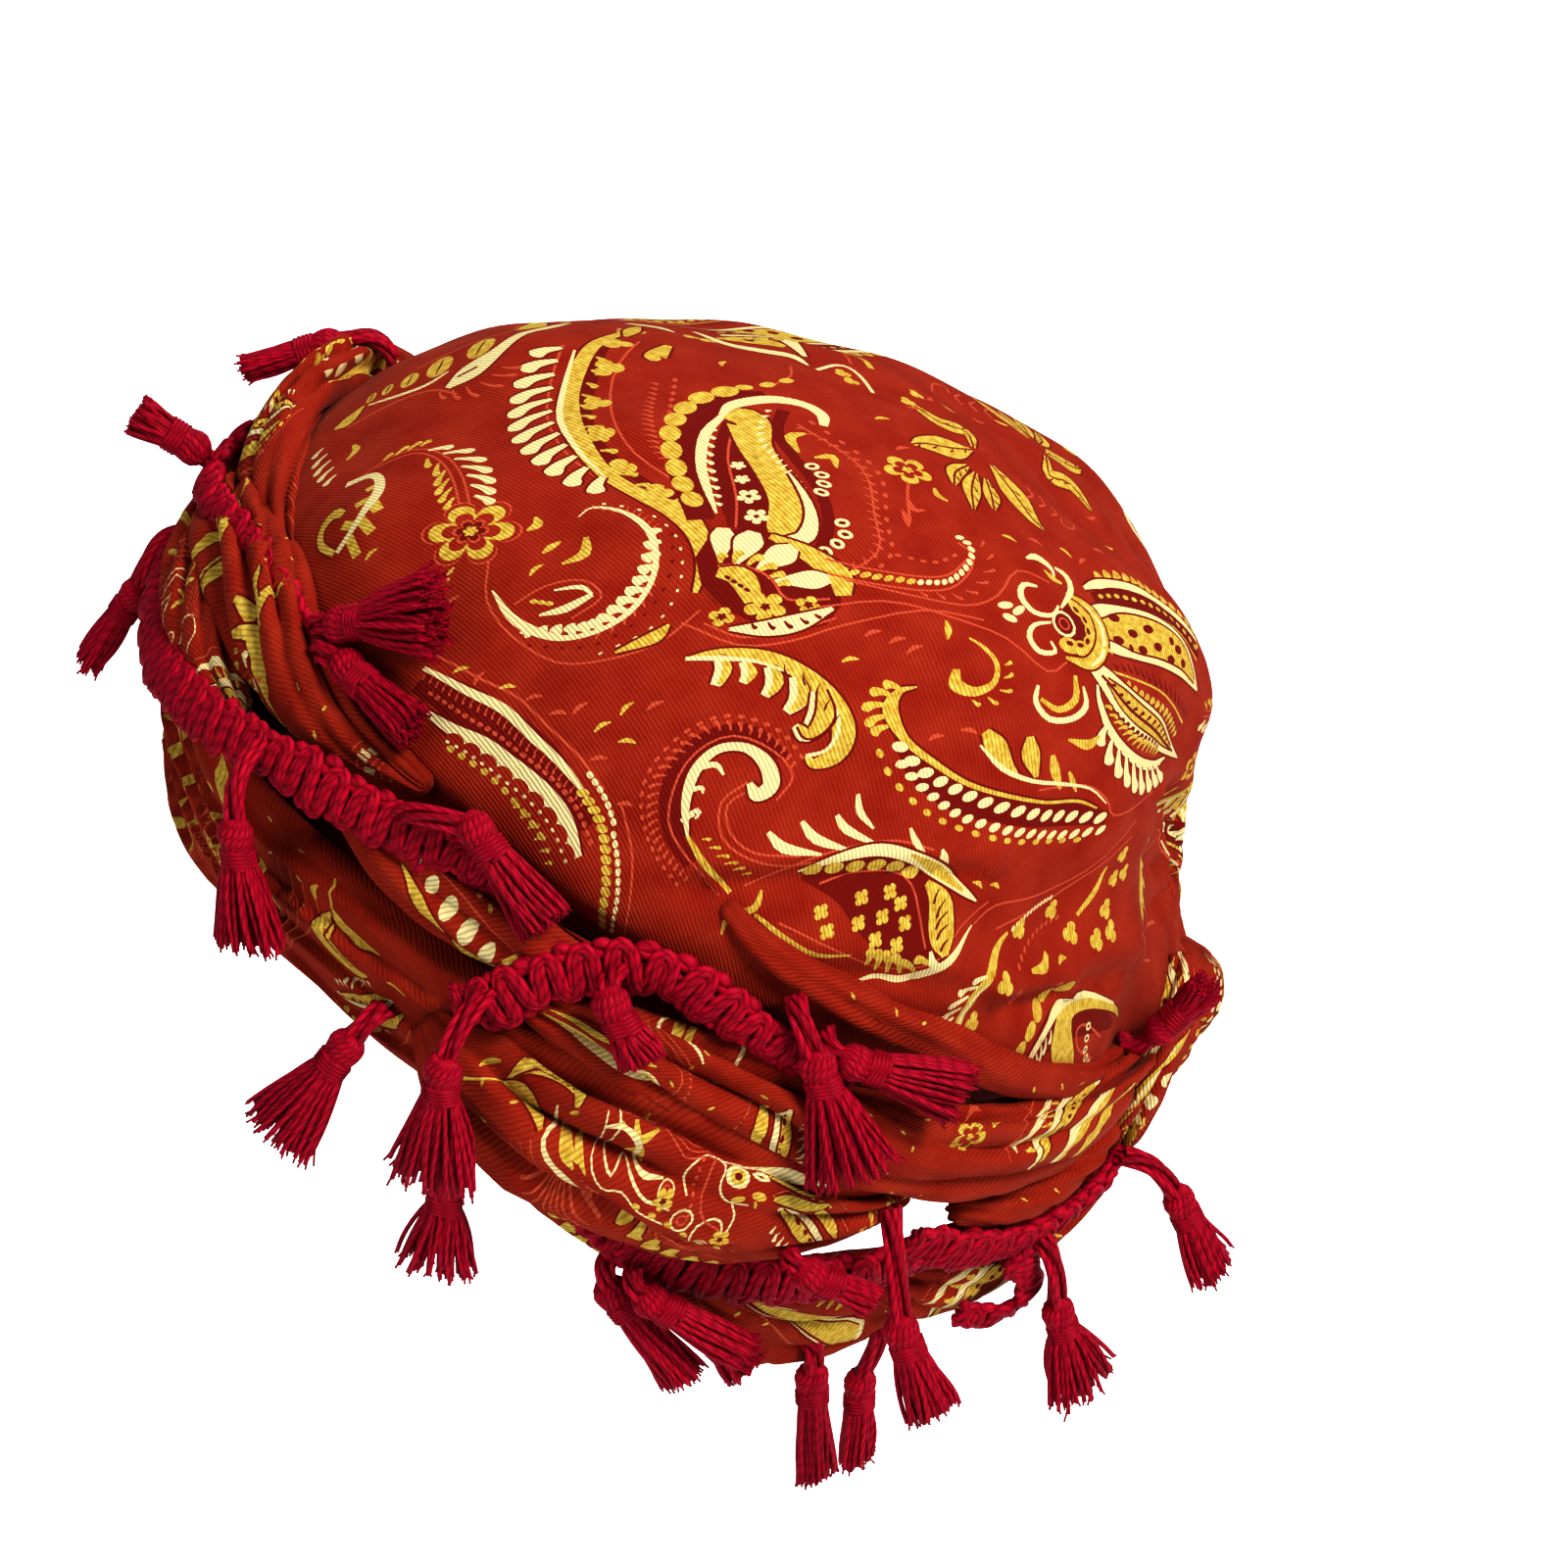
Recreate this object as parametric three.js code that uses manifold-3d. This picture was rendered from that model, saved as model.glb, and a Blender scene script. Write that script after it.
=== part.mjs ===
// Turban hat: a printed twill cap with a satin lining, wound with cloth wraps and a
// plait of twisted cloth strands and tasselled gimp.
//
// Millimetres, +Z up. The hat is drawn in its own upright frame (z along the hat's axis,
// -y to the front of the head, +x to the wearer's left) and then leant back by WORN_TILT.
// The origin is the middle of the opening that the head goes into.
// An angle called phi runs round the hat: 0 at the front, 90 at the wearer's left, 180 behind.

import * as THREE from 'three';
import { mergeVertices } from 'three/addons/utils/BufferGeometryUtils.js';
import Module from 'manifold-3d';

const wasm = await Module();
wasm.setup();

// ---------------------------------------------------------------- driving dimensions
const WORN_TILT = 31;           // degrees that the hat's axis leans back
const CLOTH = 1.6;              // wall of the cap's folded twill
const SATIN = 1.0;              // wall of the lining
const SEAT = 0.3;               // clearance between pieces that touch
const SHOULDER = 60;            // height where the crown starts above the opening
const SHOULDER_FRONT = 117;     // half the crown front to back at its shoulder
const SHOULDER_SIDE = 103;      // half the crown side to side at its shoulder
const CROWN_RISE = 90;          // crown height above its shoulder
const CROWN_POWER = 1.75;       // roundness of the crown's outline
const CROWN_LEAN = 19;          // how far the top slouches to the back
const BACK_TUCK = 17;           // how far the cloth is drawn in at the back
const BACK_TUCK_HEIGHT = 0.38;  // where that tuck is deepest, as a share of the rise
const BACK_TUCK_SPREAD = 0.28;  // and how far it reaches up and down
const LINING_GAP = 0.6;         // looseness between the lining and the cap
const LINING_INSET = 4;         // the lining stops this far above the cap's rim
const MIN_PIECE = 1;            // smallest scrap that a cut may leave, cubic mm
const CLEAN = 0.12;             // sliver size that is merged away after a cut
const MERGE = 1e-4;             // corners nearer than this are one corner
const STRAND_SIDES = 8;         // faces round a strand or a gimp
const BRAID_SIDES = 6;          // faces round a strand of the long braid
const STEPS_PER_ROW = 1.6;      // cross-sections for each row of a strand's table
const LEAN_POWER = 1.9;         // how late the crown starts to lean as it rises
const TUCK_POWER = 1.5;         // how narrowly the tuck keeps to the back

const TWILL = { color: 0xa32319, roughness: 0.85, metalness: 0 };
const SATIN_RED = { color: 0xc01946, roughness: 0.3, metalness: 0 };
const YARN = { color: 0x99062d, roughness: 0.9, metalness: 0 };

// Half sizes of the wound hat, front to back and side to side, at heights along its axis.
const ENVELOPE = [
  { z: -60, front: 96, side: 84 },
  { z: -40, front: 102, side: 90 },
  { z: -25, front: 107, side: 94 },
  { z: -12, front: 110, side: 97 },
  { z: 0, front: 115, side: 101 },
  { z: 15, front: 122, side: 108 },
  { z: 30, front: 125, side: 111 },
  { z: 45, front: 122, side: 108 },
  { z: 60, front: 117.5, side: 103.5 },
  { z: 75, front: 115, side: 101 },
  { z: 90, front: 109, side: 95 },
  { z: 110, front: 98, side: 84 },
];

// Half sizes of the cap below its shoulder, where the plait squeezes it onto the head.
const CAP_BAND = [
  { z: -10, front: 100, side: 82 },
  { z: 15, front: 102, side: 85 },
  { z: 35, front: 105, side: 89 },
  { z: 48, front: 109, side: 94.5 },
  { z: 56, front: 114.5, side: 100.5 },
  { z: SHOULDER, front: SHOULDER_FRONT, side: SHOULDER_SIDE },
];

// Height of the cap's rim round the hat: it rides up over the nape.
const RIM = [
  { phi: 0, z: -6 },
  { phi: 55, z: -4 },
  { phi: 90, z: 10 },
  { phi: 118, z: 31 },
  { phi: 150, z: 32 },
  { phi: 185, z: 26 },
  { phi: 225, z: 8 },
  { phi: 270, z: -4 },
  { phi: 360, z: -6 },
];

// ---------------------------------------------------------------- curves and surfaces
const radians = THREE.MathUtils.degToRad;

/** Smooth value of one column of a table at a place along its key column. */
function along(rows, key, at, column) {
  const last = rows.length - 1;
  const x = THREE.MathUtils.clamp(at, rows[0][key], rows[last][key]);
  let i = 0;
  while (i < last - 1 && rows[i + 1][key] < x) {
    i += 1;
  }
  const slope = (k) => {
    const a = rows[Math.max(k - 1, 0)];
    const b = rows[Math.min(k + 1, last)];
    return (b[column] - a[column]) / (b[key] - a[key]);
  };
  const step = rows[i + 1][key] - rows[i][key];
  const t = (x - rows[i][key]) / step;
  const t2 = t * t;
  const t3 = t2 * t;
  return (2 * t3 - 3 * t2 + 1) * rows[i][column] + (t3 - 2 * t2 + t) * step * slope(i)
    + (3 * t2 - 2 * t3) * rows[i + 1][column] + (t3 - t2) * step * slope(i + 1);
}

/** A place on the wound hat, lifted outwards by a distance. */
function wrapPoint(phi, z, out) {
  const front = along(ENVELOPE, 'z', z, 'front') + out;
  const side = along(ENVELOPE, 'z', z, 'side') + out;
  const a = radians(phi);
  return new THREE.Vector3(side * Math.sin(a), -front * Math.cos(a), z);
}

const rimHeight = (phi) => along(RIM, 'phi', ((phi % 360) + 360) % 360, 'z');

/** A place on the cap's band, below the shoulder, set in by a distance. */
function bandPoint(phi, z, inset) {
  const a = radians(phi);
  const front = along(CAP_BAND, 'z', z, 'front') - inset;
  const side = along(CAP_BAND, 'z', z, 'side') - inset;
  return new THREE.Vector3(side * Math.sin(a), -front * Math.cos(a), z);
}

/** A place on the crown: share runs from 0 at the shoulder to 1 at the top. */
function crownPoint(phi, share, inset) {
  const a = radians(phi);
  const turn = share * Math.PI / 2;
  const rise = Math.sin(turn) ** (2 / CROWN_POWER);
  const spread = Math.cos(turn) ** (2 / CROWN_POWER);
  const back = Math.max(-Math.cos(a), 0) ** TUCK_POWER;
  const tuck = BACK_TUCK * back * Math.exp(-(((rise - BACK_TUCK_HEIGHT) / BACK_TUCK_SPREAD) ** 2));
  const fade = Math.exp(-((BACK_TUCK_HEIGHT / BACK_TUCK_SPREAD) ** 2)) * BACK_TUCK * back;
  const lean = CROWN_LEAN * rise ** LEAN_POWER;
  return new THREE.Vector3(
    (SHOULDER_SIDE - inset) * spread * Math.sin(a),
    -(SHOULDER_FRONT - inset) * spread * Math.cos(a) + lean - Math.max(tuck - fade, 0),
    SHOULDER + (CROWN_RISE - inset) * rise,
  );
}

// ---------------------------------------------------------------- solids
/** Closed surface through rings of equal count, with a fan over each end. */
function loft(rings) {
  const count = rings[0].length;
  const points = rings.flat();
  const middle = (ring) => ring.reduce((sum, p) => sum.add(p), new THREE.Vector3()).divideScalar(count);
  points.push(middle(rings[0]), middle(rings[rings.length - 1]));
  const faces = [];
  for (let r = 0; r < rings.length - 1; r += 1) {
    for (let i = 0; i < count; i += 1) {
      const a = r * count + i;
      const b = r * count + (i + 1) % count;
      faces.push(a, b, b + count, a, b + count, a + count);
    }
  }
  const start = points.length - 2;
  const tail = (rings.length - 1) * count;
  for (let i = 0; i < count; i += 1) {
    const next = (i + 1) % count;
    faces.push(start, next, i, start + 1, tail + i, tail + next);
  }
  const geometry = new THREE.BufferGeometry();
  geometry.setAttribute('position', new THREE.Float32BufferAttribute(points.flatMap((p) => p.toArray()), 3));
  geometry.setIndex(signedVolume(points, faces) < 0 ? faces.reverse() : faces);
  return geometry;
}

function signedVolume(points, faces) {
  let volume = 0;
  const cross = new THREE.Vector3();
  for (let i = 0; i < faces.length; i += 3) {
    cross.crossVectors(points[faces[i + 1]], points[faces[i + 2]]);
    volume += points[faces[i]].dot(cross);
  }
  return volume;
}

function toSolid(geometry) {
  const plain = geometry.clone();
  plain.deleteAttribute('normal');
  plain.deleteAttribute('uv');
  const merged = mergeVertices(plain, MERGE);
  const mesh = new wasm.Mesh({
    numProp: 3,
    vertProperties: new Float32Array(merged.attributes.position.array),
    triVerts: new Uint32Array(merged.index.array),
  });
  return new wasm.Manifold(mesh);
}

function toGeometry(solid) {
  const mesh = solid.getMesh();
  const geometry = new THREE.BufferGeometry();
  geometry.setAttribute('position', new THREE.Float32BufferAttribute(mesh.vertProperties, 3));
  geometry.setIndex([...mesh.triVerts]);
  return geometry;
}

/** The largest of the bodies that a cut leaves, with its slivers merged away. */
function tidy(solid) {
  const bodies = solid.decompose().filter((body) => body.volume() > MIN_PIECE);
  bodies.sort((a, b) => b.volume() - a.volume());
  return bodies[0].simplify(CLEAN);
}

/** Rings of a tube of oval section through table rows laid on the wound hat. */
function strandRings(rows, sides, grow) {
  const spots = rows.map((row) => wrapPoint(row.phi, row.z, row.out));
  const curve = new THREE.CatmullRomCurve3(spots, false, 'centripetal');
  const steps = Math.round((rows.length - 1) * STEPS_PER_ROW);
  const rings = [];
  for (let s = 0; s <= steps; s += 1) {
    const t = s / steps;
    const place = t * (rows.length - 1);
    const low = Math.min(Math.floor(place), rows.length - 2);
    const blend = place - low;
    const wide = THREE.MathUtils.lerp(rows[low].wide, rows[low + 1].wide, blend) / 2 + grow;
    const thick = THREE.MathUtils.lerp(rows[low].thick, rows[low + 1].thick, blend) / 2 + grow;
    const centre = curve.getPoint(t);
    const tangent = curve.getTangent(t);
    const outward = new THREE.Vector3(centre.x, centre.y, 0).normalize();
    const across = new THREE.Vector3().crossVectors(outward, tangent).normalize();
    const normal = new THREE.Vector3().crossVectors(tangent, across).normalize();
    if (s === 0) {
      centre.addScaledVector(tangent, -grow);
    }
    if (s === steps) {
      centre.addScaledVector(tangent, grow);
    }
    rings.push(oval(centre, across, normal, wide, thick, sides));
  }
  return rings;
}

function oval(centre, across, normal, wide, thick, sides) {
  const ring = [];
  for (let i = 0; i < sides; i += 1) {
    const a = (i + 0.5) * 2 * Math.PI / sides;
    ring.push(centre.clone()
      .addScaledVector(across, wide * Math.cos(a))
      .addScaledVector(normal, thick * Math.sin(a)));
  }
  return ring;
}

// ---------------------------------------------------------------- cap and lining
const CAP_SIDES = 36;
const BAND_STEPS = 4;
const CROWN_STEPS = 9;

/** Rings of the cap's surface from its rim to near its top. */
function capRings(inset, rimLift, sides, bandSteps, crownSteps) {
  const rings = [];
  const angles = Array.from({ length: sides }, (_, i) => i * 360 / sides);
  for (let s = 0; s < bandSteps; s += 1) {
    rings.push(angles.map((phi) => {
      const low = rimHeight(phi) + rimLift;
      return bandPoint(phi, low + (SHOULDER - low) * s / bandSteps, inset);
    }));
  }
  for (let s = 0; s < crownSteps; s += 1) {
    rings.push(angles.map((phi) => crownPoint(phi, s / crownSteps, inset)));
  }
  return rings;
}

function capShell(inset, wall, rimLift) {
  const inner = capRings(inset + wall, rimLift, CAP_SIDES, BAND_STEPS, CROWN_STEPS);
  const outer = capRings(inset, rimLift, CAP_SIDES, BAND_STEPS, CROWN_STEPS);
  return loft([...inner.reverse(), ...outer]);
}

/** The whole bulk of the cap and of the head space below it, which nothing wound on it enters. */
function capBulk() {
  const rings = capRings(-SEAT, 0, CAP_SIDES, BAND_STEPS, CROWN_STEPS);
  const below = rings[0].map((p) => new THREE.Vector3(p.x, p.y, ENVELOPE[0].z));
  return loft([below, ...rings]);
}

// ---------------------------------------------------------------- wraps and strands
// Rows of the broad wrap: where its top and bottom edges run, and how far it stands proud.
const FRONT_WRAP = [
  { phi: -178, top: 34, bottom: 20, proud: -8 },
  { phi: -150, top: 34, bottom: 4, proud: -2 },
  { phi: -120, top: 36, bottom: -6, proud: 0 },
  { phi: -90, top: 40, bottom: -10, proud: 0 },
  { phi: -60, top: 42, bottom: -14, proud: 0 },
  { phi: -30, top: 42, bottom: -19, proud: 0 },
  { phi: 0, top: 36, bottom: -21, proud: 0 },
  { phi: 15, top: 32, bottom: -19, proud: 0 },
  { phi: 35, top: 27, bottom: -11, proud: 0 },
  { phi: 55, top: 33, bottom: -5, proud: 0 },
  { phi: 70, top: 34, bottom: -6, proud: -1 },
  { phi: 85, top: 30, bottom: -7, proud: -4 },
  { phi: 100, top: 27, bottom: -2, proud: -8 },
];

const STRANDS = {
  side_roll: [
    { phi: 69, z: 18, out: -3, wide: 10, thick: 6 },
    { phi: 76, z: 15, out: -1, wide: 30, thick: 12 },
    { phi: 85, z: 16, out: 1, wide: 39, thick: 16 },
    { phi: 94, z: 19, out: 1, wide: 41, thick: 18 },
    { phi: 103, z: 19, out: 1, wide: 37, thick: 18 },
    { phi: 110, z: 20, out: 0, wide: 27, thick: 16 },
    { phi: 118, z: 23, out: -3, wide: 16, thick: 11 },
    { phi: 125, z: 27, out: -7, wide: 7, thick: 7 },
  ],
  hem_strip: [
    { phi: 74, z: -2, out: -5, wide: 6, thick: 4 },
    { phi: 83, z: -7, out: -4, wide: 10, thick: 5 },
    { phi: 92, z: -10, out: -3, wide: 13, thick: 5 },
    { phi: 100, z: -14, out: -2, wide: 12, thick: 5 },
    { phi: 106, z: -17, out: -3, wide: 7, thick: 4 },
  ],
  twist_front: [
    { phi: -5, z: 43, out: -2, wide: 10, thick: 8 },
    { phi: 1, z: 44, out: 0, wide: 23, thick: 13 },
    { phi: 9, z: 48, out: 0, wide: 26, thick: 14 },
    { phi: 17, z: 51, out: 0, wide: 26, thick: 14 },
    { phi: 26, z: 53, out: 0, wide: 26, thick: 14 },
    { phi: 36, z: 53, out: 0, wide: 20, thick: 13 },
    { phi: 44, z: 54, out: 0, wide: 14, thick: 11 },
    { phi: 50, z: 56, out: 0, wide: 9, thick: 8 },
    { phi: 56, z: 58, out: 0, wide: 4, thick: 4 },
  ],
  twist_middle: [
    { phi: 49, z: 41, out: -3, wide: 5, thick: 5 },
    { phi: 56, z: 42, out: -1, wide: 10, thick: 8 },
    { phi: 62, z: 43, out: 0, wide: 13, thick: 10 },
    { phi: 68, z: 45, out: 0, wide: 15, thick: 11 },
    { phi: 74, z: 47, out: 0, wide: 14, thick: 10 },
    { phi: 80, z: 49, out: -1, wide: 9, thick: 7 },
    { phi: 85, z: 51, out: -3, wide: 5, thick: 5 },
  ],
  rim_roll: [
    { phi: 75, z: 35, out: -2, wide: 4, thick: 4 },
    { phi: 80, z: 38, out: 0, wide: 10, thick: 8 },
    { phi: 86, z: 40, out: 0, wide: 15, thick: 12 },
    { phi: 93, z: 41, out: 0, wide: 18, thick: 14 },
    { phi: 101, z: 42, out: 0, wide: 19, thick: 14 },
    { phi: 110, z: 41, out: 0, wide: 19, thick: 14 },
    { phi: 120, z: 41, out: -1, wide: 20, thick: 14 },
    { phi: 130, z: 42, out: -1, wide: 20, thick: 13 },
    { phi: 141, z: 44, out: -2, wide: 23, thick: 12 },
    { phi: 150, z: 47, out: -3, wide: 28, thick: 11 },
    { phi: 159, z: 48, out: -5, wide: 24, thick: 10 },
  ],
  gather_fold: [
    { phi: 87, z: 75, out: -2, wide: 4, thick: 4 },
    { phi: 92, z: 72, out: 0, wide: 6, thick: 6 },
    { phi: 99, z: 70, out: 0, wide: 8, thick: 8 },
    { phi: 107, z: 68, out: 0, wide: 9, thick: 9 },
    { phi: 116, z: 66, out: 0, wide: 9, thick: 9 },
    { phi: 126, z: 62, out: 0, wide: 9, thick: 9 },
    { phi: 136, z: 59, out: -1, wide: 9, thick: 8 },
    { phi: 146, z: 58, out: -2, wide: 8, thick: 7 },
    { phi: 155, z: 58, out: -4, wide: 6, thick: 6 },
  ],
  lower_roll: [
    { phi: 103, z: -17, out: 0, wide: 5, thick: 4 },
    { phi: 109, z: -20, out: 2, wide: 11, thick: 8 },
    { phi: 118, z: -24, out: 3, wide: 17, thick: 11 },
    { phi: 129, z: -28, out: 3, wide: 21, thick: 12 },
    { phi: 140, z: -25, out: 3, wide: 21, thick: 12 },
    { phi: 148, z: -16, out: 2, wide: 17, thick: 10 },
    { phi: 154, z: -6, out: 0, wide: 10, thick: 7 },
  ],
  lower_twist: [
    { phi: 106, z: -13, out: 0, wide: 4, thick: 4 },
    { phi: 112, z: -14, out: 1, wide: 8, thick: 7 },
    { phi: 121, z: -13, out: 2, wide: 14, thick: 9 },
    { phi: 131, z: -11, out: 2, wide: 17, thick: 10 },
    { phi: 140, z: -5, out: 1, wide: 15, thick: 9 },
    { phi: 148, z: 4, out: 0, wide: 10, thick: 7 },
  ],
  nape_roll: [
    { phi: 134, z: -5, out: 3, wide: 9, thick: 7 },
    { phi: 141, z: -6, out: 6, wide: 20, thick: 11 },
    { phi: 148, z: -3, out: 7, wide: 24, thick: 12 },
    { phi: 154, z: 5, out: 6, wide: 22, thick: 11 },
    { phi: 160, z: 16, out: 3, wide: 16, thick: 10 },
    { phi: 167, z: 27, out: 0, wide: 12, thick: 9 },
    { phi: 174, z: 36, out: -3, wide: 9, thick: 7 },
  ],
  nape_cord: [
    { phi: 132, z: 22, out: -3, wide: 5, thick: 5 },
    { phi: 139, z: 24, out: -2, wide: 9, thick: 8 },
    { phi: 147, z: 28, out: -2, wide: 11, thick: 9 },
    { phi: 155, z: 33, out: -3, wide: 11, thick: 9 },
    { phi: 163, z: 38, out: -4, wide: 9, thick: 8 },
  ],
  knot_wrap: [
    { phi: 168, z: 74, out: -4, wide: 8, thick: 6 },
    { phi: 164, z: 66, out: 0, wide: 15, thick: 9 },
    { phi: 162, z: 55, out: 0, wide: 19, thick: 11 },
    { phi: 162, z: 43, out: 0, wide: 19, thick: 11 },
    { phi: 164, z: 31, out: 0, wide: 15, thick: 9 },
    { phi: 168, z: 22, out: -3, wide: 9, thick: 6 },
  ],
};

const GIMPS = {
  gimp_1: [
    { phi: -4, z: 45, out: 7, wide: 14, thick: 5 },
    { phi: 4, z: 50, out: 7, wide: 13, thick: 5 },
    { phi: 12, z: 56, out: 6, wide: 11, thick: 5 },
    { phi: 20, z: 60, out: 5, wide: 9, thick: 5 },
    { phi: 28, z: 62, out: 4, wide: 6, thick: 4 },
    { phi: 36, z: 62, out: 3, wide: 5, thick: 4 },
  ],
  gimp_2: [
    { phi: -2, z: 30, out: 3, wide: 7, thick: 4 },
    { phi: 3, z: 26, out: 4, wide: 11, thick: 5 },
    { phi: 10, z: 23, out: 3, wide: 14, thick: 5 },
    { phi: 18, z: 25, out: 3, wide: 14, thick: 5 },
    { phi: 26, z: 29, out: 4, wide: 13, thick: 5 },
    { phi: 33, z: 34, out: 5, wide: 12, thick: 5 },
    { phi: 40, z: 40, out: 6, wide: 11, thick: 5 },
    { phi: 47, z: 45, out: 6, wide: 12, thick: 6 },
    { phi: 54, z: 49, out: 6, wide: 12, thick: 6 },
    { phi: 60, z: 53, out: 6, wide: 12, thick: 6 },
    { phi: 66, z: 56, out: 5, wide: 11, thick: 5 },
    { phi: 72, z: 56, out: 3, wide: 8, thick: 5 },
  ],
  gimp_3: [
    { phi: 71, z: 28, out: 2, wide: 8, thick: 4 },
    { phi: 74, z: 35, out: 4, wide: 12, thick: 5 },
    { phi: 76, z: 44, out: 5, wide: 12, thick: 6 },
    { phi: 80, z: 53, out: 5, wide: 12, thick: 6 },
    { phi: 85, z: 59, out: 5, wide: 12, thick: 6 },
    { phi: 91, z: 59, out: 5, wide: 12, thick: 6 },
    { phi: 97, z: 57, out: 5, wide: 10, thick: 6 },
    { phi: 103, z: 55, out: 4, wide: 9, thick: 5 },
    { phi: 108, z: 53, out: 3, wide: 6, thick: 4 },
  ],
  gimp_4: [
    { phi: 94, z: -6, out: 3, wide: 8, thick: 4 },
    { phi: 99, z: -8, out: 5, wide: 12, thick: 5 },
    { phi: 106, z: -9, out: 6, wide: 14, thick: 6 },
    { phi: 114, z: -7, out: 6, wide: 15, thick: 6 },
    { phi: 121, z: -2, out: 6, wide: 16, thick: 6 },
    { phi: 127, z: 6, out: 5, wide: 15, thick: 6 },
    { phi: 131, z: 13, out: 3, wide: 12, thick: 5 },
  ],
  gimp_5: [
    { phi: 126, z: 17, out: 3, wide: 10, thick: 4 },
    { phi: 133, z: 15, out: 4, wide: 12, thick: 5 },
    { phi: 141, z: 15, out: 5, wide: 11, thick: 5 },
    { phi: 149, z: 19, out: 5, wide: 10, thick: 5 },
    { phi: 156, z: 26, out: 4, wide: 8, thick: 5 },
    { phi: 164, z: 34, out: 2, wide: 6, thick: 4 },
  ],
  gimp_loop: [
    { phi: 144, z: 12, out: 8, wide: 8, thick: 4 },
    { phi: 148, z: 6, out: 14, wide: 9, thick: 4 },
    { phi: 150, z: -1, out: 19, wide: 9, thick: 4 },
    { phi: 148, z: -7, out: 20, wide: 9, thick: 4 },
    { phi: 144, z: -9, out: 16, wide: 8, thick: 4 },
  ],
};

// The plait's three strands on the far side, where they cross in an even braid.
const BRAID_START = -174;
const BRAID_END = -26;
const BRAID_STEP = 11;
const BRAID_CYCLE = 66;         // degrees of phi for one whole crossing
const BRAID_SWING = 10;         // how far a strand swings up and down
const BRAID_LIFT = 5.8;         // how far it rises over its neighbours
const BRAID_SINK = 1;           // how far the whole braid sits into the wraps
const BRAID_LINE = [
  { phi: -180, z: 38 },
  { phi: -140, z: 40 },
  { phi: -100, z: 45 },
  { phi: -60, z: 51 },
  { phi: -20, z: 53 },
];
const BRAIDED = {
  plait_strand_a: {
    third: 0,
    wide: 22,
    thick: 9.5,
    tail: [
      { phi: -18, z: 65, out: 4, wide: 30, thick: 13 },
      { phi: -10, z: 62, out: 4, wide: 32, thick: 13 },
      { phi: -2, z: 60, out: 2, wide: 26, thick: 12 },
      { phi: 6, z: 60, out: 0, wide: 18, thick: 10 },
      { phi: 13, z: 61, out: -1, wide: 11, thick: 8 },
      { phi: 20, z: 61, out: -2, wide: 5, thick: 5 },
    ],
  },
  plait_strand_b: {
    third: 1,
    wide: 22,
    thick: 9.5,
    tail: [
      { phi: -16, z: 36, out: -1, wide: 22, thick: 12 },
      { phi: -7, z: 33, out: -1, wide: 25, thick: 12 },
      { phi: 2, z: 34, out: -1, wide: 26, thick: 12 },
      { phi: 10, z: 34, out: -1, wide: 26, thick: 12 },
      { phi: 18, z: 34, out: -1, wide: 21, thick: 11 },
      { phi: 26, z: 35, out: -1, wide: 13, thick: 9 },
      { phi: 33, z: 36, out: -2, wide: 5, thick: 5 },
    ],
  },
  far_gimp: {
    third: 2,
    wide: 13,
    thick: 5,
    tail: [
      { phi: -17, z: 45, out: 7, wide: 13, thick: 5 },
      { phi: -10, z: 43, out: 7, wide: 13, thick: 5 },
      { phi: -6, z: 44, out: 7, wide: 13, thick: 5 },
    ],
  },
};

/** Rows of one braided strand: the even braid, then its hand-set run over the front. */
function braidRows({ third, wide, thick, tail }) {
  const rows = [];
  for (let phi = BRAID_START; phi <= BRAID_END; phi += BRAID_STEP) {
    const turn = radians(360 * (phi - BRAID_START) / BRAID_CYCLE + 120 * third);
    rows.push({
      phi,
      z: along(BRAID_LINE, 'phi', phi, 'z') + BRAID_SWING * Math.sin(turn),
      out: BRAID_LIFT * Math.sin(2 * turn) - BRAID_SINK,
      wide,
      thick,
    });
  }
  return [...rows, ...tail];
}

const WRAP_STATIONS = 26;
const WRAP_HEIGHTS = 4;
const WRAP_INNER = [2 / 3, 1 / 3];
const WRAP_ROUNDING = 5;        // how far its outer face falls back at its edges
const WRAP_SEAT = SEAT + 0.2;   // its inner face clears the cap by this

/** The broad wrap as one crescent-section body between its edges. */
function wrapBody(grow) {
  const rings = [];
  const first = FRONT_WRAP[0].phi;
  const last = FRONT_WRAP[FRONT_WRAP.length - 1].phi;
  for (let s = 0; s <= WRAP_STATIONS; s += 1) {
    const phi = first + (last - first) * s / WRAP_STATIONS;
    const top = along(FRONT_WRAP, 'phi', phi, 'top') + grow;
    const bottom = along(FRONT_WRAP, 'phi', phi, 'bottom') - grow;
    const proud = along(FRONT_WRAP, 'phi', phi, 'proud') + grow;
    const ring = [];
    for (let h = 0; h <= WRAP_HEIGHTS; h += 1) {
      const share = h / WRAP_HEIGHTS;
      const round = WRAP_ROUNDING * (1 - Math.sqrt(Math.max(1 - (2 * share - 1) ** 2, 0)));
      ring.push(wrapPoint(phi, bottom + (top - bottom) * share, proud - round));
    }
    for (const share of WRAP_INNER) {
      ring.push(bandPoint(phi, bottom + (top - bottom) * share, -WRAP_SEAT));
    }
    rings.push(ring);
  }
  return loft(rings);
}

// ---------------------------------------------------------------- knots
const KNOTS = {
  side_knot: { phi: 178, z: 46, out: -2, along: 34, high: 44, deep: 24 },
  tail_knot: { phi: -152, z: 12, out: 4, along: 36, high: 30, deep: 22 },
};

const KNOT_SIDES = 10;
const KNOT_STEPS = 7;
const KNOT_POLE = 0.06;         // share of a half turn left flat at each end
const KNOT_FULLNESS = 0.7;      // below 1 it is squarer than a ball
const KNOT_WAIST = 0.12;        // how much the cloth is drawn in at the middle

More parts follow.
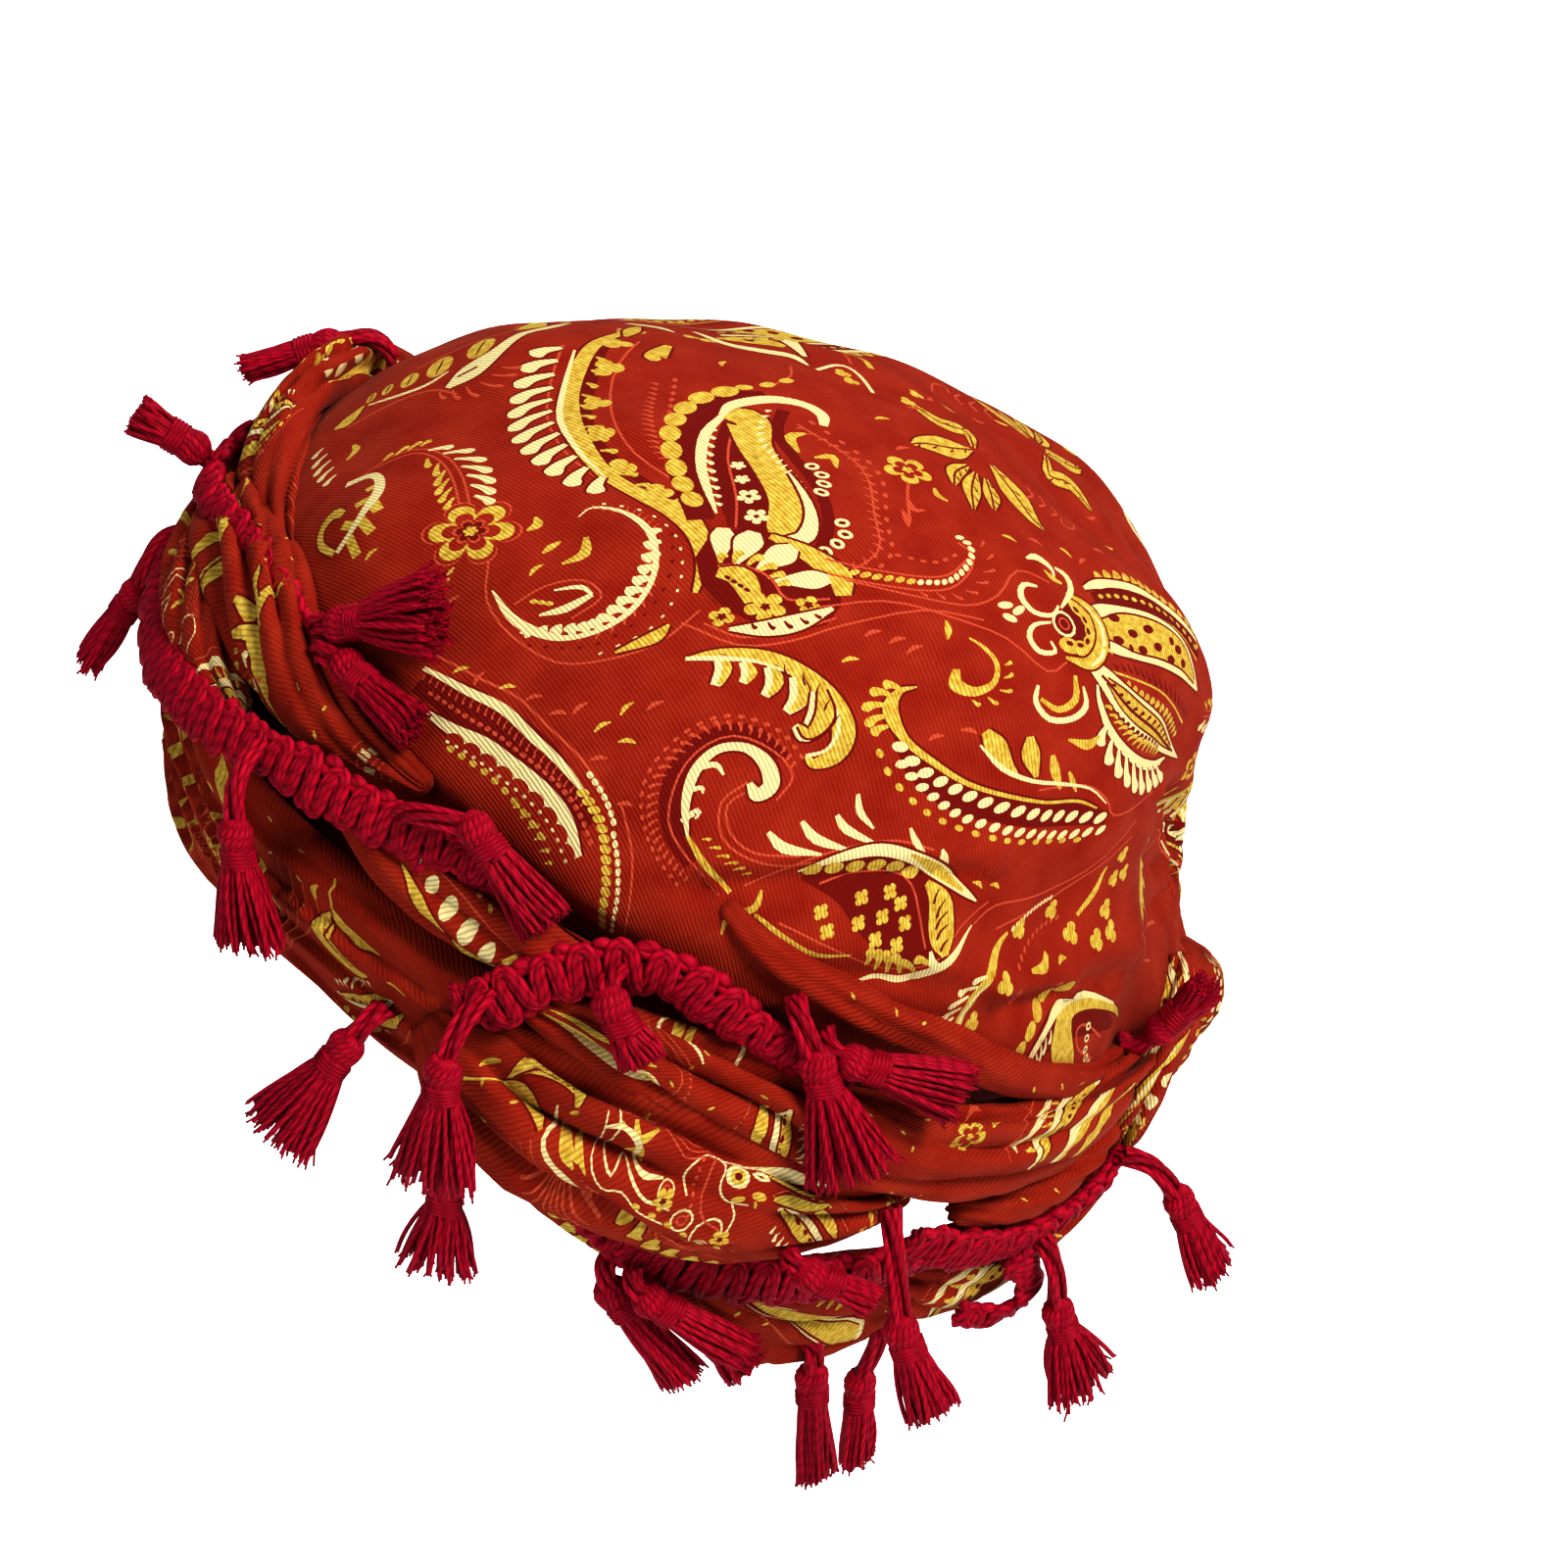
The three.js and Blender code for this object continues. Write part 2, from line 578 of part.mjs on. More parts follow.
/** A knot's outer form: a rounded lump with a waist, set on the wound hat. */
function knotBody({ phi, z, out, along: length, high, deep }, grow) {
  const centre = wrapPoint(phi, z, out);
  const outward = new THREE.Vector3(centre.x, centre.y, 0).normalize();
  const across = new THREE.Vector3(-outward.y, outward.x, 0);
  const up = new THREE.Vector3(0, 0, 1);
  const rings = [];
  for (let s = 0; s <= KNOT_STEPS; s += 1) {
    const turn = Math.PI * (KNOT_POLE + (1 - 2 * KNOT_POLE) * s / KNOT_STEPS);
    const lobe = Math.sin(turn) ** KNOT_FULLNESS * (1 - KNOT_WAIST * Math.sin(turn) ** 6);
    const place = centre.clone().addScaledVector(up, -Math.cos(turn) * (high / 2 + grow));
    rings.push(oval(place, across, outward, lobe * length / 2 + grow, lobe * deep / 2 + grow, KNOT_SIDES));
  }
  return loft(rings);
}

// ---------------------------------------------------------------- tassels
// A tassel is a yarn neck from the gimp to a tied head, and a skirt that flares to its end.
const NECK_WIDE = 4.5;
const HEAD_WIDE = 9;
const TIE_WIDE = 6.5;
const HEAD_LONG = 5;            // from the middle of the head to the tie under it
const NECK_FLAT = 0.8;          // thickness as a share of width
const HEAD_FLAT = 0.85;
const BELLY_FLAT = 0.65;
const SKIRT_FLAT = 0.5;
const NECK_END = 0.75;          // share of the neck that stays slim
const BELLY_PLACE = 0.6;        // share of the skirt's length where it has mostly opened
const BELLY_SHARE = 0.75;       // and its width there, as a share of the flare
const TASSEL_SIDES = 6;
const FAR_DROP = 4;             // a far tassel springs this far below the gimp's middle
const FAR_PROUD = 1;
const FAR_NECK = 11;
const FAR_LEAN = 24;
const FAR_SKIRT = 24;
const FAR_FALL = 6;
const FAR_FLARE = 18;

// Where the neck springs from, its length, its lean from plumb and the heading of that lean.
// The skirt's length, its fall from plumb and the heading of that fall, and its width at the end.
const TASSELS = [
  { phi: -22, z: 78, out: 0, neck: 14, lean: 106, turn: 3, skirt: 20, fall: 72, face: 3, flare: 12 },
  { phi: -7, z: 45, out: 7, neck: 7, lean: 138, turn: 3, skirt: 15, fall: 125, face: 3, flare: 10 },
  { phi: -2, z: 31, out: 3, neck: 18, lean: 38, turn: 3, skirt: 21, fall: 34, face: 3, flare: 13 },
  { phi: 34, z: 64, out: 2, neck: 9, lean: 116, turn: 123, skirt: 25, fall: 110, face: 157, flare: 22 },
  { phi: 37, z: 62, out: 3, neck: 10, lean: 96, turn: 122, skirt: 22, fall: 74, face: 137, flare: 12 },
  { phi: 41, z: 41, out: 7, neck: 18, lean: 42, turn: 70, skirt: 25, fall: 8, face: 120, flare: 21 },
  { phi: 57, z: 54, out: 7, neck: 18, lean: 100, turn: 150, skirt: 24, fall: 42, face: 154, flare: 14 },
  { phi: 65, z: 10, out: -1, neck: 10, lean: 54, turn: 30, skirt: 27, fall: 36, face: 6, flare: 19 },
  { phi: 73, z: 36, out: 6, neck: 17, lean: 50, turn: 55, skirt: 29, fall: 8, face: 330, flare: 22 },
  { phi: 79, z: -4, out: -1, neck: 13, lean: 32, turn: 50, skirt: 22, fall: 8, face: 3, flare: 20 },
  { phi: 82, z: 55, out: 6, neck: 8, lean: 74, turn: 80, skirt: 14, fall: 30, face: 155, flare: 12 },
  { phi: 98, z: 66, out: 5, neck: 13, lean: 34, turn: 130, skirt: 27, fall: 16, face: 165, flare: 22 },
  { phi: 103, z: 62, out: 5, neck: 7, lean: 66, turn: 140, skirt: 25, fall: 66, face: 192, flare: 17 },
  { phi: 151, z: 64, out: -2, neck: 8, lean: 118, turn: 165, skirt: 15, fall: 140, face: 180, flare: 14 },
  { phi: 158, z: 33, out: 5, neck: 17, lean: 48, turn: 183, skirt: 22, fall: 24, face: 183, flare: 16 },
  { phi: 147, z: 16, out: 7, neck: 20, lean: 14, turn: 170, skirt: 22, fall: 16, face: 183, flare: 23 },
  { phi: 121, z: 25, out: 1, neck: 26, lean: 20, turn: 110, skirt: 23, fall: 18, face: 178, flare: 14 },
  { phi: 132, z: -29, out: 8, neck: 9, lean: 8, turn: 150, skirt: 29, fall: 2, face: 183, flare: 11 },
  { phi: 144, z: -24, out: 5, neck: 21, lean: 10, turn: 3, skirt: 23, fall: 1, face: 3, flare: 12 },
  { phi: 100, z: -15, out: 6, neck: 8, lean: 4, turn: 100, skirt: 27, fall: 36, face: 175, flare: 11 },
  { phi: 102, z: -12, out: 10, neck: 7, lean: 25, turn: 160, skirt: 25, fall: 57, face: 180, flare: 11 },
  { phi: 117, z: -30, out: 4, neck: 3, lean: 40, turn: 183, skirt: 13, fall: 40, face: 183, flare: 12 },
  { phi: 112, z: 13, out: 6, neck: 8, lean: 60, turn: 130, skirt: 17, fall: 56, face: 195, flare: 8 },
];
const FAR_TASSELS = [-36, -54, -72, -90, -108, -126, -144, -162];

/** A direction that leans from plumb towards a heading, in the worn hat's upright world. */
function leaning(lean, heading) {
  const l = radians(lean);
  const h = radians(heading);
  const world = new THREE.Vector3(Math.sin(l) * Math.sin(h), -Math.sin(l) * Math.cos(h), -Math.cos(l));
  return world.applyAxisAngle(new THREE.Vector3(1, 0, 0), radians(WORN_TILT));
}

function tasselBody(row, grow) {
  const start = wrapPoint(row.phi, row.z, row.out);
  const neckWay = leaning(row.lean, row.turn);
  const skirtWay = leaning(row.fall, row.face);
  const head = start.clone().addScaledVector(neckWay, row.neck);
  const outward = new THREE.Vector3(head.x, head.y, 0).normalize();
  const bend = neckWay.clone().add(skirtWay).normalize();
  const onSkirt = (distance) => head.clone().addScaledVector(skirtWay, distance);
  const stations = [
    { at: start.clone().addScaledVector(neckWay, -grow), way: neckWay, wide: NECK_WIDE, flat: NECK_FLAT },
    { at: start.clone().lerp(head, NECK_END), way: neckWay, wide: NECK_WIDE, flat: NECK_FLAT },
    { at: head, way: bend, wide: HEAD_WIDE, flat: HEAD_FLAT },
    { at: onSkirt(HEAD_LONG), way: skirtWay, wide: TIE_WIDE, flat: HEAD_FLAT },
    { at: onSkirt(row.skirt * BELLY_PLACE), way: skirtWay, wide: BELLY_SHARE * row.flare, flat: BELLY_FLAT },
    { at: onSkirt(row.skirt + grow), way: skirtWay, wide: row.flare, flat: SKIRT_FLAT },
  ];
  return loft(stations.map(({ at, way, wide, flat }) => {
    const across = new THREE.Vector3().crossVectors(outward, way).normalize();
    const normal = new THREE.Vector3().crossVectors(way, across).normalize();
    return oval(at, across, normal, wide / 2 + grow, wide * flat / 2 + grow, TASSEL_SIDES);
  }));
}

/** The row of a tassel on the far side, where they hang alike from the gimp in the braid. */
function farTassel(phi) {
  const rows = braidRows(BRAIDED.far_gimp);
  const turn = phi + 360;
  return {
    phi,
    z: along(rows, 'phi', phi, 'z') - FAR_DROP,
    out: along(rows, 'phi', phi, 'out') + FAR_PROUD,
    neck: FAR_NECK,
    lean: FAR_LEAN,
    turn,
    skirt: FAR_SKIRT,
    fall: FAR_FALL,
    face: turn,
    flare: FAR_FLARE,
  };
}

// ---------------------------------------------------------------- assembly
const hat = new THREE.Group();
hat.rotation.x = -radians(WORN_TILT);

function addPiece(name, solid, look) {
  const mesh = new THREE.Mesh(toGeometry(solid), new THREE.MeshStandardMaterial(look));
  mesh.name = name;
  hat.add(mesh);
}

addPiece('crown_cap', toSolid(capShell(0, CLOTH, 0)), TWILL);
addPiece('satin_lining', toSolid(capShell(CLOTH + LINING_GAP, SATIN, LINING_INSET)), SATIN_RED);

// Each piece gives way to the ones that lie over it, so the order runs from the top layer down.
let occupied = toSolid(capBulk());

function layPiece(name, makeBody, look) {
  const solid = tidy(toSolid(makeBody(0)).subtract(occupied));
  occupied = occupied.add(toSolid(makeBody(SEAT)));
  addPiece(name, solid, look);
}

[...TASSELS, ...FAR_TASSELS.map(farTassel)].forEach((row, i) => {
  layPiece(`tassel_${String(i + 1).padStart(2, '0')}`, (grow) => tasselBody(row, grow), YARN);
});
Object.entries(GIMPS).forEach(([name, rows]) => {
  layPiece(name, (grow) => loft(strandRings(rows, STRAND_SIDES, grow)), YARN);
});
layPiece('far_gimp', (grow) => loft(strandRings(braidRows(BRAIDED.far_gimp), BRAID_SIDES, grow)), YARN);
layPiece('side_knot', (grow) => knotBody(KNOTS.side_knot, grow), TWILL);
layPiece('tail_knot', (grow) => knotBody(KNOTS.tail_knot, grow), TWILL);
Object.entries(STRANDS).forEach(([name, rows]) => {
  layPiece(name, (grow) => loft(strandRings(rows, STRAND_SIDES, grow)), TWILL);
});
['plait_strand_a', 'plait_strand_b'].forEach((name) => {
  layPiece(name, (grow) => loft(strandRings(braidRows(BRAIDED[name]), BRAID_SIDES, grow)), TWILL);
});
layPiece('front_wrap', wrapBody, TWILL);

export default hat;
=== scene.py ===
"""A turban hat: a printed twill cap with a satin lining, wound with cloth and tasselled gimp.

The hat is drawn in millimetres in its own upright frame (z along its axis, -y to the front
of the head, +x to the wearer's left), then leant back and scaled to metres. An angle called
phi runs round it: 0 at the front, 90 at the wearer's left, 180 behind.
"""

from __future__ import annotations

import logging
import math
from dataclasses import dataclass, field
from enum import Enum
from functools import cache
from typing import Callable

import bpy
import numpy as np
from mathutils import Matrix, Vector
from mathutils.bvhtree import BVHTree
from mathutils.geometry import delaunay_2d_cdt

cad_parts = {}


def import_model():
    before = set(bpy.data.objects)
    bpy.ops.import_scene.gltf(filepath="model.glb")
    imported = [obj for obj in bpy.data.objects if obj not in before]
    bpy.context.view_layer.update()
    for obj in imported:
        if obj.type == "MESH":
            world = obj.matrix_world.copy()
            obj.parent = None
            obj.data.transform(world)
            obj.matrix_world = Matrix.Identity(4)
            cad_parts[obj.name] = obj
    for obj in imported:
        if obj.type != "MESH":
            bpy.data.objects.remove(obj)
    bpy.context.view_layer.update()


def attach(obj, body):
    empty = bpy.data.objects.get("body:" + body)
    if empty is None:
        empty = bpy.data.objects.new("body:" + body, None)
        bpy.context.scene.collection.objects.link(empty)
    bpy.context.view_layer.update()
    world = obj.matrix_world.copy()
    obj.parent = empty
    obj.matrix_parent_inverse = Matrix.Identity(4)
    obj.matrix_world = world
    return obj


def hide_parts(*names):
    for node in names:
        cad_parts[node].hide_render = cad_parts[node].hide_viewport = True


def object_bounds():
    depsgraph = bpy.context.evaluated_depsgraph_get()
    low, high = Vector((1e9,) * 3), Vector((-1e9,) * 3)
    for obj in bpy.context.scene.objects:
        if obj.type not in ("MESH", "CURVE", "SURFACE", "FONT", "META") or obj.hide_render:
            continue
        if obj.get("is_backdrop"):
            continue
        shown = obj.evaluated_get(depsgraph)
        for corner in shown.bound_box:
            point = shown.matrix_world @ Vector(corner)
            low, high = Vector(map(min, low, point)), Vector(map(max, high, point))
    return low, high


log = logging.getLogger("turban")
Array = np.ndarray
Table = dict[str, Array]
Row = tuple[float, ...]
Colour = tuple[float, float, float]
Finish = bpy.types.Material
Piece = bpy.types.Object
Socket = bpy.types.NodeSocket
Tree = bpy.types.NodeTree

MM = 0.001
WORN_TILT = math.radians(31)
BODY = "root"
SPOT = "phi z out wide thick"
LEVEL = np.array([1, 1, 0])
UPRIGHT = np.array([0, 0, 1])


def number(word: str) -> float:
    """Reads a number; a count stays whole."""
    return int(word) if word.isdigit() else float(word)


def read_rows(text: str) -> list[Row]:
    """Reads rows of numbers, parted by commas."""
    return [tuple(map(float, row.split())) for row in text.split(",")]


def placed(text: str) -> list[tuple[str, float, float, float]]:
    """Reads rows of a motif's name, its two places and its turn, parted by commas."""
    rows = (row.split() for row in text.split(","))
    return [(name, *map(float, place)) for name, *place in rows]


def table(columns: str, text: str) -> Table:
    """Names the columns of a small table."""
    return dict(zip(columns.split(), np.array(read_rows(text)).T))


def tables(text: str) -> dict[str, Table]:
    """Reads strands: on each line a name and its spots; a comma at the end goes on in the next line."""
    lines = (line.partition(":") for line in text.strip().replace(",\n", ",").splitlines())
    return {name: table(SPOT, spots) for name, _, spots in lines}


# ---- the form of the hat
ENVELOPE = table("z front side", """
    -60 96 84, -40 102 90, -25 107 94, -12 110 97, 0 115 101, 15 122 108, 30 125 111, 45 122 108,
    60 117.5 103.5, 75 115 101, 90 109 95, 110 98 84
""")
CAP_BAND = table("z front side", "-10 100 82, 15 102 85, 35 105 89, 48 109 94.5, 56 114.5 100.5, 60 117 103")
RIM = table("phi z", "0 -6, 55 -4, 90 10, 118 31, 150 32, 185 26, 225 8, 270 -4, 360 -6")
SHOULDER = 60.0
SHOULDER_FRONT = 117.0
SHOULDER_SIDE = 103.0
CROWN_RISE = 90.0
CROWN_POWER = 1.75
CROWN_LEAN = 19.0
LEAN_POWER = 1.9
BACK_TUCK = 17.0
BACK_TUCK_HEIGHT = 0.38
BACK_TUCK_SPREAD = 0.28
TUCK_POWER = 1.5


def along(rows: Table, key: str, at: Array | float, column: str) -> Array:
    """Smooth value of one column of a table at places along its key column.

    Args:
        rows: the table.
        key: the column that the places are on.
        at: the places.
        column: the column to read.

    Returns:
        One value for each place.
    """
    x, y = rows[key], rows[column]
    at = np.clip(at, x[0], x[-1])
    low = np.maximum(np.arange(len(x)) - 1, 0)
    high = np.minimum(np.arange(len(x)) + 1, len(x) - 1)
    slope = (y[high] - y[low]) / (x[high] - x[low])
    i = np.clip(np.searchsorted(x, at) - 1, 0, len(x) - 2)
    step = x[i + 1] - x[i]
    t = (at - x[i]) / step
    return ((2 * t ** 3 - 3 * t ** 2 + 1) * y[i] + (t ** 3 - 2 * t ** 2 + t) * step * slope[i]
            + (3 * t ** 2 - 2 * t ** 3) * y[i + 1] + (t ** 3 - t ** 2) * step * slope[i + 1])


def ring_point(shape: Table, phi: Array, z: Array, out: Array) -> Array:
    """Places on an oval form, phi in degrees, lifted outwards by a distance."""
    a = np.radians(phi)
    front = along(shape, "z", z, "front") + out
    side = along(shape, "z", z, "side") + out
    return np.stack(np.broadcast_arrays(side * np.sin(a), -front * np.cos(a), z), -1)


def rim_height(phi: Array) -> Array:
    """Height of the cap's rim."""
    return along(RIM, "phi", np.mod(phi, 360), "z")


def crown_point(phi: Array, share: Array, out: Array | float) -> Array:
    """Places on the crown; share runs from 0 at the shoulder to 1 at the top."""
    a = np.radians(phi)
    turn = share * np.pi / 2
    rise = np.sin(turn) ** (2 / CROWN_POWER)
    spread = np.maximum(np.cos(turn), 0) ** (2 / CROWN_POWER)
    back = np.maximum(-np.cos(a), 0) ** TUCK_POWER
    tuck = BACK_TUCK * back * np.exp(-((rise - BACK_TUCK_HEIGHT) / BACK_TUCK_SPREAD) ** 2)
    fade = BACK_TUCK * back * math.exp(-((BACK_TUCK_HEIGHT / BACK_TUCK_SPREAD) ** 2))
    lean = CROWN_LEAN * rise ** LEAN_POWER
    return np.stack([
        (SHOULDER_SIDE + out) * spread * np.sin(a),
        -(SHOULDER_FRONT + out) * spread * np.cos(a) + lean - np.maximum(tuck - fade, 0),
        SHOULDER + (CROWN_RISE + out) * rise,
    ], -1)


def to_row(points: Array) -> Array:
    """Leans hat points back as worn and turns millimetres into metres."""
    c, s = math.cos(WORN_TILT), math.sin(WORN_TILT)
    x, y, z = np.moveaxis(points, -1, 0)
    return np.stack([x, c * y + s * z, c * z - s * y], -1) * MM


def unit(vectors: Array) -> Array:
    """Vectors scaled to length one."""
    return vectors / (np.linalg.norm(vectors, axis=-1, keepdims=True) + 1e-9)


def distance_along(line: Array) -> Array:
    """How far each point of a line lies along it."""
    return np.concatenate([[0], np.cumsum(np.linalg.norm(np.diff(line, axis=0), axis=1))])


def ripples(points: Array, wave: float, seed: int, count: int = 7) -> Array:
    """A smooth random field, about -1 to 1, from a few plane waves of nearly one length."""
    rng = np.random.default_rng(seed)
    total = np.zeros(points.shape[:-1])
    for _ in range(count):
        way = unit(rng.normal(size=points.shape[-1]))
        total += np.sin(points @ way * 2 * np.pi / (wave * rng.uniform(0.75, 1.5)) + rng.uniform(0, 6.28))
    return total / math.sqrt(count)


def ease(at: Array, low: float, high: float) -> Array:
    """Rises smoothly from 0 at low to 1 at high."""
    t = np.clip((at - low) / (high - low), 0, 1)
    return t * t * (3 - 2 * t)


# ---- the print
class Ink(Enum):
    """The colours that the cloth is printed in, over its dyed ground."""

    GROUND = 0
    GOLD = 1
    CREAM = 2
    DARK = 3
    FINE = 4


class Bead(Enum):
    """The small shapes that are printed in rows: their width, height and slant."""

    DOT = (1.6, 1.0, 0.0)
    BEAD = (1.25, 0.8, 40.0)
    RING = (1.0, 1.2, 0.0)
    PETAL = (1.3, 0.9, 0.0)


Outline = tuple[Array, Ink]
BROAD_STROKE = 2.4
RIMMED_STROKE = 2.9
RIM_WIDTH = 1.1
HAIRLINE = 0.15
LARGE_OVAL = 4.4


def smooth_line(points: tuple[Row, ...], per_span: int) -> Array:
    """A Catmull-Rom curve through a few rows of numbers."""
    p = np.asarray(points, float)
    if len(p) < 3:
        return p[0] + np.linspace(0, 1, per_span)[:, None] * (p[-1] - p[0])
    ends = np.vstack([2 * p[0] - p[1], p, 2 * p[-1] - p[-2]])
    t = np.linspace(0, 1, per_span, endpoint=False)[:, None]
    spans = [
        0.5 * (2 * b + (c - a) * t + (2 * a - 5 * b + 4 * c - d) * t ** 2 + (3 * b - a - 3 * c + d) * t ** 3)
        for a, b, c, d in zip(ends[:-3], ends[1:-2], ends[2:-1], ends[3:])
    ]
    return np.concatenate([*spans, p[-1:]])


@dataclass
class Pen:
    """Draws a motif on the flat cloth, in millimetres, moved from its home to where it is wanted."""

    home: Row
    place: Row
    turn: float
    size: float
    shapes: list[Outline]

    def put(self, outline: Array, ink: Ink) -> None:
        """Adds one closed outline."""
        a = math.radians(self.turn)
        c, s = self.size * math.cos(a), self.size * math.sin(a)
        x, y = (outline - np.asarray(self.home)).T
        moved = np.stack([self.place[0] + c * x - s * y, self.place[1] + s * x + c * y], -1)
        self.shapes.append((moved, ink))

    def swell(self, ink: Ink, *rows: Row) -> None:
        """A stroke through rows of x, y and its width there; a wide one in a light ink gets a dark rim."""
        line = smooth_line(rows, 5 if max(row[2] for row in rows) > BROAD_STROKE else 3)
        step = np.gradient(line[:, :2], axis=0)
        side = unit(np.stack([-step[:, 1], step[:, 0]], -1)) * np.maximum(line[:, 2:], HAIRLINE) / 2
        if ink in (Ink.GOLD, Ink.CREAM) and line[:, 2].max() > RIMMED_STROKE:
            rim = side * (1 + RIM_WIDTH / np.maximum(line[:, 2:], 0.5))
            self.put(np.concatenate([line[:, :2] + rim, (line[:, :2] - rim)[::-1]]), Ink.DARK)
        self.put(np.concatenate([line[:, :2] + side, (line[:, :2] - side)[::-1]]), ink)

    def line(self, ink: Ink, wide: float, *points: Row) -> None:
        """A stroke of one width through points."""
        self.swell(ink, *((x, y, wide) for x, y in points))

    def hatch(self, ink: Ink, wide: float, count: int, *points: Row) -> None:
        """Strokes that go over by even steps from the first half of the points to the second half."""
        first, last = np.array(points).reshape(2, -1, 2)
        for share in np.linspace(0, 1, count):
            self.line(ink, wide, *(first + (last - first) * share))

    def rays(self, ink: Ink, wide: float, count: int, start: float, step: float) -> None:
        """Curved strokes that spread from the middle, at even angles in degrees."""
        for i in range(count):
            a = math.radians(start + step * i)
            x, y = math.cos(a), math.sin(a)
            self.line(ink, wide, (2 * x, 2 * y), (6 * x + 1, 6 * y), (11 * x + 3, 10 * y - 1))

    def lobe(self, *rows: Row) -> None:
        """A gold stroke on a cream one that shows at its upper side."""
        self.swell(Ink.CREAM, *((x - 0.3, y - 0.3, wide + 0.6) for x, y, wide in rows))
        self.swell(Ink.GOLD, *((x + 0.4, y + 0.2, 0.75 * wide) for x, y, wide in rows))

    def leaf(self, *rows: Row) -> None:
        """A gold stroke with a dark midrib and veins."""
        self.swell(Ink.GOLD, *rows)
        self.line(Ink.DARK, 0.5, *(row[:2] for row in rows))
        self.comb(Ink.DARK, 0.5, 4, 2.6, 45, *(row[:2] for row in rows))

    def oval(self, ink: Ink, *rows: Row) -> None:
        """Filled ovals, from rows of x, y, width, height and turn."""
        for x, y, wide, high, turn in rows:
            a = np.linspace(0, 2 * np.pi, 12 if wide + high > LARGE_OVAL else 8, endpoint=False)
            c, s = math.cos(math.radians(turn)), math.sin(math.radians(turn))
            p, q = np.cos(a) * wide / 2, np.sin(a) * high / 2
            self.put(np.stack([x + p * c - q * s, y + p * s + q * c], -1), ink)

    def flower(self, ink: Ink, wide: float, petals: int, *points: Row) -> None:
        """Round petals in a ring, at each point."""
        a = np.linspace(0, 2 * np.pi, 8 * petals, endpoint=False)
        r = wide / 2 * (0.55 + 0.45 * np.abs(np.cos(petals * a / 2)) ** 0.6)
        for x, y in points:
            self.put(np.stack([x + r * np.cos(a), y + r * np.sin(a)], -1), ink)

    def spots(self, count: int, points: tuple[Row, ...]) -> list[Row]:
        """Places evenly spaced along a curve, with the heading there in degrees."""
        line = smooth_line(points, 8)
        run = distance_along(line)
        at = (np.arange(count) + 0.5) / count * run[-1]
        x, y = (np.interp(at, run, line[:, k]) for k in (0, 1))
        dx, dy = (np.interp(at, run, np.gradient(line[:, k])) for k in (0, 1))
        return list(zip(x, y, np.degrees(np.arctan2(dy, dx))))

    def comb(self, ink: Ink, wide: float, count: int, long: float, lean: float, *points: Row) -> None:
        """Club-ended teeth that grow from one side of a curve.

        Args:
            ink: their colour.
            wide: width of a tooth near its tip.
            count: how many.
            long: length of the longest; those at the ends are shorter.
            lean: their angle to the curve, positive to its left.
            points: the curve.
        """
        for i, (x, y, heading) in enumerate(self.spots(count, points)):
            reach = long * (0.55 + 0.45 * math.sin(math.pi * (i + 0.5) / count))
            a, b = math.radians(heading + lean), math.radians(heading + 0.7 * lean)
            mx, my = x + 0.5 * reach * math.cos(a), y + 0.5 * reach * math.sin(a)
            tx, ty = mx + 0.5 * reach * math.cos(b), my + 0.5 * reach * math.sin(b)
            self.swell(ink, (x, y, 0.35 * wide), (mx, my, 0.7 * wide),
                       (0.3 * mx + 0.7 * tx, 0.3 * my + 0.7 * ty, wide), (tx, ty, 0.3 * wide))

    def beads(self, ink: Ink, kind: Bead, size: float, count: int, *points: Row) -> None:
        """A row of one small shape along a curve."""
        wide, high, slant = kind.value
        for x, y, heading in self.spots(count, points):
            self.oval(ink, (x, y, wide * size, high * size, heading + slant))
            if kind is Bead.RING:
                self.oval(Ink.DARK, (x, y, 0.4 * size, 0.6 * size, heading))


@dataclass(frozen=True)
class Motif:
    """A printed motif: its home on the crown, empty where it has none, and its strokes in order."""

    home: Row
    strokes: list[tuple[str, list[Ink | Bead | float], list[Row]]]

    def draw(self, shapes: list[Outline], place: Row, turn: float = 0.0, size: float = 1.0) -> None:
        """Adds the motif to a cloth's print."""
        pen = Pen(self.home or (0.0, 0.0), place, turn, size, shapes)
        for method, settings, rows in self.strokes:
            getattr(pen, method)(*settings, *rows)


def read_motifs(chart: str) -> dict[str, Motif]:
    """Reads the chart of the motifs.

    Args:
        chart: for each motif a line with its name and home, then lines that start with an ink, and
            a width if the stroke has one width, or with one of the pen's methods and its settings.
            After a colon come the strokes, parted by semicolons, their rows parted by commas. A line
            that ends with either goes on in the next one.

    Returns:
        The motifs by name.
    """
    options = {option.name.lower(): option for option in (*Ink, *Bead)}
    motifs: dict[str, Motif] = {}
    for line in chart.replace(",\n", ",").replace(";\n", ";").splitlines():
        if not line or line.startswith("#"):
            continue
        head, _, strokes = line.partition(":")
        method, *settings = head.split()
        if method == "motif":
            motif = motifs[settings[0]] = Motif(tuple(map(float, settings[1:])), [])
            continue
        if method in options:
            settings.insert(0, method)
            method = "line" if len(settings) > 1 else "swell"
        values = [options[word] if word in options else number(word) for word in settings]
        for stroke in strokes.split(";"):
            motif.strokes.append((method, values, read_rows(stroke) if stroke else []))
    return motifs


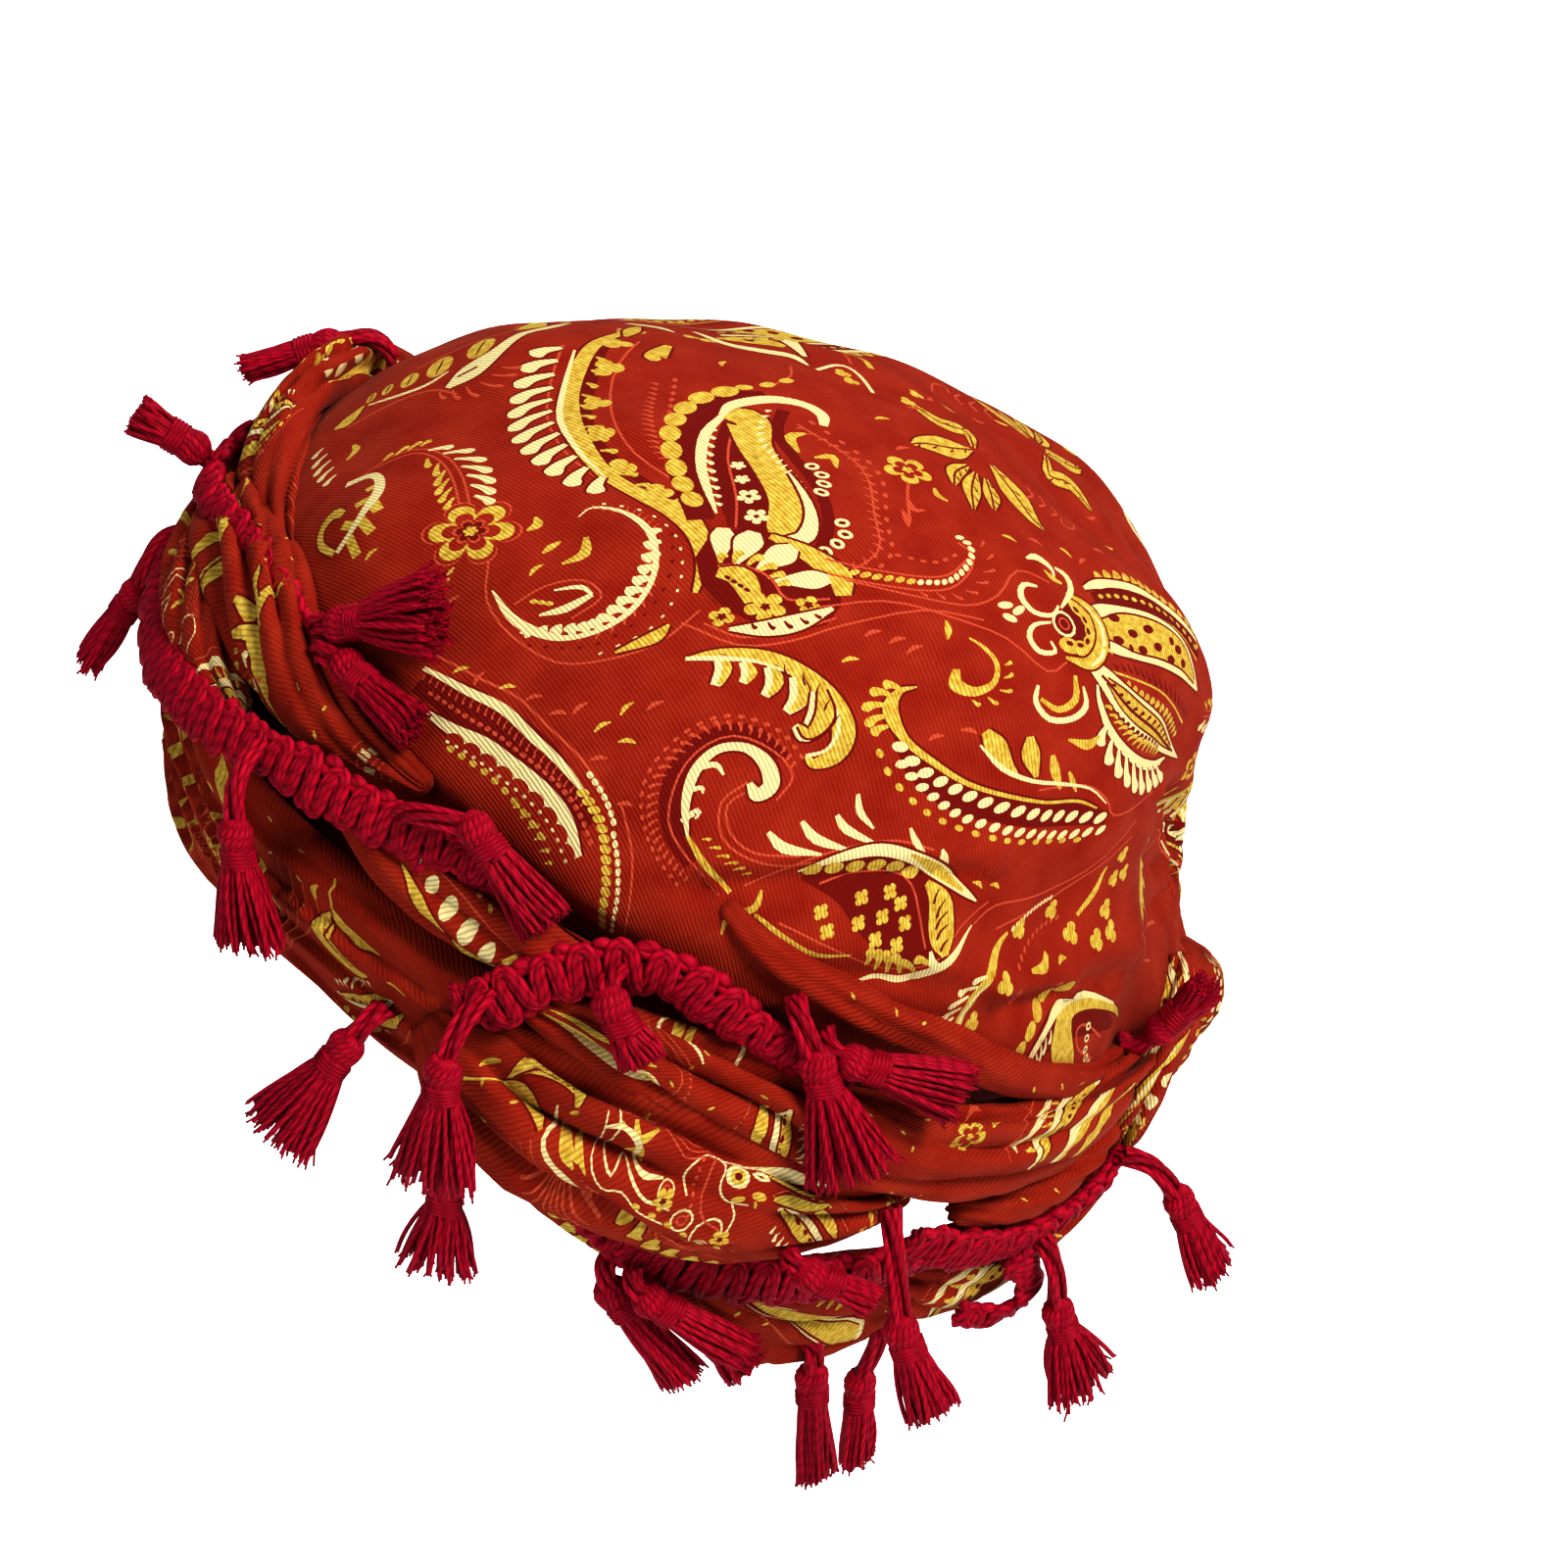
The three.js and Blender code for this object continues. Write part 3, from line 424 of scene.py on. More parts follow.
# Each motif is drawn where it lies on the crown's flat cloth: x runs from the front of the head to
# the back and y across it, with the wearer's left at -y, both from the top. Its home is the middle
# that it turns about elsewhere. The motifs without one are for the rolls and the wrap alone.
MOTIFS = read_motifs("""
# A long gold crescent with club spikes outside it and blossoms inside.
motif spiked_crescent -76 -24
dark 2.2: -80 10, -83 -14, -80 -32, -71 -44, -60 -52
fine .5: -75 8, -79 -10, -77 -26, -71 -38, -60 -47; -88 2, -90 -12, -89 -26, -84 -38, -77 -46, -68 -53
comb fine .8 20 2.6 70: -72 -10, -72 -25, -68 -37, -60 -45
beads fine dot 1 14: -68 -8, -67 -25, -63 -35, -57 -42
gold: -78 14 1.8, -83 2 2.6, -86 -12 3.2, -85.5 -23 4, -82 -34 4, -75 -45 3.2, -66 -52 3.4,
 -59 -55.5 5, -53.5 -61 4, -50 -68 2.4, -48.5 -76 1
cream: -86 0 .5, -87.5 -14 1.1, -86.5 -27 1.3, -81 -38.5 1, -75 -46 .5
comb gold 1.6 14 3.4 62: -82 0, -84 -20, -79 -35, -68 -49, -58 -53
comb cream 3.4 12 10 -64: -88 3, -89.5 -12, -87.5 -28, -80 -42, -73 -48
flower gold 6 3: -81 -20, -78.5 -32, -72.5 -43, -64 -50, -80 -6, -79 5, -77 16
gold: -71 -1 1, -72 0 4, -70 8 1.4

# The largest paisley: a curled gold drop round a dark leaf with star flowers.
motif great_comma -47 -38
dark: -52 -9 2, -60 -15 5, -63 -28 6, -61 -42 6, -54 -57 5
comb fine .7 22 3 70: -46 -19, -33 -27, -27 -41, -23 -52, -28 -62
fine .45: -45 -18, -31.5 -27, -25.5 -41, -21.5 -52, -26 -63
beads fine dot 1 16: -44 -15, -29 -26, -23 -41, -19 -52, -23 -64
beads gold petal 4.4 9: -57 -9, -64 -17, -66 -30, -62 -43, -56 -53
dark: -57 -22 2, -53 -36 9, -46 -50 12, -45 -57 8
fine .5: -56 -24, -54.5 -36, -50 -48, -47.5 -57; -55 -24, -50 -36, -43 -47, -41 -57
dark 2.4: -48 -14, -48 -22, -43 -31, -36 -41, -32 -50, -31.5 -57
cream: -58 -19 1.2, -60 -28 2, -59 -38 2, -56 -46 1.6, -52 -54 .5
comb cream 1.1 10 3 60: -60 -24, -59 -38, -53 -52
gold: -58 -20 2, -54 -20 8, -51 -29 6.5, -46 -38 6, -41 -46 7, -38.5 -53 8.5, -38 -57.5 6
comb cream .9 22 2.2 -62: -50 -14, -50 -24, -44 -34, -37 -44, -34 -55
cream: -58.5 -20 1.2, -57 -15.5 2.4, -51 -11 2.8, -45 -10 2.4, -41.2 -12 2.6, -40.3 -16 1.6;
 -43 -37 .5, -36.5 -47 2, -35 -54 3.4, -38 -57 2
flower cream 4.6 5: -48 -47, -45 -52.5
flower cream 3 5: -50.5 -42, -52.3 -37.5
flower dark 1.2 5: -48 -47, -45 -52.5
beads cream ring 2.6 4: -41 -31, -37 -35, -36 -42; -31 -46, -28.5 -51, -31 -58
gold: -43 -20.5 .6, -45.5 -23 2.2, -43 -28 .6; -40 -28.5 .6, -37 -26.5 2, -35.5 -30 .5

# A half-opened flower of cream petals below the great comma.
motif fan -37 -70
oval dark: -37 -68 31 23 -25
fine .5: -48 -84, -36 -86, -27 -81, -20 -73, -8 -62, 4 -56; -44 -83, -36 -84, -28 -79, -22 -72
gold: -41 -57 1.5, -33 -58.5 4, -26 -61.5 5, -23 -66 3
cream: -47 -67 .8, -48.625 -61.15 4.4, -49.5 -58 2.4; -44 -67 .8, -44 -60.5 5.4, -44 -57 2.4;
 -40 -67 .8, -37.4 -61.15 5.6, -36 -58 2.4; -36 -68.5 .8, -30.15 -64.925 5, -27 -63 2.4
comb gold 2 6 4.2 84: -48 -68, -42 -66.5, -34 -70
fine .6: -47 -68.5, -43 -67, -37 -68, -32 -72, -25 -68
gold: -46.5 -70 2.4, -42 -70 5, -37.5 -75 3.4
beads dark dot .9 4: -45 -70.5, -39 -73
flower gold 8 5: -35 -75.5
flower gold 5 4: -28 -71.5, -41.5 -80.5
flower dark 2 5: -35 -75.5, -28 -71.5, -41.5 -80.5
cream: -39 -83 .8, -33 -80.5 3.6, -28 -76.5 4, -23.5 -70 1
comb dark 1 5 2.4 -70: -37 -81, -30 -77, -25 -72

# A cream crescent with seed beads round it and a small bud inside.
motif bead_crescent -69 -77
fine .5: -90 -72, -88 -83, -80 -92, -68 -98, -58 -96, -50 -90, -46 -80
comb fine .5 15 6 55: -62 -66, -60 -78, -64 -87, -74 -89
comb fine .5 10 3 -75: -75 -56, -66 -56.5, -60 -61
cream: -87.5 -80.5 .4, -82 -87 1.8, -76 -90.5 2.2, -69 -92 1.5, -62.5 -89.5 1.2, -58.5 -84 1.3,
 -57.3 -76 1.1, -58.5 -69 1.2, -62 -62.5 1.4, -68 -58 1, -74 -57 .6, -76 -60 .3
comb cream 2.7 15 4.6 -76: -60 -60.5, -57 -73, -58.5 -84, -64 -91, -78 -92.5
beads dark dot .7 14: -58 -61, -54.6 -73, -56 -85.5, -63 -93.5, -77 -94.5
beads cream dot .6 16: -74 -55.5, -64 -57.5, -56 -64, -52 -75, -53 -87, -61 -96
gold: -50 -85 .6, -51.5 -89 3, -57 -94 .6
cream: -76 -86.5 .6, -71 -84.5 2.2, -67 -80.5 1.2; -75 -80 .5, -70 -78.8 1.2, -67 -80.5 .7
fine .5: -82 -84, -77 -79, -70 -77, -65 -81, -69 -87
beads gold dot 1.2 3: -79 -83, -74 -83.5
gold: -75.5 -73 .6, -72 -70 2.4, -73 -65.5 1; -84 -60.5 .6, -83 -62.5 2, -84.5 -64.5 .6; -77.5 -67 .6,
 -79 -68.8 1.6, -80 -70.5 .5

# A six-petalled flower drawn in gold outline.
motif rosette -95 -65
flower fine 19.6 6: -95 -65
flower ground 18.6 6: -95 -65
flower gold 16.6 6: -95 -65
flower ground 11.4 6: -95 -65
flower fine 7.2 6: -95 -65
flower dark 5.8 6: -95 -65
flower gold 3 6: -95 -65

# A stem with slim leaflets on both sides.
motif leaf_spray -106 -43
fine .5: -126 -37, -119 -32, -112 -32, -106 -38, -101 -47, -97 -57; -122 -35, -114 -33, -108 -38,
 -103 -47, -99 -57
comb cream 2.1 7 8 38: -113 -31.5, -106 -37, -101 -45, -96 -56
comb gold 1.6 6 6.5 -34: -112 -35, -106 -42, -100 -56
comb gold 1.5 4 4 40: -122 -33, -112 -30

# A cream and gold scroll with square teeth.
motif toothed_scroll -123 -53
gold 2.4: -121.5 -61, -118.8 -67; -119 -57, -115.5 -62; -118 -51, -115 -56; -120 -58.5, -124 -56;
 -118 -50, -121.5 -51.5; -118.5 -44, -121 -45.5
gold: -126 -63 1.6, -130.5 -58 2, -131 -53 2.2, -128 -50 3.4, -124.6 -52 2
cream: -128.5 -37.5 2.4, -122 -38 2, -118.5 -44 2.2, -117.6 -51 2.6, -120 -58 1.8, -125 -63.2 1.6

# A curled acanthus leaf with hanging lobes.
motif plume -24 -95
gold: -43.5 -92.3 .6, -38 -89 2.2, -30 -86.6 3, -22 -87 3.4, -14 -90 4.2, -8 -95 4.6, -6.4 -100 4,
 -9 -103.6 2.4, -11.5 -103 .8
lobe: -38 -89.5 1, -35.6 -92 2.4, -35.2 -96 1.4; -33 -89 1, -30.8 -91 2.2, -30.8 -93.5 1; -28 -88 1.4,
 -25.4 -91 2.8, -25.6 -94.5 1.2; -22.5 -88 1.6, -19.4 -92 3.4, -20 -96 1.4; -17 -89 2, -13.6 -94 4.8,
 -14 -98.6 3, -17 -98 .8
cream: -43.5 -92.3 1, -38 -90.3 1.2, -31 -88.2 .8, -24 -88 .4; -12 -91 .4, -9 -95.5 .9, -8.6 -100 .8,
 -11.5 -103 1
comb dark .5 5 3.5 -60: -28 -86.5, -18 -87.5, -9 -93.5

# A cream hook edged with fine lace, on a gold stem.
motif lace_hook -20 -119
dark: -15 -105 2, -25 -104 5, -31.5 -110 6, -32 -119 6, -27 -128 5, -20 -133 3
comb fine .9 30 2.8 -75: -12 -107, -20 -103.6, -30 -105, -34 -112, -34.5 -121, -29 -130, -18 -136
beads fine dot .9 26: -11 -104, -20 -100.4, -31 -102, -37.6 -111, -38 -122, -31 -132, -19 -139
fine .5: -11.5 -114, -11.5 -108, -18 -104.8, -27 -105, -32 -111, -32 -120, -27 -129, -10 -137;
 -19 -113, -21.5 -119, -17 -125.5, -9 -127, 0 -124.5, 10 -116; -17.5 -114, -20 -119, -16 -124, -9 -125.5,
 0 -122
cream: -24 -128 .6, -28 -122 1.8, -30 -115 2.3, -28.5 -109 2, -23.5 -106.4 2, -18 -107.8 3,
 -14.4 -111.6 3.4, -15.8 -114.6 3, -18.6 -113 1.2; -30 -114 1.4, -27 -112 1.3, -24.3 -113.4 .5;
 -29 -119 1.2, -27 -117.5 1, -26 -118.5 .4; -27 -125.5 1, -25 -122.3 1.6, -24.4 -124 .5
gold: -24 -128 .8, -17 -132 1.5, -8 -135.5 1
comb gold .8 6 3 50: -22 -127, -14 -130, -7 -131

# A long curved frond: gold spine, rows of cream beads, gold leaflets outside.
motif fern 28 -88
dark: 0 -88 2, 10 -93.5 6, 24 -93.5 7, 40 -86 7, 52 -77 6, 61 -70.5 3
fine .5: 38 -81, 48 -71, 56 -68.4, 62 -68.5, 68 -60, 72 -50
gold: 0 -78 .4, -2.6 -81 1.6, -2 -86 3.6, 4 -90 2, 12 -91 1.6, 22 -90.3 1.2, 32 -87 1, 42 -81.5 .8,
 50 -74.5 .8, 56 -71.5 .5
comb gold 2.3 5 6 -75: -2.5 -79, -3 -85, 0 -90.5
beads cream bead 3.1 15: 2 -91.5, 11 -93.8, 21 -92.8, 32 -90, 43 -84.5, 53 -77, 61 -70.5
beads cream bead 2.5 18: 5 -94.6, 14 -96.8, 26 -96.6, 37 -93, 47 -87.4, 56 -80.5, 64 -71.5
beads gold dot 1.5 15: -1 -94.5, 8 -99, 19 -100.5, 31 -98, 43 -92.5, 53 -85, 62 -77
gold: 17.8 -79 2, 22 -80.2 4.6, 27 -81.6 2.6, 31 -82 .6; 27 -73.6 1.8, 30 -76.6 4.6, 35 -79.4 1.2;
 34.6 -73 1.2, 38 -75 2.8, 43 -76.6 .7; 41.5 -72.4 .8, 44.5 -73 1.5, 47.5 -73.6 .4
cream: 19 -82 .5, 27 -83 1.2, 35 -80.6 1, 43 -75 .9, 50 -70.4 .6, 57 -69 .4

# A seed pod under a horned cream leaf.
motif horned_pod 22 -121
dark: 4 -125 3, 16 -119 16, 30 -119 20, 42 -120 14, 47 -122 3
fine .5: -6 -133, 2 -122, 9 -115, 17 -109, 26 -106; 9 -125, 16 -118, 26 -113.5, 34 -117, 41 -122;
 52 -104, 48 -113, 45 -123, 36 -131, 22 -134, 6 -136
cream: 3 -105 .8, 6 -108 1.6, 11 -109.5 .6; 2 -111 1, 6 -112.6 2, 14 -112 .6; -4 -115.6 1,
 1 -117.4 2.2, 9 -116 .6; -9 -120.6 1, -4 -122 2.3, 4 -119.6 .6; 18 -105.2 .6, 21 -107 1.6, 25 -108 .6;
 27.5 -104.8 .6, 30 -106 2, 34 -107 .6; 2.5 -125 .6, 8 -118.5 2.2, 15 -112.5 2.8, 24 -109.6 2.8,
 34 -108 3.4, 42 -107.3 2, 48 -106.4 .4
gold: 22 -109.6 .5, 32 -108.2 2.4, 42 -107.3 .8
beads gold petal 3.4 6: 3 -124.5, 11 -119.5, 20 -114, 29 -111.5
gold: 32 -111.5 1.6, 38 -113 6, 44 -117.5 7.4, 47 -120 2
comb dark .8 5 5 -70: 34 -110.5, 41 -112.5, 47 -118
flower gold 3.8 4: 29 -118.5, 33 -121, 27 -123, 22.5 -127, 19.5 -122.5, 34 -125.5, 25 -118, 13 -129.5,
 17 -132, 28.5 -127.5
comb gold 2.2 6 7 -62: 45 -122, 42.5 -128, 36 -132, 30 -133
cream: 51.5 -110.5 .5, 50 -117 1.6, 47 -124 2.6, 42.5 -130 1.8, 37 -133 1.2, 33 -137 .5;
 42.5 -121.6 .8, 45 -123 2, 47.5 -122.6 1.6
gold: 0 -137 .8, 10 -138 1.3, 19 -137.2 1.1, 26 -133 .5
cream: 13 -139 1, 16 -141.5 2, 20 -142.5 .6
gold: -2 -132 .6, -1 -136 1.8, -5 -140 1.4, -4 -144 .5

# A ring with scrolls on one side and seeded wings on the other.
motif seed_medallion 38 -42
fine .5: 13 -35.6, 5 -39, 4 -48, -1 -55, -12 -60, -24 -62; 25 -51, 22 -57.5, 10 -57, -2 -60, -16 -64,
 -26 -71
comb gold 2.6 13 5 58: 24 -22, 29 -16.5, 37 -10.5, 47 -4.5, 59 0
cream: 22 -27 1, 25 -22 2.6, 30 -17 3, 38 -10.8 3, 48 -5 2.8, 60 -1 1.4
dark: 25 -27.5 2.6, 31 -20.5 5, 41.5 -13 5.6, 51 -8 5.4, 62 -4.5 3
beads gold petal 1.5 14: 26 -26, 31.5 -19.8, 41.5 -12.4, 51 -7.4, 61 -4.4
gold .6: 27.5 -27.5, 33.5 -21.5, 43 -14.8, 52.5 -10, 62 -7
cream: 26.5 -38 6, 30.5 -34 13, 37 -28 14, 45 -21.5 13.4, 53 -17 11.6, 60 -14.6 7.4, 67 -13 .6
gold: 30.5 -34.4 5, 37 -28 9.6, 45 -21.3 9.4, 53 -16.8 7.6, 59.5 -14.8 4, 64 -13.6 .6
oval dark: 32 -28 4.4 2.3 48, 35 -33.6 4.6 2.3 48, 38.5 -26.8 4 2.3 48, 42 -21 3.8 2.3 48,
 43 -28 3.8 2.3 48, 46.6 -22.6 3 2.3 48, 51.8 -21.3 3 2.3 48, 52.4 -16.6 3.2 2.3 48, 56 -17.4 2.6 2.3 48,
 49.4 -17 2 2.3 48, 39.5 -31.6 2 2.3 48
comb dark 1.3 15 3.4 -62: 35 -42.4, 41.5 -35.8, 52 -28.2, 61 -23.5, 69 -19
gold .6: 35.5 -44.6, 43 -39, 53 -31.6, 62 -27, 71 -22
comb gold 1.7 13 4.2 62: 41 -43.6, 50 -40.2, 59 -35, 72 -27.5
cream: 30 -48 3, 35 -47.6 6, 42 -47 8.4, 51 -44 9.2, 63 -37.2 7.6, 73 -31 4, 80 -26.5 .5
gold: 36 -47.4 1, 43 -46.2 4.6, 52 -43 5, 63 -36.8 4, 73 -30.6 .8
comb dark .9 12 3.6 55: 36 -47.6, 44 -47, 53 -43.6, 72 -31.6
dark .9: 34 -47.8, 44 -46.6, 53 -43.2, 64 -36.8, 75 -29.6
comb dark 1.2 12 5 60: 38 -53.6, 46 -53, 56.5 -49, 66 -41
comb gold 1.2 13 5.6 48: 37 -53.8, 45 -54, 56 -50.4, 67 -41.4
cream: 34 -51 .8, 37 -54.4 1.8, 42.6 -56.6 2.6, 51 -55.6 3, 60 -51.6 3, 67.4 -44.4 2.4, 72 -36 .6
comb cream 3.8 9 8 -66: 40 -57, 46 -58, 55 -55.6, 63 -50.6, 70 -41.6
gold: 41.8 -60.5 .6, 40.6 -64.5 2.5, 35.5 -67.4 .6
oval dark: 24.2 -41.6 12.5 16.5 6
beads gold petal 4.6 6: 20 -35.8, 24.5 -36.2, 27.6 -40, 27.4 -45, 22 -48.8
beads dark dot 1.3 6: 20 -36.4, 24.3 -37, 26.8 -40.6, 26.6 -44.6, 22 -48.2
gold: 17.6 -34.4 .6, 22 -32.6 1.8, 26.6 -32.8 3, 30.4 -37.4 3.8, 31.2 -43 3.8, 29.4 -48.4 3,
 24 -51.4 .8
cream: 24 -32.4 .5, 28.6 -34 1.1, 31.4 -38.6 1.3, 32 -43.4 1.2, 30.4 -48.4 .5
oval cream: 20 -43.6 7 7 0
oval dark: 20 -43.6 5.4 5.4 0
oval fine: 20 -43.6 3.4 3.4 0
oval dark: 20 -43.6 2.4 2.4 0
cream: 17 -40 .7, 16.5 -44 1.1, 12.5 -46.6 1.3, 8.4 -45 1.5, 7.6 -41.6 1.3, 10.5 -39.6 .7; 17 -46 .6,
 14 -49.5 1.1, 14.4 -53 1.4, 18 -54.6 1.4, 21.2 -52 1.1, 19 -50.4 .6; 5.8 -33.4 .6, 8 -30.6 2.2,
 12 -30.4 1.6, 13.6 -32.4 .6; 13 -29.2 .8, 16.6 -28.6 2, 18.8 -32 1.9, 17.8 -40 .7
gold: 10.6 -33 .6, 13 -33.4 1.6, 16 -32.4 .8
oval cream: 6.4 -49.2 3.6 1.9 40, 8.6 -51.6 3.6 1.9 10, 9.4 -48.6 3.6 1.9 70
cream: 21.8 -62 .8, 23.4 -66 1.6, 28.5 -67 1.5, 33 -63 1.5, 34 -58 1.6, 31 -54.4 .6
gold: 24 -64.5 1, 29 -63.6 1.6, 31 -58.6 1.8, 28 -53.6 1

# A little gold outline flower with a bent stem.
motif small_flower -22 -28
flower gold 10 5: -23 -23
flower ground 6.2 5: -23 -23
flower gold 2.4 5: -23 -23
fine .6: -22 -28, -21 -33, -18.6 -39.5
gold: -17 -26 .6, -16 -28 1.5, -13.6 -28.6 .5
fine: -21 -33 .6, -19 -35.6 1.2, -17 -34.6 .4; -21 -37 .4, -19.4 -39 1.5, -18.4 -41 .4

# Gold lobed leaves spread from one stem.
motif leaf_cluster -8 -9
leaf: -11 0 1, -16 -5.5 7.5, -21 -9 5, -23.5 -11.5 1; -6 -2 1.5, 0 -9 7, 5 -15.5 4, 8.5 -17.5 .8;
 -11.5 -9 1, -13.8 -15 4, -13.4 -20.5 1; -9.5 -10 1, -9.6 -18 4.4, -8 -26.5 .6; -7 -10 1, -5 -16 4,
 -3.8 -21.5 1; -25 10 1, -18 6 5, -12 9 4, -10.5 2 1.2
hatch fine .6 3: 3 -2, 4.6 -4.6, 3 -7.6, 10 -2, 11.6 -4.6, 10 -7.6
fine .5: 13 -5, 13.4 -8, 16.6 -6, 17.6 0

# A curved row of square beads between fine lines.
motif bead_arc -14 -51
fine .5: -28 -61.8, -19 -60.6, -11 -57.8, -5.4 -52.8, -3.4 -45.8, -4.6 -40.8, -8.4 -39.4; -29.6 -58.3,
 -20.6 -57.1, -12.6 -54.3, -7 -49.3, -5 -42.3
beads gold bead 1.9 8: -29 -60, -20 -58.8, -12 -56
beads cream bead 1.6 13: -12 -56, -6.4 -51, -4.4 -44, -5.6 -39, -9.4 -37.6
comb fine .8 8 3 -50: -12 -59, -3 -52, -1 -42, -5 -36
beads fine dot .9 6: -19 -51, -11 -48, -7 -42

# A small gold crescent with ticks outside.
motif small_crescent 8 -68
gold: 4.4 -70.6 1.4, 6.4 -73.6 2.8, 10.4 -73 2.2, 12.6 -69 1.4, 11 -64.6 1.2, 7 -62.8 1, 3 -62.6 .5
comb gold 1 5 3.2 -60: 10 -76, 14.6 -70, 12 -62
gold: -3 -61.6 .4, -1.6 -63.4 1.6, -.6 -65.6 .4

# Wide concentric arcs with lace between them and beads at their end.
motif great_arcs -62 -124
dark: -97 -103 6, -80 -111.5 9, -62 -121 9, -46 -133 6
fine .6: -95 -97, -83 -103, -73 -107, -63 -113, -53 -119, -46 -124
comb fine .6 26 2.6 -80: -97 -101, -85 -107, -75 -111, -65 -117, -55 -123, -48 -128
cream: -97 -100 1, -85 -106 1.8, -75 -110 2.2, -65 -116 2, -55 -122 1.6, -48 -127 .6; -96.4 -109.2 .8,
 -85.4 -115.2 2.6, -76.4 -119.2 4.6, -67.4 -123.7 5, -58.4 -128.2 5, -51.4 -133.2 4.6, -45 -139.8 2.4
beads ground dot 3.5 9: -86.2 -117, -77.2 -121, -68.2 -125.5, -59.2 -130, -52.2 -135, -45.8 -141.6
beads cream dot .8 17: -86.8 -117.6, -77.8 -121.6, -68.8 -126.1, -59.8 -130.6, -52.8 -135.6, -46.4 -142.2
beads fine dot 1.1 26: -94.2 -106, -83.2 -112, -74.2 -116, -65.2 -120.5, -56.2 -125, -49.2 -130,
 -42.8 -136.6
beads gold dot 1.5 10: -86 -119, -70 -127, -54 -138
beads cream dot 1.3 7: -51 -121, -45 -125.6, -40 -131
beads gold bead 2.4 15: -51 -125, -43.6 -131, -38.6 -138, -34.6 -146, -32 -156
beads cream dot 1.3 12: -40 -132, -35 -139, -31 -147, -29 -156
fine .5: -41 -126, -33 -136, -27.6 -147, -25 -156
comb gold 1.2 6 3 70: -66 -131, -58 -137, -51 -144

# A gold comma that runs into the knot.
motif knot_comma 104 -101
dark: 120 -80 2, 104 -94 8, 96 -107 8, 99 -121 4
gold: 126 -72 .8, 112 -82 2, 102 -91 3.6, 98.4 -97.5 5.6, 102 -103 9, 109 -103 6.4, 115 -101.6 1.2
cream: 113 -80 .6, 101 -90 1.4, 95.6 -99 2, 94.4 -108 2, 96.4 -116 2, 102 -122 1
comb cream 1.2 7 5 60: 96 -104, 96 -111, 99.6 -119
beads gold petal 3.8 6: 92 -94, 89.4 -104, 90 -114, 93 -123
fine .6: 116 -88, 107 -93, 105 -97, 110 -98, 118 -93
beads cream ring 2 5: 107 -91.6, 113 -95.6, 119 -94.6

# A leafy stem with gold buds along it.
motif stem 70 -106
gold: 64 -104 .8, 62.4 -112 2.4, 63.6 -121 2.8, 67 -128 2, 69.6 -129.4 .6
cream: 63.4 -116 .4, 64.4 -123 1.3, 68 -128.6 .6
comb cream 1.7 5 6 -38: 61.6 -114, 62 -122, 64 -128
fine .5: 52 -110, 55 -103, 62 -96, 69 -88, 73 -78, 73 -60; 60 -106, 66 -97, 72 -88, 75 -76, 77 -62
beads cream bead 1.2 12: 64.6 -103, 67 -96, 72 -88
beads fine bead 1.2 10: 71 -108, 73 -98, 79 -88
flower gold 5 3: 67 -101, 67.6 -113, 70 -123.6, 75 -89.6, 84 -88, 91 -82.6, 94 -77, 89 -75.6
gold: 79 -97.6 1.4, 78.6 -101 2, 75 -104.8 .8
comb fine 1 5 2.4 70: 73 -111, 80 -112.6

# Gold leaves toward the back edge of the crown.
motif edge_leaf 94 -65
gold: 78 -72 .8, 81.6 -77 2, 82.6 -84 1
flower gold 4.6 3: 80 -66, 87 -65.6, 84.6 -70
gold: 88 -52 .6, 97 -48 2, 106 -52.6 4.6, 109.6 -59 1
comb gold 1.6 5 6 55: 95 -50, 103 -50.6, 109 -56
fine .6: 110 -52, 122 -45, 128 -34; 106 -64, 117 -62, 125 -52

# A long cream leaf over a row of gold bars.
motif long_leaf -112 3
cream: -110 -7.4 1.6, -105.4 -3.4 6, -99.4 2.6 3, -95 11.6 2.2, -91 20 2.2, -87.6 28 .6
beads dark dot .8 5: -108 -4, -104 -2.4
oval gold: -112 4 5.6 9 -14
oval dark: -112 4 .5 7.2 -14
oval gold: -103.4 6.4 5.4 10 -14
oval dark: -103.4 6.4 .5 8 -14
oval gold: -118.6 3 4 6.6 -14
oval dark: -118.6 3 .5 5.28 -14
oval gold: -123.6 3 2.6 5 -14
oval dark: -123.6 3 .5 4 -14
oval gold: -127.4 2.6 2.2 5 -14
oval dark: -127.4 2.6 .5 4 -14
cream: -128 -1 .6, -121 -3 1.2, -115 -3 1.2, -110 0 .6
gold: -136 -5 1, -133 -4 4, -129 0 1; -97 17 1.4, -94.6 22 4.6, -93.6 30 2.4, -93.4 40 1.2
fine .6: -133 -7, -124 -6, -114 -6, -108 -11; -117 8, -107 11, -99 16, -97 26
comb fine 1 6 6 -70: -113 -8, -104 -9, -98 -4
comb cream 1.8 5 6 -60: -139 -10, -135 -22, -132 -32
gold: -131 -24.6 .8, -129.4 -21 2, -130.6 -17.4 .8

# Leaves and arches along the top ridge.
motif ridge_leaves -53 20
cream: -65 30 1, -60 20.4 2.6, -53 17.6 3.2, -47.6 16.6 2.6, -44.6 12.6 .8
gold: -61 25 1.6, -54 25.6 5.6, -48.4 22.6 2
oval dark: -55 26 2 3.4 20
cream: -77 39 1.4, -72.6 31 3.6, -69 22.6 .8; -47 40 4, -47.4 29 3.6, -45 18 1
gold: -77.6 10.6 .8, -76.6 16.6 3, -75.4 24 .8
cream .9: -43 11, -39.6 16.6, -36.6 17.6, -34 14, -32 8
flower gold 3.6 3: -66 20.6, -63 20, -38 13.6, -36.4 10.6, -25 10, -23 16
gold 1.4: -35 40, -33 30, -32 21
fine .6: -38 40, -37 30, -36 20
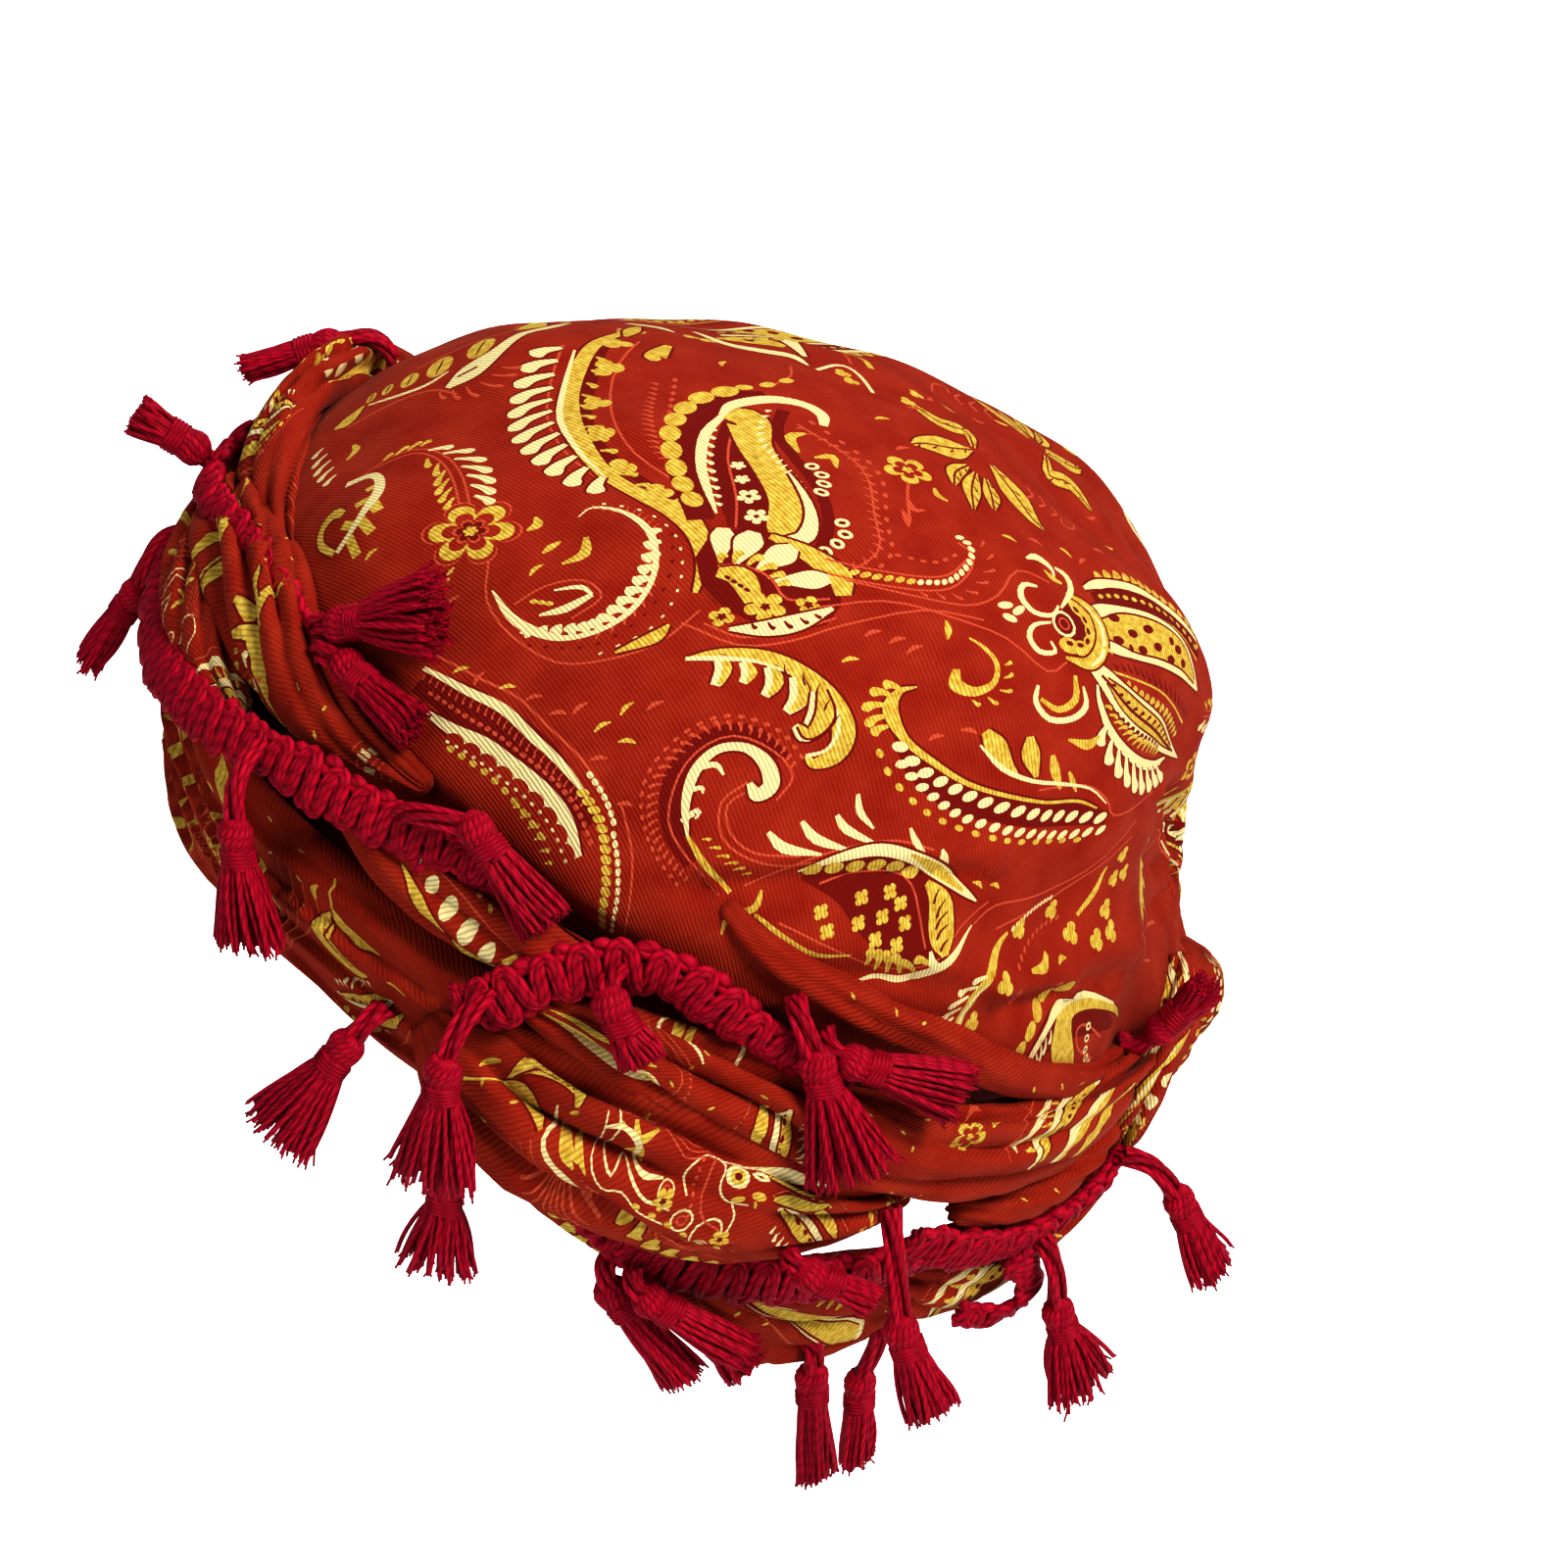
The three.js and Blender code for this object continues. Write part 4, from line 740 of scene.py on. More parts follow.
fine .5: -48 9, -48 2, -51 -5
beads gold dot 2.2 3: -47 1, -53 -6, -58 -9

# A gold crown on a long tail, with cream drops under it.
motif crown_spray
gold: -7 -6 .8, -5.4 -1 2.4, -1 3 5, 6 3 3.2, 14 2 2, 24 4 .6; -4 3 3, -8 4 2, -12 3 1; -3 5 3,
 -7 8 1.8, -9 10 .8; 0 5 3, -2 9 2, -2.4 12 1
oval cream: 5 6.6 3.6 2.4 20, 11 6.4 4 2.2 20, 17 8 4.4 2 20, 4 13 5.4 3 20, 12 14 3 4 20
beads gold dot 1.6 6: -6 14, 4 17.4, 16 17

# A curved ladder of cream bars between dotted lines.
motif ladder
cream 1.5: 1.06 -6.45, 3.44 -6.45; -.39 -4.3, 2.39 -4.3; -1.26 -2.15, 1.76 -2.15; -1.55 0, 1.55 0;
 -1.26 2.15, 1.76 2.15; -.39 4.3, 2.39 4.3; 1.06 6.45, 3.44 6.45
beads fine dot .6 15: -1.1 -7.4, -3.1 0, -1.1 7.4; 5.1 -7.4, 3.1 0, 5.1 7.4
beads fine dot .9 5: 6 -6, 5 0, 7 6

# A row of large cream pearls over a gold band that ends in a leaf.
motif pearl_band
oval cream: -14 -2 3 3.6 12, -9 -.6 3.6 5 12, -3 1 4 6 12, 3.4 2.6 4 6 12, 9.6 4 3.6 5.4 12, 15 5 2.6 4 12
gold: -18 1 .8, -8 5 2.6, 4 9.6 4, 16 11 3, 26 8 .8
cream: -6 6 .5, 4 9.6 1.6, 14 10.6 .6
comb gold 2.2 5 6 -50: 12 3, 20 5, 27 4
fine .5: -18 -5, -6 -4, 8 -1, 20 2
beads gold bead 1.6 6: -16 -7, -4 -7, 8 -4

# Two gold leaves that spring from one fine stem.
motif twin_leaf
gold .7: -14 9, -9 5, -5 1, -3 -2
gold: -5 1 .8, -2 -4 4.4, 5 -7 6, 11 -5 4, 12.6 -1.6 1; -6 2.4 .8, -1 1.4 3.6, 4 3.6 3.6, 7.4 7 .8
dark: -4 0 .4, 2 -5 .7, 10 -5 .4
comb dark .45 7 2.2 50: -2 -3.4, 4 -6, 10 -5
gold: -13 4 .5, -12 1 1.6, -9 -1 .6; 14 5 .4, 15 7 1.4, 18 8 .5

# A cream and gold drop with ribs, cut off by a fold.
motif small_drop
cream: -9 -4 .8, -5 -3 4, 0 0 5.4, 5 4 4, 9 8 .8
gold: -8 -4 .5, -3 -1 2.6, 2 3 2.8, 7 7 .8
beads dark dot 1.1 4: -5 -3, 0 0, 5 5
comb cream 1 7 3.4 70: -8 0, -2 4, 4 9
gold: -3 -9 .6, 3 -6 2.6, 8 -1 3.4, 11 4 .8
beads gold dot 1.2 5: -8 -8, -1 -10.5, 6 -8
fine .45: -12 -6, -4 -12, 8 -11, 14 2

# A fan of thin curved lines.
motif fan_lines
rays fine .45 9 20 17
flower gold 3.2 5: 0 0

# Thin cream scrolls round a ring, with gold dashes.
motif scroll_lines
cream .5: -13 -8, -11 -4, -11.6 2, -8 4.4, -7 1, -4 3, 2 4.6, 8 3.6
cream .4: -15 -6, -13.4 -1, -13.6 4, -8.6 7, -4 5.6, 2 7, 9 6.6
gold: -8.6 -7 .7, -6.4 -4 1.8, -4 -7.4 .6; -7.4 -1 .7, -4.8 -2.6 1.6, -2.6 .4 .6
cream .5: 9 0, 5.4 -4, 7 -8.6, 12 -9.4, 14 -5, 18 -3.4, 23 -5; 19 -4, 22 -1, 22.4 3, 20 .4, 17 1, 16 5,
 18 9
oval cream: 12 4 5.2 5.2 0
oval ground: 12 4 4.16 4.16 0
oval fine: 12 4 2.6 2.6 0
oval ground: 12 4 1.768 1.768 0
oval cream: 4.6 1.4 3.6 3.6 0
oval ground: 4.6 1.4 2.88 2.88 0
oval fine: 4.6 1.4 1.8 1.8 0
oval ground: 4.6 1.4 1.224 1.224 0
oval cream: 19.4 7 3.4 3.4 0
oval ground: 19.4 7 2.72 2.72 0
oval fine: 19.4 7 1.7 1.7 0
oval ground: 19.4 7 1.156 1.156 0
fine .3: -16 -11, -5 -12, 3 -10, 8 -13; 14 9, 20 8, 26 3; -14.7 -9.7, -5 -10.96, 3 -8.7, 8 -11.7;
 14 10.3, 20 9.17, 26 5.08; -13.4 -8.4, -5 -9.92, 3 -7.4, 8 -10.4; 14 11.6, 20 10.34, 26 7.16; -12.1 -7.1,
 -5 -8.88, 3 -6.1, 8 -9.1; 14 12.9, 20 11.51, 26 9.24
fine .4: -12 9, -2 10, 8 11, 14 14
beads fine dot .6 14: -14 8, -4 11.6, 10 12.6
comb gold .7 7 1.9 60: -10 9.4, 0 10.4, 9 10.6

# A broad cream and gold drop in long stripes.
motif gathered_drop
cream: -14 12 1, -9 2 5, 0 -7 7, 12 -12 5, 20 -13 1
gold: -12 11 .8, -7 2 3, 1 -6 4.4, 12 -11 2.6
cream: -5 15 1, 0 7 4, 8 0 5, 18 -5 1.4
gold: -3 14 .6, 2 7 2.4, 9 1 2.8, 16 -3 .8; 4 15 1, 9 9 4, 16 4 3.4, 23 1 .8
cream: -19 6 .6, -15 -2 2.4, -8 -9 2, -2 -14 .6
beads dark dot 1.3 5: -7 3, 0 -5, 8 -9
comb gold 1.6 6 4 70: -17 8, -12 -4, -4 -12
fine .5: -22 8, -18 -4, -10 -13, -1 -18

# A long gold branch with ragged leaves, among fans of fine stems.
motif branch
gold: -26 15 1.2, -16 11 2.8, -6 3 2.4, 4 -5 1.9, 13 -13 1.4, 22 -21 .6
oval gold: -19 4 6 3.6 60, -12 -1 5 2.6 70, -2 -8 6 2.8 40, 4 -15 4 3 70, 10 -22 6 4 50, -4 11 7 2.2 -20,
 7 2 8 2 -35, 16 -7 8 2 -50
hatch fine .5 4: 24 -26, 19 -12, 14 4, 8 14, 24 -26, 25 -12, 26 4, 20 14
flower gold 4.4 5: -10 -14, -3 -21
flower dark 1.6 5: -10 -14, -3 -21
beads gold dot 1.2 6: -22 -4, -14 -12, -8 -22
fine .5: -28 8, -18 -6, -12 -20, -4 -28

# A row of gold teeth with small sprays beside it.
motif tooth_row
comb gold 4.4 6 5.6 84: -16 -2, 0 0, 16 4
fine .5: -18 -4, 0 -2, 18 2
flower gold 4.6 5: -9 -11, 8 -9
flower dark 1.6 5: -9 -11, 8 -9
beads gold dot 1.3 7: -16 -8, 0 -7, 16 -4

# A cream border with gold leaves and pierced drops along it.
motif border_strip
cream: -17 2 .6, -9 4 2, 0 5.2 2.3, 9 5.6 2, 16 4.6 .5
gold: -16 -1 1, -9 .4 3.6, -3 1.8 2.8, 2 2.4 .6; -15 -5 .8, -10 -5.2 2.8, -4 -3.4 3, 1 -2.8 .8
comb dark .8 8 2.2 60: -15 0, -8 1, 0 2.4
oval cream: 5 2.2 5.4 2.8 15
oval dark: 5 2.2 2.4 1.2 15
oval cream: 11.4 1.8 7 4.8 20
oval gold: 11.4 1.8 4.62 3.168 20
oval dark: 11.4 1.8 2.38 1.632 20
oval gold: 5 -2.4 4 2 10, 10 -3.2 3.2 1.6 -10
fine .5: 16 9, 18.4 3, 17.6 -6, 12 -10
beads fine dot .7 9: 19 9, 21 2, 19.6 -8

# A long gold stripe between cream edges that widens to a round end.
motif long_stripe
cream: -26 -2 1, -12 0 3.4, 4 1 6, 15 1 9, 21 0 6
gold: -24 -2 .6, -12 0 2, 4 1 4, 14 1 6.4, 19 .4 3.6
comb gold 1.6 9 3.2 -70: -14 -4, 2 -4.6, 14 -5.6
fine .5: -24 4, -8 6, 10 8

# A gold bud in a cream bracket, with curls of fine line round it.
motif curled_bud
cream: -8 -7 .4, -6 -3 1.3, -6.6 1 .9, -2 4 1.4, 4 5.6 1.2, 9 8 .4
gold: -4.6 -5 .6, -3 -2 2.6, -1 .6 2.2, 2 2 .6; .6 -5 .5, .4 -2 1.8, 2.4 0 1.2, 5 1.6 .4
hatch fine .35 3: -9 2, -4 7, 3 9, 10 11, -12.4 5.4, -4 10.4, 3 12.4, 10 13.04
cream: 4 -8 .5, 8 -9.6 1.1, 12.6 -8 1.2, 14 -4 .8, 17 -3 1.1, 21 -4.6 .4

# A few loose gold ticks.
motif specks
oval gold: -9 -3 2.2 .8 30, -3 4 2.2 .8 -20, 3 -5 2.2 .8 60, 8 2 2.2 .8 10, 12 -6 2.2 .8 -40
""")
FAR_LEFT_OUT = ("ridge_leaves", "long_leaf", "knot_comma")
FAR_SHIFT = 28
TICKS = read_rows("""
    -88 -101 20, -83 -103 70, -76 -105 10, -69 -107 20, -62 -110 10, -58 -108 60, -49 -106 70, -44 -104 50,
    -46 -113 10, -52 -111 50, -50 -118 20, -40 -126 10, -14 -72 50, -9 -71 50, -5 -71 60, -15 -80 40,
    10 -86 50, 15 -81 20, 7 -25 10, 15 -20 0, 20 -18 70, 1 -30 10, 50 -101 20, 45 -104 10, 84 -95 60,
    87 -99 40, -97 -76 80, -95 -83 60, -80 -75 60, -115 -68 40, -60 3 80, -25 -15 50, -30 -5 40, 24 -8 30,
    33 -40 20, -100 -95 50
""")
EXTRAS = placed("""
    bead_crescent -100 62 175, small_flower -70 56 0, fern -124 66 120, leaf_cluster -60 84 30,
    plume 112 -12 66, leaf_spray 84 2 -60, small_crescent 100 20 150, fern 138 12 200,
    small_flower 92 -22 0, leaf_cluster 134 44 120
""")


def crown_print() -> list[Outline]:
    """The print of the crown: every motif at home, and again across the far half, turned round."""
    shapes: list[Outline] = []
    for half in (0, 180):
        for name, motif in MOTIFS.items():
            if not motif.home or half and name in FAR_LEFT_OUT:
                continue
            x, y = motif.home
            motif.draw(shapes, (-x, FAR_SHIFT - y) if half else (x, y), half)
        for x, y, turn in TICKS:
            pen = Pen((0, 0), (-x, -y) if half else (x, y), turn + half, 1.0, shapes)
            pen.swell(Ink.GOLD if (x + y) % 2 else Ink.FINE, (-1.8, 0, 0.4), (0, 0.5, 1.1), (1.8, 0, 0.3))
    for name, x, y, turn in EXTRAS:
        MOTIFS[name].draw(shapes, (x, y), turn, size=0.9)
    return shapes


# ---- meshes
@dataclass
class Skin:
    """A mesh being made: points in metres, faces of one size, and values for each face corner."""

    points: Array
    faces: Array
    cloth: Array
    ink: Array | None = None


def make_piece(name: str, skin: Skin, finish: Finish) -> Piece:
    """Turns a skin into a smooth Blender piece that rides on the hat.

    Args:
        name: the piece's name.
        skin: its points and faces; cloth goes to the corner attribute of that name, ink to "print".
        finish: its material.

    Returns:
        The piece.
    """
    mesh = bpy.data.meshes.new(name)
    count, sides = skin.faces.shape
    mesh.vertices.add(len(skin.points))
    mesh.vertices.foreach_set("co", skin.points.astype(np.float32).ravel())
    mesh.loops.add(count * sides)
    mesh.loops.foreach_set("vertex_index", skin.faces.astype(np.int32).ravel())
    mesh.polygons.add(count)
    mesh.polygons.foreach_set("loop_start", np.arange(0, count * sides, sides, dtype=np.int32))
    mesh.polygons.foreach_set("use_smooth", np.ones(count, bool))
    layer = mesh.attributes.new("cloth", "FLOAT_VECTOR", "CORNER")
    layer.data.foreach_set("vector", skin.cloth.astype(np.float32).ravel())
    if skin.ink is not None:
        colours = np.zeros((count, 4), np.float32)
        for column, ink in enumerate((Ink.GOLD, Ink.CREAM, Ink.DARK, Ink.FINE)):
            colours[:, column] = skin.ink == ink.value
        layer = mesh.color_attributes.new("print", "FLOAT_COLOR", "CORNER")
        layer.data.foreach_set("color", np.repeat(colours, sides, axis=0).ravel())
    mesh.update(calc_edges=True)
    mesh.validate()
    mesh.materials.append(finish)
    piece = bpy.data.objects.new(name, mesh)
    bpy.context.scene.collection.objects.link(piece)
    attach(piece, BODY)
    log.info("%s: %d faces", name, count)
    return piece


def ink_of(centres: Array, shapes: list[Outline]) -> Array:
    """The ink at each place: the last outline that holds it wins."""
    ink = np.zeros(len(centres), np.int8)
    order = np.argsort(centres[:, 0])
    sorted_x = centres[order, 0]
    for outline, colour in shapes:
        low, high = outline.min(0), outline.max(0)
        near = order[np.searchsorted(sorted_x, low[0]):np.searchsorted(sorted_x, high[0])]
        near = near[(centres[near, 1] > low[1]) & (centres[near, 1] < high[1])]
        if not len(near):
            continue
        px, py = centres[near, 0][:, None], centres[near, 1][:, None]
        ax, ay = outline.T
        bx, by = np.roll(outline, -1, axis=0).T
        crosses = (ay > py) != (by > py)
        with np.errstate(divide="ignore", invalid="ignore"):
            left = px < (bx - ax) * (py - ay) / (by - ay) + ax
        inside = np.logical_and(crosses, left).sum(1) % 2 == 1
        ink[near[inside]] = colour.value
    return ink


CDT_EPSILON = 1e-3
ROW_STEP = 0.866


def cut_cloth(edge: Array, spacing: float, shapes: list[Outline]) -> tuple[Array, Array, Array]:
    """Triangles over a flat piece of cloth, cut along every printed outline.

    Args:
        edge: the cloth's outline in millimetres.
        spacing: distance between the points that fill it.
        shapes: the printed outlines, later ones on top.

    Returns:
        Flat points, triangles and the ink of each triangle.
    """
    low, high = edge.min(0), edge.max(0)
    rows = np.arange(low[1], high[1], spacing * ROW_STEP)
    starts = (low[0] + spacing * 0.5 * (i % 2) for i in range(len(rows)))
    spans = (np.arange(start, high[0], spacing) for start in starts)
    grid = np.concatenate([np.stack([x, np.full(len(x), y)], -1) for x, y in zip(spans, rows)])
    grid = grid[ink_of(grid, [(edge, Ink.GOLD)]) > 0]
    shapes = [s for s in shapes if (s[0].max(0) > low).all() and (s[0].min(0) < high).all()]
    loops = [edge, *(outline for outline, _ in shapes)]
    points = np.concatenate([grid, *loops])
    links, start = [], len(grid)
    for loop in loops:
        index = np.arange(start, start + len(loop))
        links.append(np.stack([index, np.roll(index, -1)], -1))
        start += len(loop)
    flat, _, faces, _, _, _ = delaunay_2d_cdt(
        [Vector(p) for p in points.tolist()], np.concatenate(links).tolist(), [], 0, CDT_EPSILON, False)
    flat = np.array([(p.x, p.y) for p in flat])
    faces = np.array(faces)
    centres = flat[faces].mean(1)
    keep = ink_of(centres, [(edge, Ink.GOLD)]) > 0
    faces = faces[keep]
    return flat, faces, ink_of(centres[keep], shapes)


def weld(points: Array, faces: Array, reach: float) -> tuple[Array, Array, Array]:
    """Joins points that lie together and drops the faces that vanish.

    Args:
        points: places in metres.
        faces: triangles or quads.
        reach: how near counts as together.

    Returns:
        The points kept, the faces and which of the old faces they are.
    """
    keys = np.round(points / reach).astype(np.int64)
    _, first, back = np.unique(keys, axis=0, return_index=True, return_inverse=True)
    faces = back.reshape(-1)[faces]
    sound = np.ones(len(faces), bool)
    for i in range(faces.shape[1]):
        sound &= faces[:, i] != faces[:, (i + 1) % faces.shape[1]]
    return points[first], faces[sound], sound


def settle(points: Array, node: str, allowance: float) -> Array:
    """Draws in whatever stands further out of a node's solid than an allowance, in metres."""
    mesh = bpy.data.objects[node].data
    tree = BVHTree.FromPolygons([v.co for v in mesh.vertices], [p.vertices for p in mesh.polygons])
    settled = points.copy()
    for i, p in enumerate(points.tolist()):
        place, normal, _, distance = tree.find_nearest(p)
        if distance > allowance and (Vector(p) - place).dot(normal) > 0:
            settled[i] = place + (Vector(p) - place) * (allowance / distance)
    return settled


# ---- curves through the tables
def centripetal(points: Array, at: Array) -> Array:
    """A centripetal Catmull-Rom curve; at runs from 0 to 1 in equal steps for each row."""
    p = np.vstack([2 * points[0] - points[1], points, 2 * points[-1] - points[-2]])
    place = at * (len(points) - 1)
    i = np.minimum(place.astype(int), len(points) - 2)
    t = (place - i)[:, None]
    a, b, c, d = p[i], p[i + 1], p[i + 2], p[i + 3]
    gaps = (np.linalg.norm(gap, axis=1)[:, None] for gap in (b - a, c - b, d - c))
    ab, bc, cd = (np.maximum(gap, 1e-4) ** 0.5 for gap in gaps)
    m1 = ((b - a) / ab - (c - a) / (ab + bc) + (c - b) / bc) * bc
    m2 = ((c - b) / bc - (d - b) / (bc + cd) + (d - c) / cd) * bc
    return b + m1 * t + (3 * (c - b) - 2 * m1 - m2) * t ** 2 + (2 * (b - c) + m1 + m2) * t ** 3


SPINE_SAMPLES = 240


@dataclass
class Spine:
    """The centre line of a strand with its frame, evenly spaced along its length in millimetres."""

    centre: Array
    ahead: Array
    across: Array
    normal: Array
    wide: Array
    thick: Array
    run: Array

    @property
    def length(self) -> float:
        """Its whole length."""
        return float(self.run[-1])

    @classmethod
    def through(cls, rows: Table) -> Spine:
        """Lays a strand through the spots of its table.

        Args:
            rows: columns phi, z, out, wide and thick.

        Returns:
            The spine.
        """
        t = np.linspace(0, 1, SPINE_SAMPLES)
        centre = centripetal(ring_point(ENVELOPE, rows["phi"], rows["z"], rows["out"]), t)
        place = t * (len(rows["phi"]) - 1)
        ahead = unit(np.gradient(centre, axis=0))
        across = unit(np.cross(unit(centre * LEVEL), ahead))
        normal = unit(np.cross(ahead, across))
        index = np.arange(len(rows["phi"]))
        run = distance_along(centre)
        wide, thick = (np.interp(place, index, rows[k]) for k in ("wide", "thick"))
        return cls(centre, ahead, across, normal, wide, thick, run)

    def at(self, distance: Array) -> tuple[Array, Array, Array, Array, Array, Array]:
        """Centre, ahead, across, normal, width and thickness at distances along it."""
        def pick(values: Array) -> Array:
            """One vector for each distance."""
            return np.stack([np.interp(distance, self.run, values[:, k]) for k in range(3)], -1)

        wide, thick = (np.interp(distance, self.run, v) for v in (self.wide, self.thick))
        return pick(self.centre), pick(self.ahead), pick(self.across), pick(self.normal), wide, thick


BRAID_START = -174
BRAID_END = -26
BRAID_STEP = 11
BRAID_CYCLE = 66
BRAID_SWING = 10
BRAID_LIFT = 5.8
BRAID_SINK = 1
BRAID_LINE = table("phi z", "-180 38, -140 40, -100 45, -60 51, -20 53")


def braid_rows(third: int, wide: float, thick: float, tail: str) -> Table:
    """Rows of one strand of the plait: the even braid on the far side, then its run over the front."""
    phi = np.arange(BRAID_START, BRAID_END + 1, BRAID_STEP)
    turn = np.radians(360 * (phi - BRAID_START) / BRAID_CYCLE + 120 * third)
    z = along(BRAID_LINE, "phi", phi, "z") + BRAID_SWING * np.sin(turn)
    out = BRAID_LIFT * np.sin(2 * turn) - BRAID_SINK
    rows = np.stack([phi, z, out, np.full(len(phi), wide), np.full(len(phi), thick)], -1)
    return dict(zip(SPOT.split(), np.concatenate([rows, read_rows(tail)]).T))


# ---- finishes
@dataclass(frozen=True)
class Twill:
    """Printed cotton twill: its dye, its inks and its rib, with painted shade in the rib's grooves."""

    name: str = "printed_twill"
    ground: Colour = (0.325, 0.0215, 0.0075)
    worn: Colour = (0.42, 0.046, 0.017)
    gold: Colour = (0.56, 0.36, 0.035)
    gold_light: Colour = (0.82, 0.66, 0.15)
    cream: Colour = (0.85, 0.76, 0.40)
    dark: Colour = (0.21, 0.011, 0.007)
    fine: Colour = (0.62, 0.12, 0.055)
    # painted shade: the colour that the rib's grooves are darkened towards
    groove: Colour = (0.16, 0.006, 0.003)
    sheen_tint: Colour = (1.0, 0.5, 0.36)
    rib_pitch: float = 0.85
    rib_height: float = 0.00016
    roughness: float = 0.72
    sheen: float = 0.09

    def material(self) -> Finish:
        """Builds the material."""
        shader = Shader(self.name)
        cloth = shader.attribute("cloth", "Vector")
        inks = shader.node("SeparateColor", {}, Color=shader.attribute("print", "Color")).outputs
        fine = shader.attribute("print", "Alpha")
        weave = shader.group(twill_weave(), Vector=cloth, Pitch=self.rib_pitch)
        dye = shader.group(dye_variation(), Vector=cloth, Size=11.0)
        streak = shader.group(dye_variation(), Vector=cloth, Size=1.6)
        base = shader.mix(dye, self.ground, self.worn)
        gold = shader.mix(streak, self.gold, self.gold_light)
        colour = shader.mix(fine, base, self.fine)
        colour = shader.mix(inks[2], colour, self.dark)
        colour = shader.mix(inks[0], colour, gold)
        colour = shader.mix(inks[1], colour, self.cream)
        # painted shade: the rib's grooves are darkened in colour, as if in shadow
        colour = shader.mix(shader.math("MULTIPLY", weave["Groove"], 0.42), colour, self.groove)
        rough = shader.math("MULTIPLY_ADD", weave["Groove"], 0.15, self.roughness)
        shader.bump(weave["Height"], self.rib_height)
        shader.dress(Base_Color=colour, Roughness=rough, Specular_IOR_Level=0.06, Sheen_Weight=self.sheen,
                     Sheen_Roughness=0.4, Sheen_Tint=self.sheen_tint)
        return shader.material


@dataclass(frozen=True)
class Satin:
    """Crimson satin lining."""

    name: str = "satin_lining"
    light: Colour = (0.62, 0.012, 0.085)
    deep: Colour = (0.46, 0.006, 0.05)
    roughness: float = 0.34
    thread_height: float = 0.00003

    def material(self) -> Finish:
        """Builds the material."""
        shader = Shader(self.name)
        cloth = shader.attribute("cloth", "Vector")
        dye = shader.group(dye_variation(), Vector=cloth, Size=16.0)
        thread = shader.group(dye_variation(), Vector=cloth, Size=0.5)
        rough = shader.math("MULTIPLY_ADD", thread, 0.12, self.roughness)
        shader.bump(thread, self.thread_height)
        shader.dress(Base_Color=shader.mix(dye, self.deep, self.light), Roughness=rough, Anisotropic=0.5,
                     Specular_IOR_Level=0.6, Sheen_Weight=0.35)
        return shader.material


@dataclass(frozen=True)
class Yarn:
    """Glossy crimson yarn, plied from fine threads, with painted shade in the grooves between its plies."""

    name: str
    deep: Colour = (0.2, 0.0008, 0.012)
    light: Colour = (0.56, 0.0035, 0.042)
    sheen_tint: Colour = (1.0, 0.05, 0.18)
    ply_pitch: float = 3.4
    plies: float = 2.0
    ply_height: float = 0.00012
    roughness: float = 0.55

    def material(self) -> Finish:
        """Builds the material."""
        shader = Shader(self.name)
        cloth = shader.attribute("cloth", "Vector")
        ply = shader.group(yarn_ply(), Vector=cloth, Pitch=self.ply_pitch, Plies=self.plies)
        # painted shade: each yarn's random tone is darkened where the ply height is low, in the grooves
        # between its plies
        tone = shader.math("MULTIPLY", ply["Tone"], ply["Height"])
        rough = shader.math("MULTIPLY_ADD", ply["Fibre"], 0.2, self.roughness)
        shader.bump(ply["Height"], self.ply_height)
        shader.dress(Base_Color=shader.mix(tone, self.deep, self.light), Roughness=rough,
                     Specular_IOR_Level=0.12, Sheen_Weight=0.12, Sheen_Roughness=0.4,
                     Sheen_Tint=self.sheen_tint)
        return shader.material


class Nodes:
    """Adds nodes to a tree; a value that is a socket is linked, any other is set."""

    def __init__(self, tree: Tree) -> None:
        """Takes the tree."""
        self.tree = tree

    def feed(self, socket: Socket, value: object) -> None:
        """Links a socket or sets a value; a plain colour gets its alpha."""
        if isinstance(value, Socket):
            self.tree.links.new(value, socket)
        else:
            socket.default_value = (*value, 1.0) if isinstance(value, tuple) and len(value) == 3 else value

    def node(self, kind: str, settings: dict[str, object], **values: object) -> bpy.types.Node:
        """Adds a node with its settings and inputs, which are named, or numbered as in _0."""
        node = self.tree.nodes.new(f"ShaderNode{kind}")
        for name, value in settings.items():
            setattr(node, name, value)
        for name, value in values.items():
            self.feed(node.inputs[int(name[1:]) if name[0] == "_" else name], value)
        return node

    def math(self, operation: str, a: object, b: object = 0.0, c: object = 0.0) -> Socket:
        """One math node."""
        return self.node("Math", {"operation": operation}, _0=a, _1=b, _2=c).outputs[0]


class Shader(Nodes):
    """One Principled material being built."""

    def __init__(self, name: str) -> None:
        """Makes the material with its shader and output."""
        self.material = bpy.data.materials.new(name)
        self.material.use_nodes = True
        super().__init__(self.material.node_tree)
        self.principled = self.tree.nodes["Principled BSDF"]

    def attribute(self, name: str, output: str) -> Socket:
        """One output of a mesh attribute."""
        return self.node("Attribute", {"attribute_name": name}).outputs[output]

    def mix(self, share: object, a: object, b: object) -> Socket:
        """A blend of two colours."""
        return self.node("Mix", {"data_type": "RGBA"}, _0=share, _6=a, _7=b).outputs[2]

    def group(self, tree: Tree, **values: object) -> object:
        """Places a node group; returns its output, or its outputs where it has several."""
        node = self.node("Group", {"node_tree": tree}, **values)
        return node.outputs if len(node.outputs) > 1 else node.outputs[0]

    def bump(self, height: Socket, distance: float) -> None:
        """Feeds the shader's normal from a height."""
        self.dress(Normal=self.node("Bump", {}, Distance=distance, Height=height).outputs[0])

    def dress(self, **values: object) -> None:
        """Feeds the shader's inputs, an underscore standing for a space."""
        for name, value in values.items():
            self.feed(self.principled.inputs[name.replace("_", " ")], value)


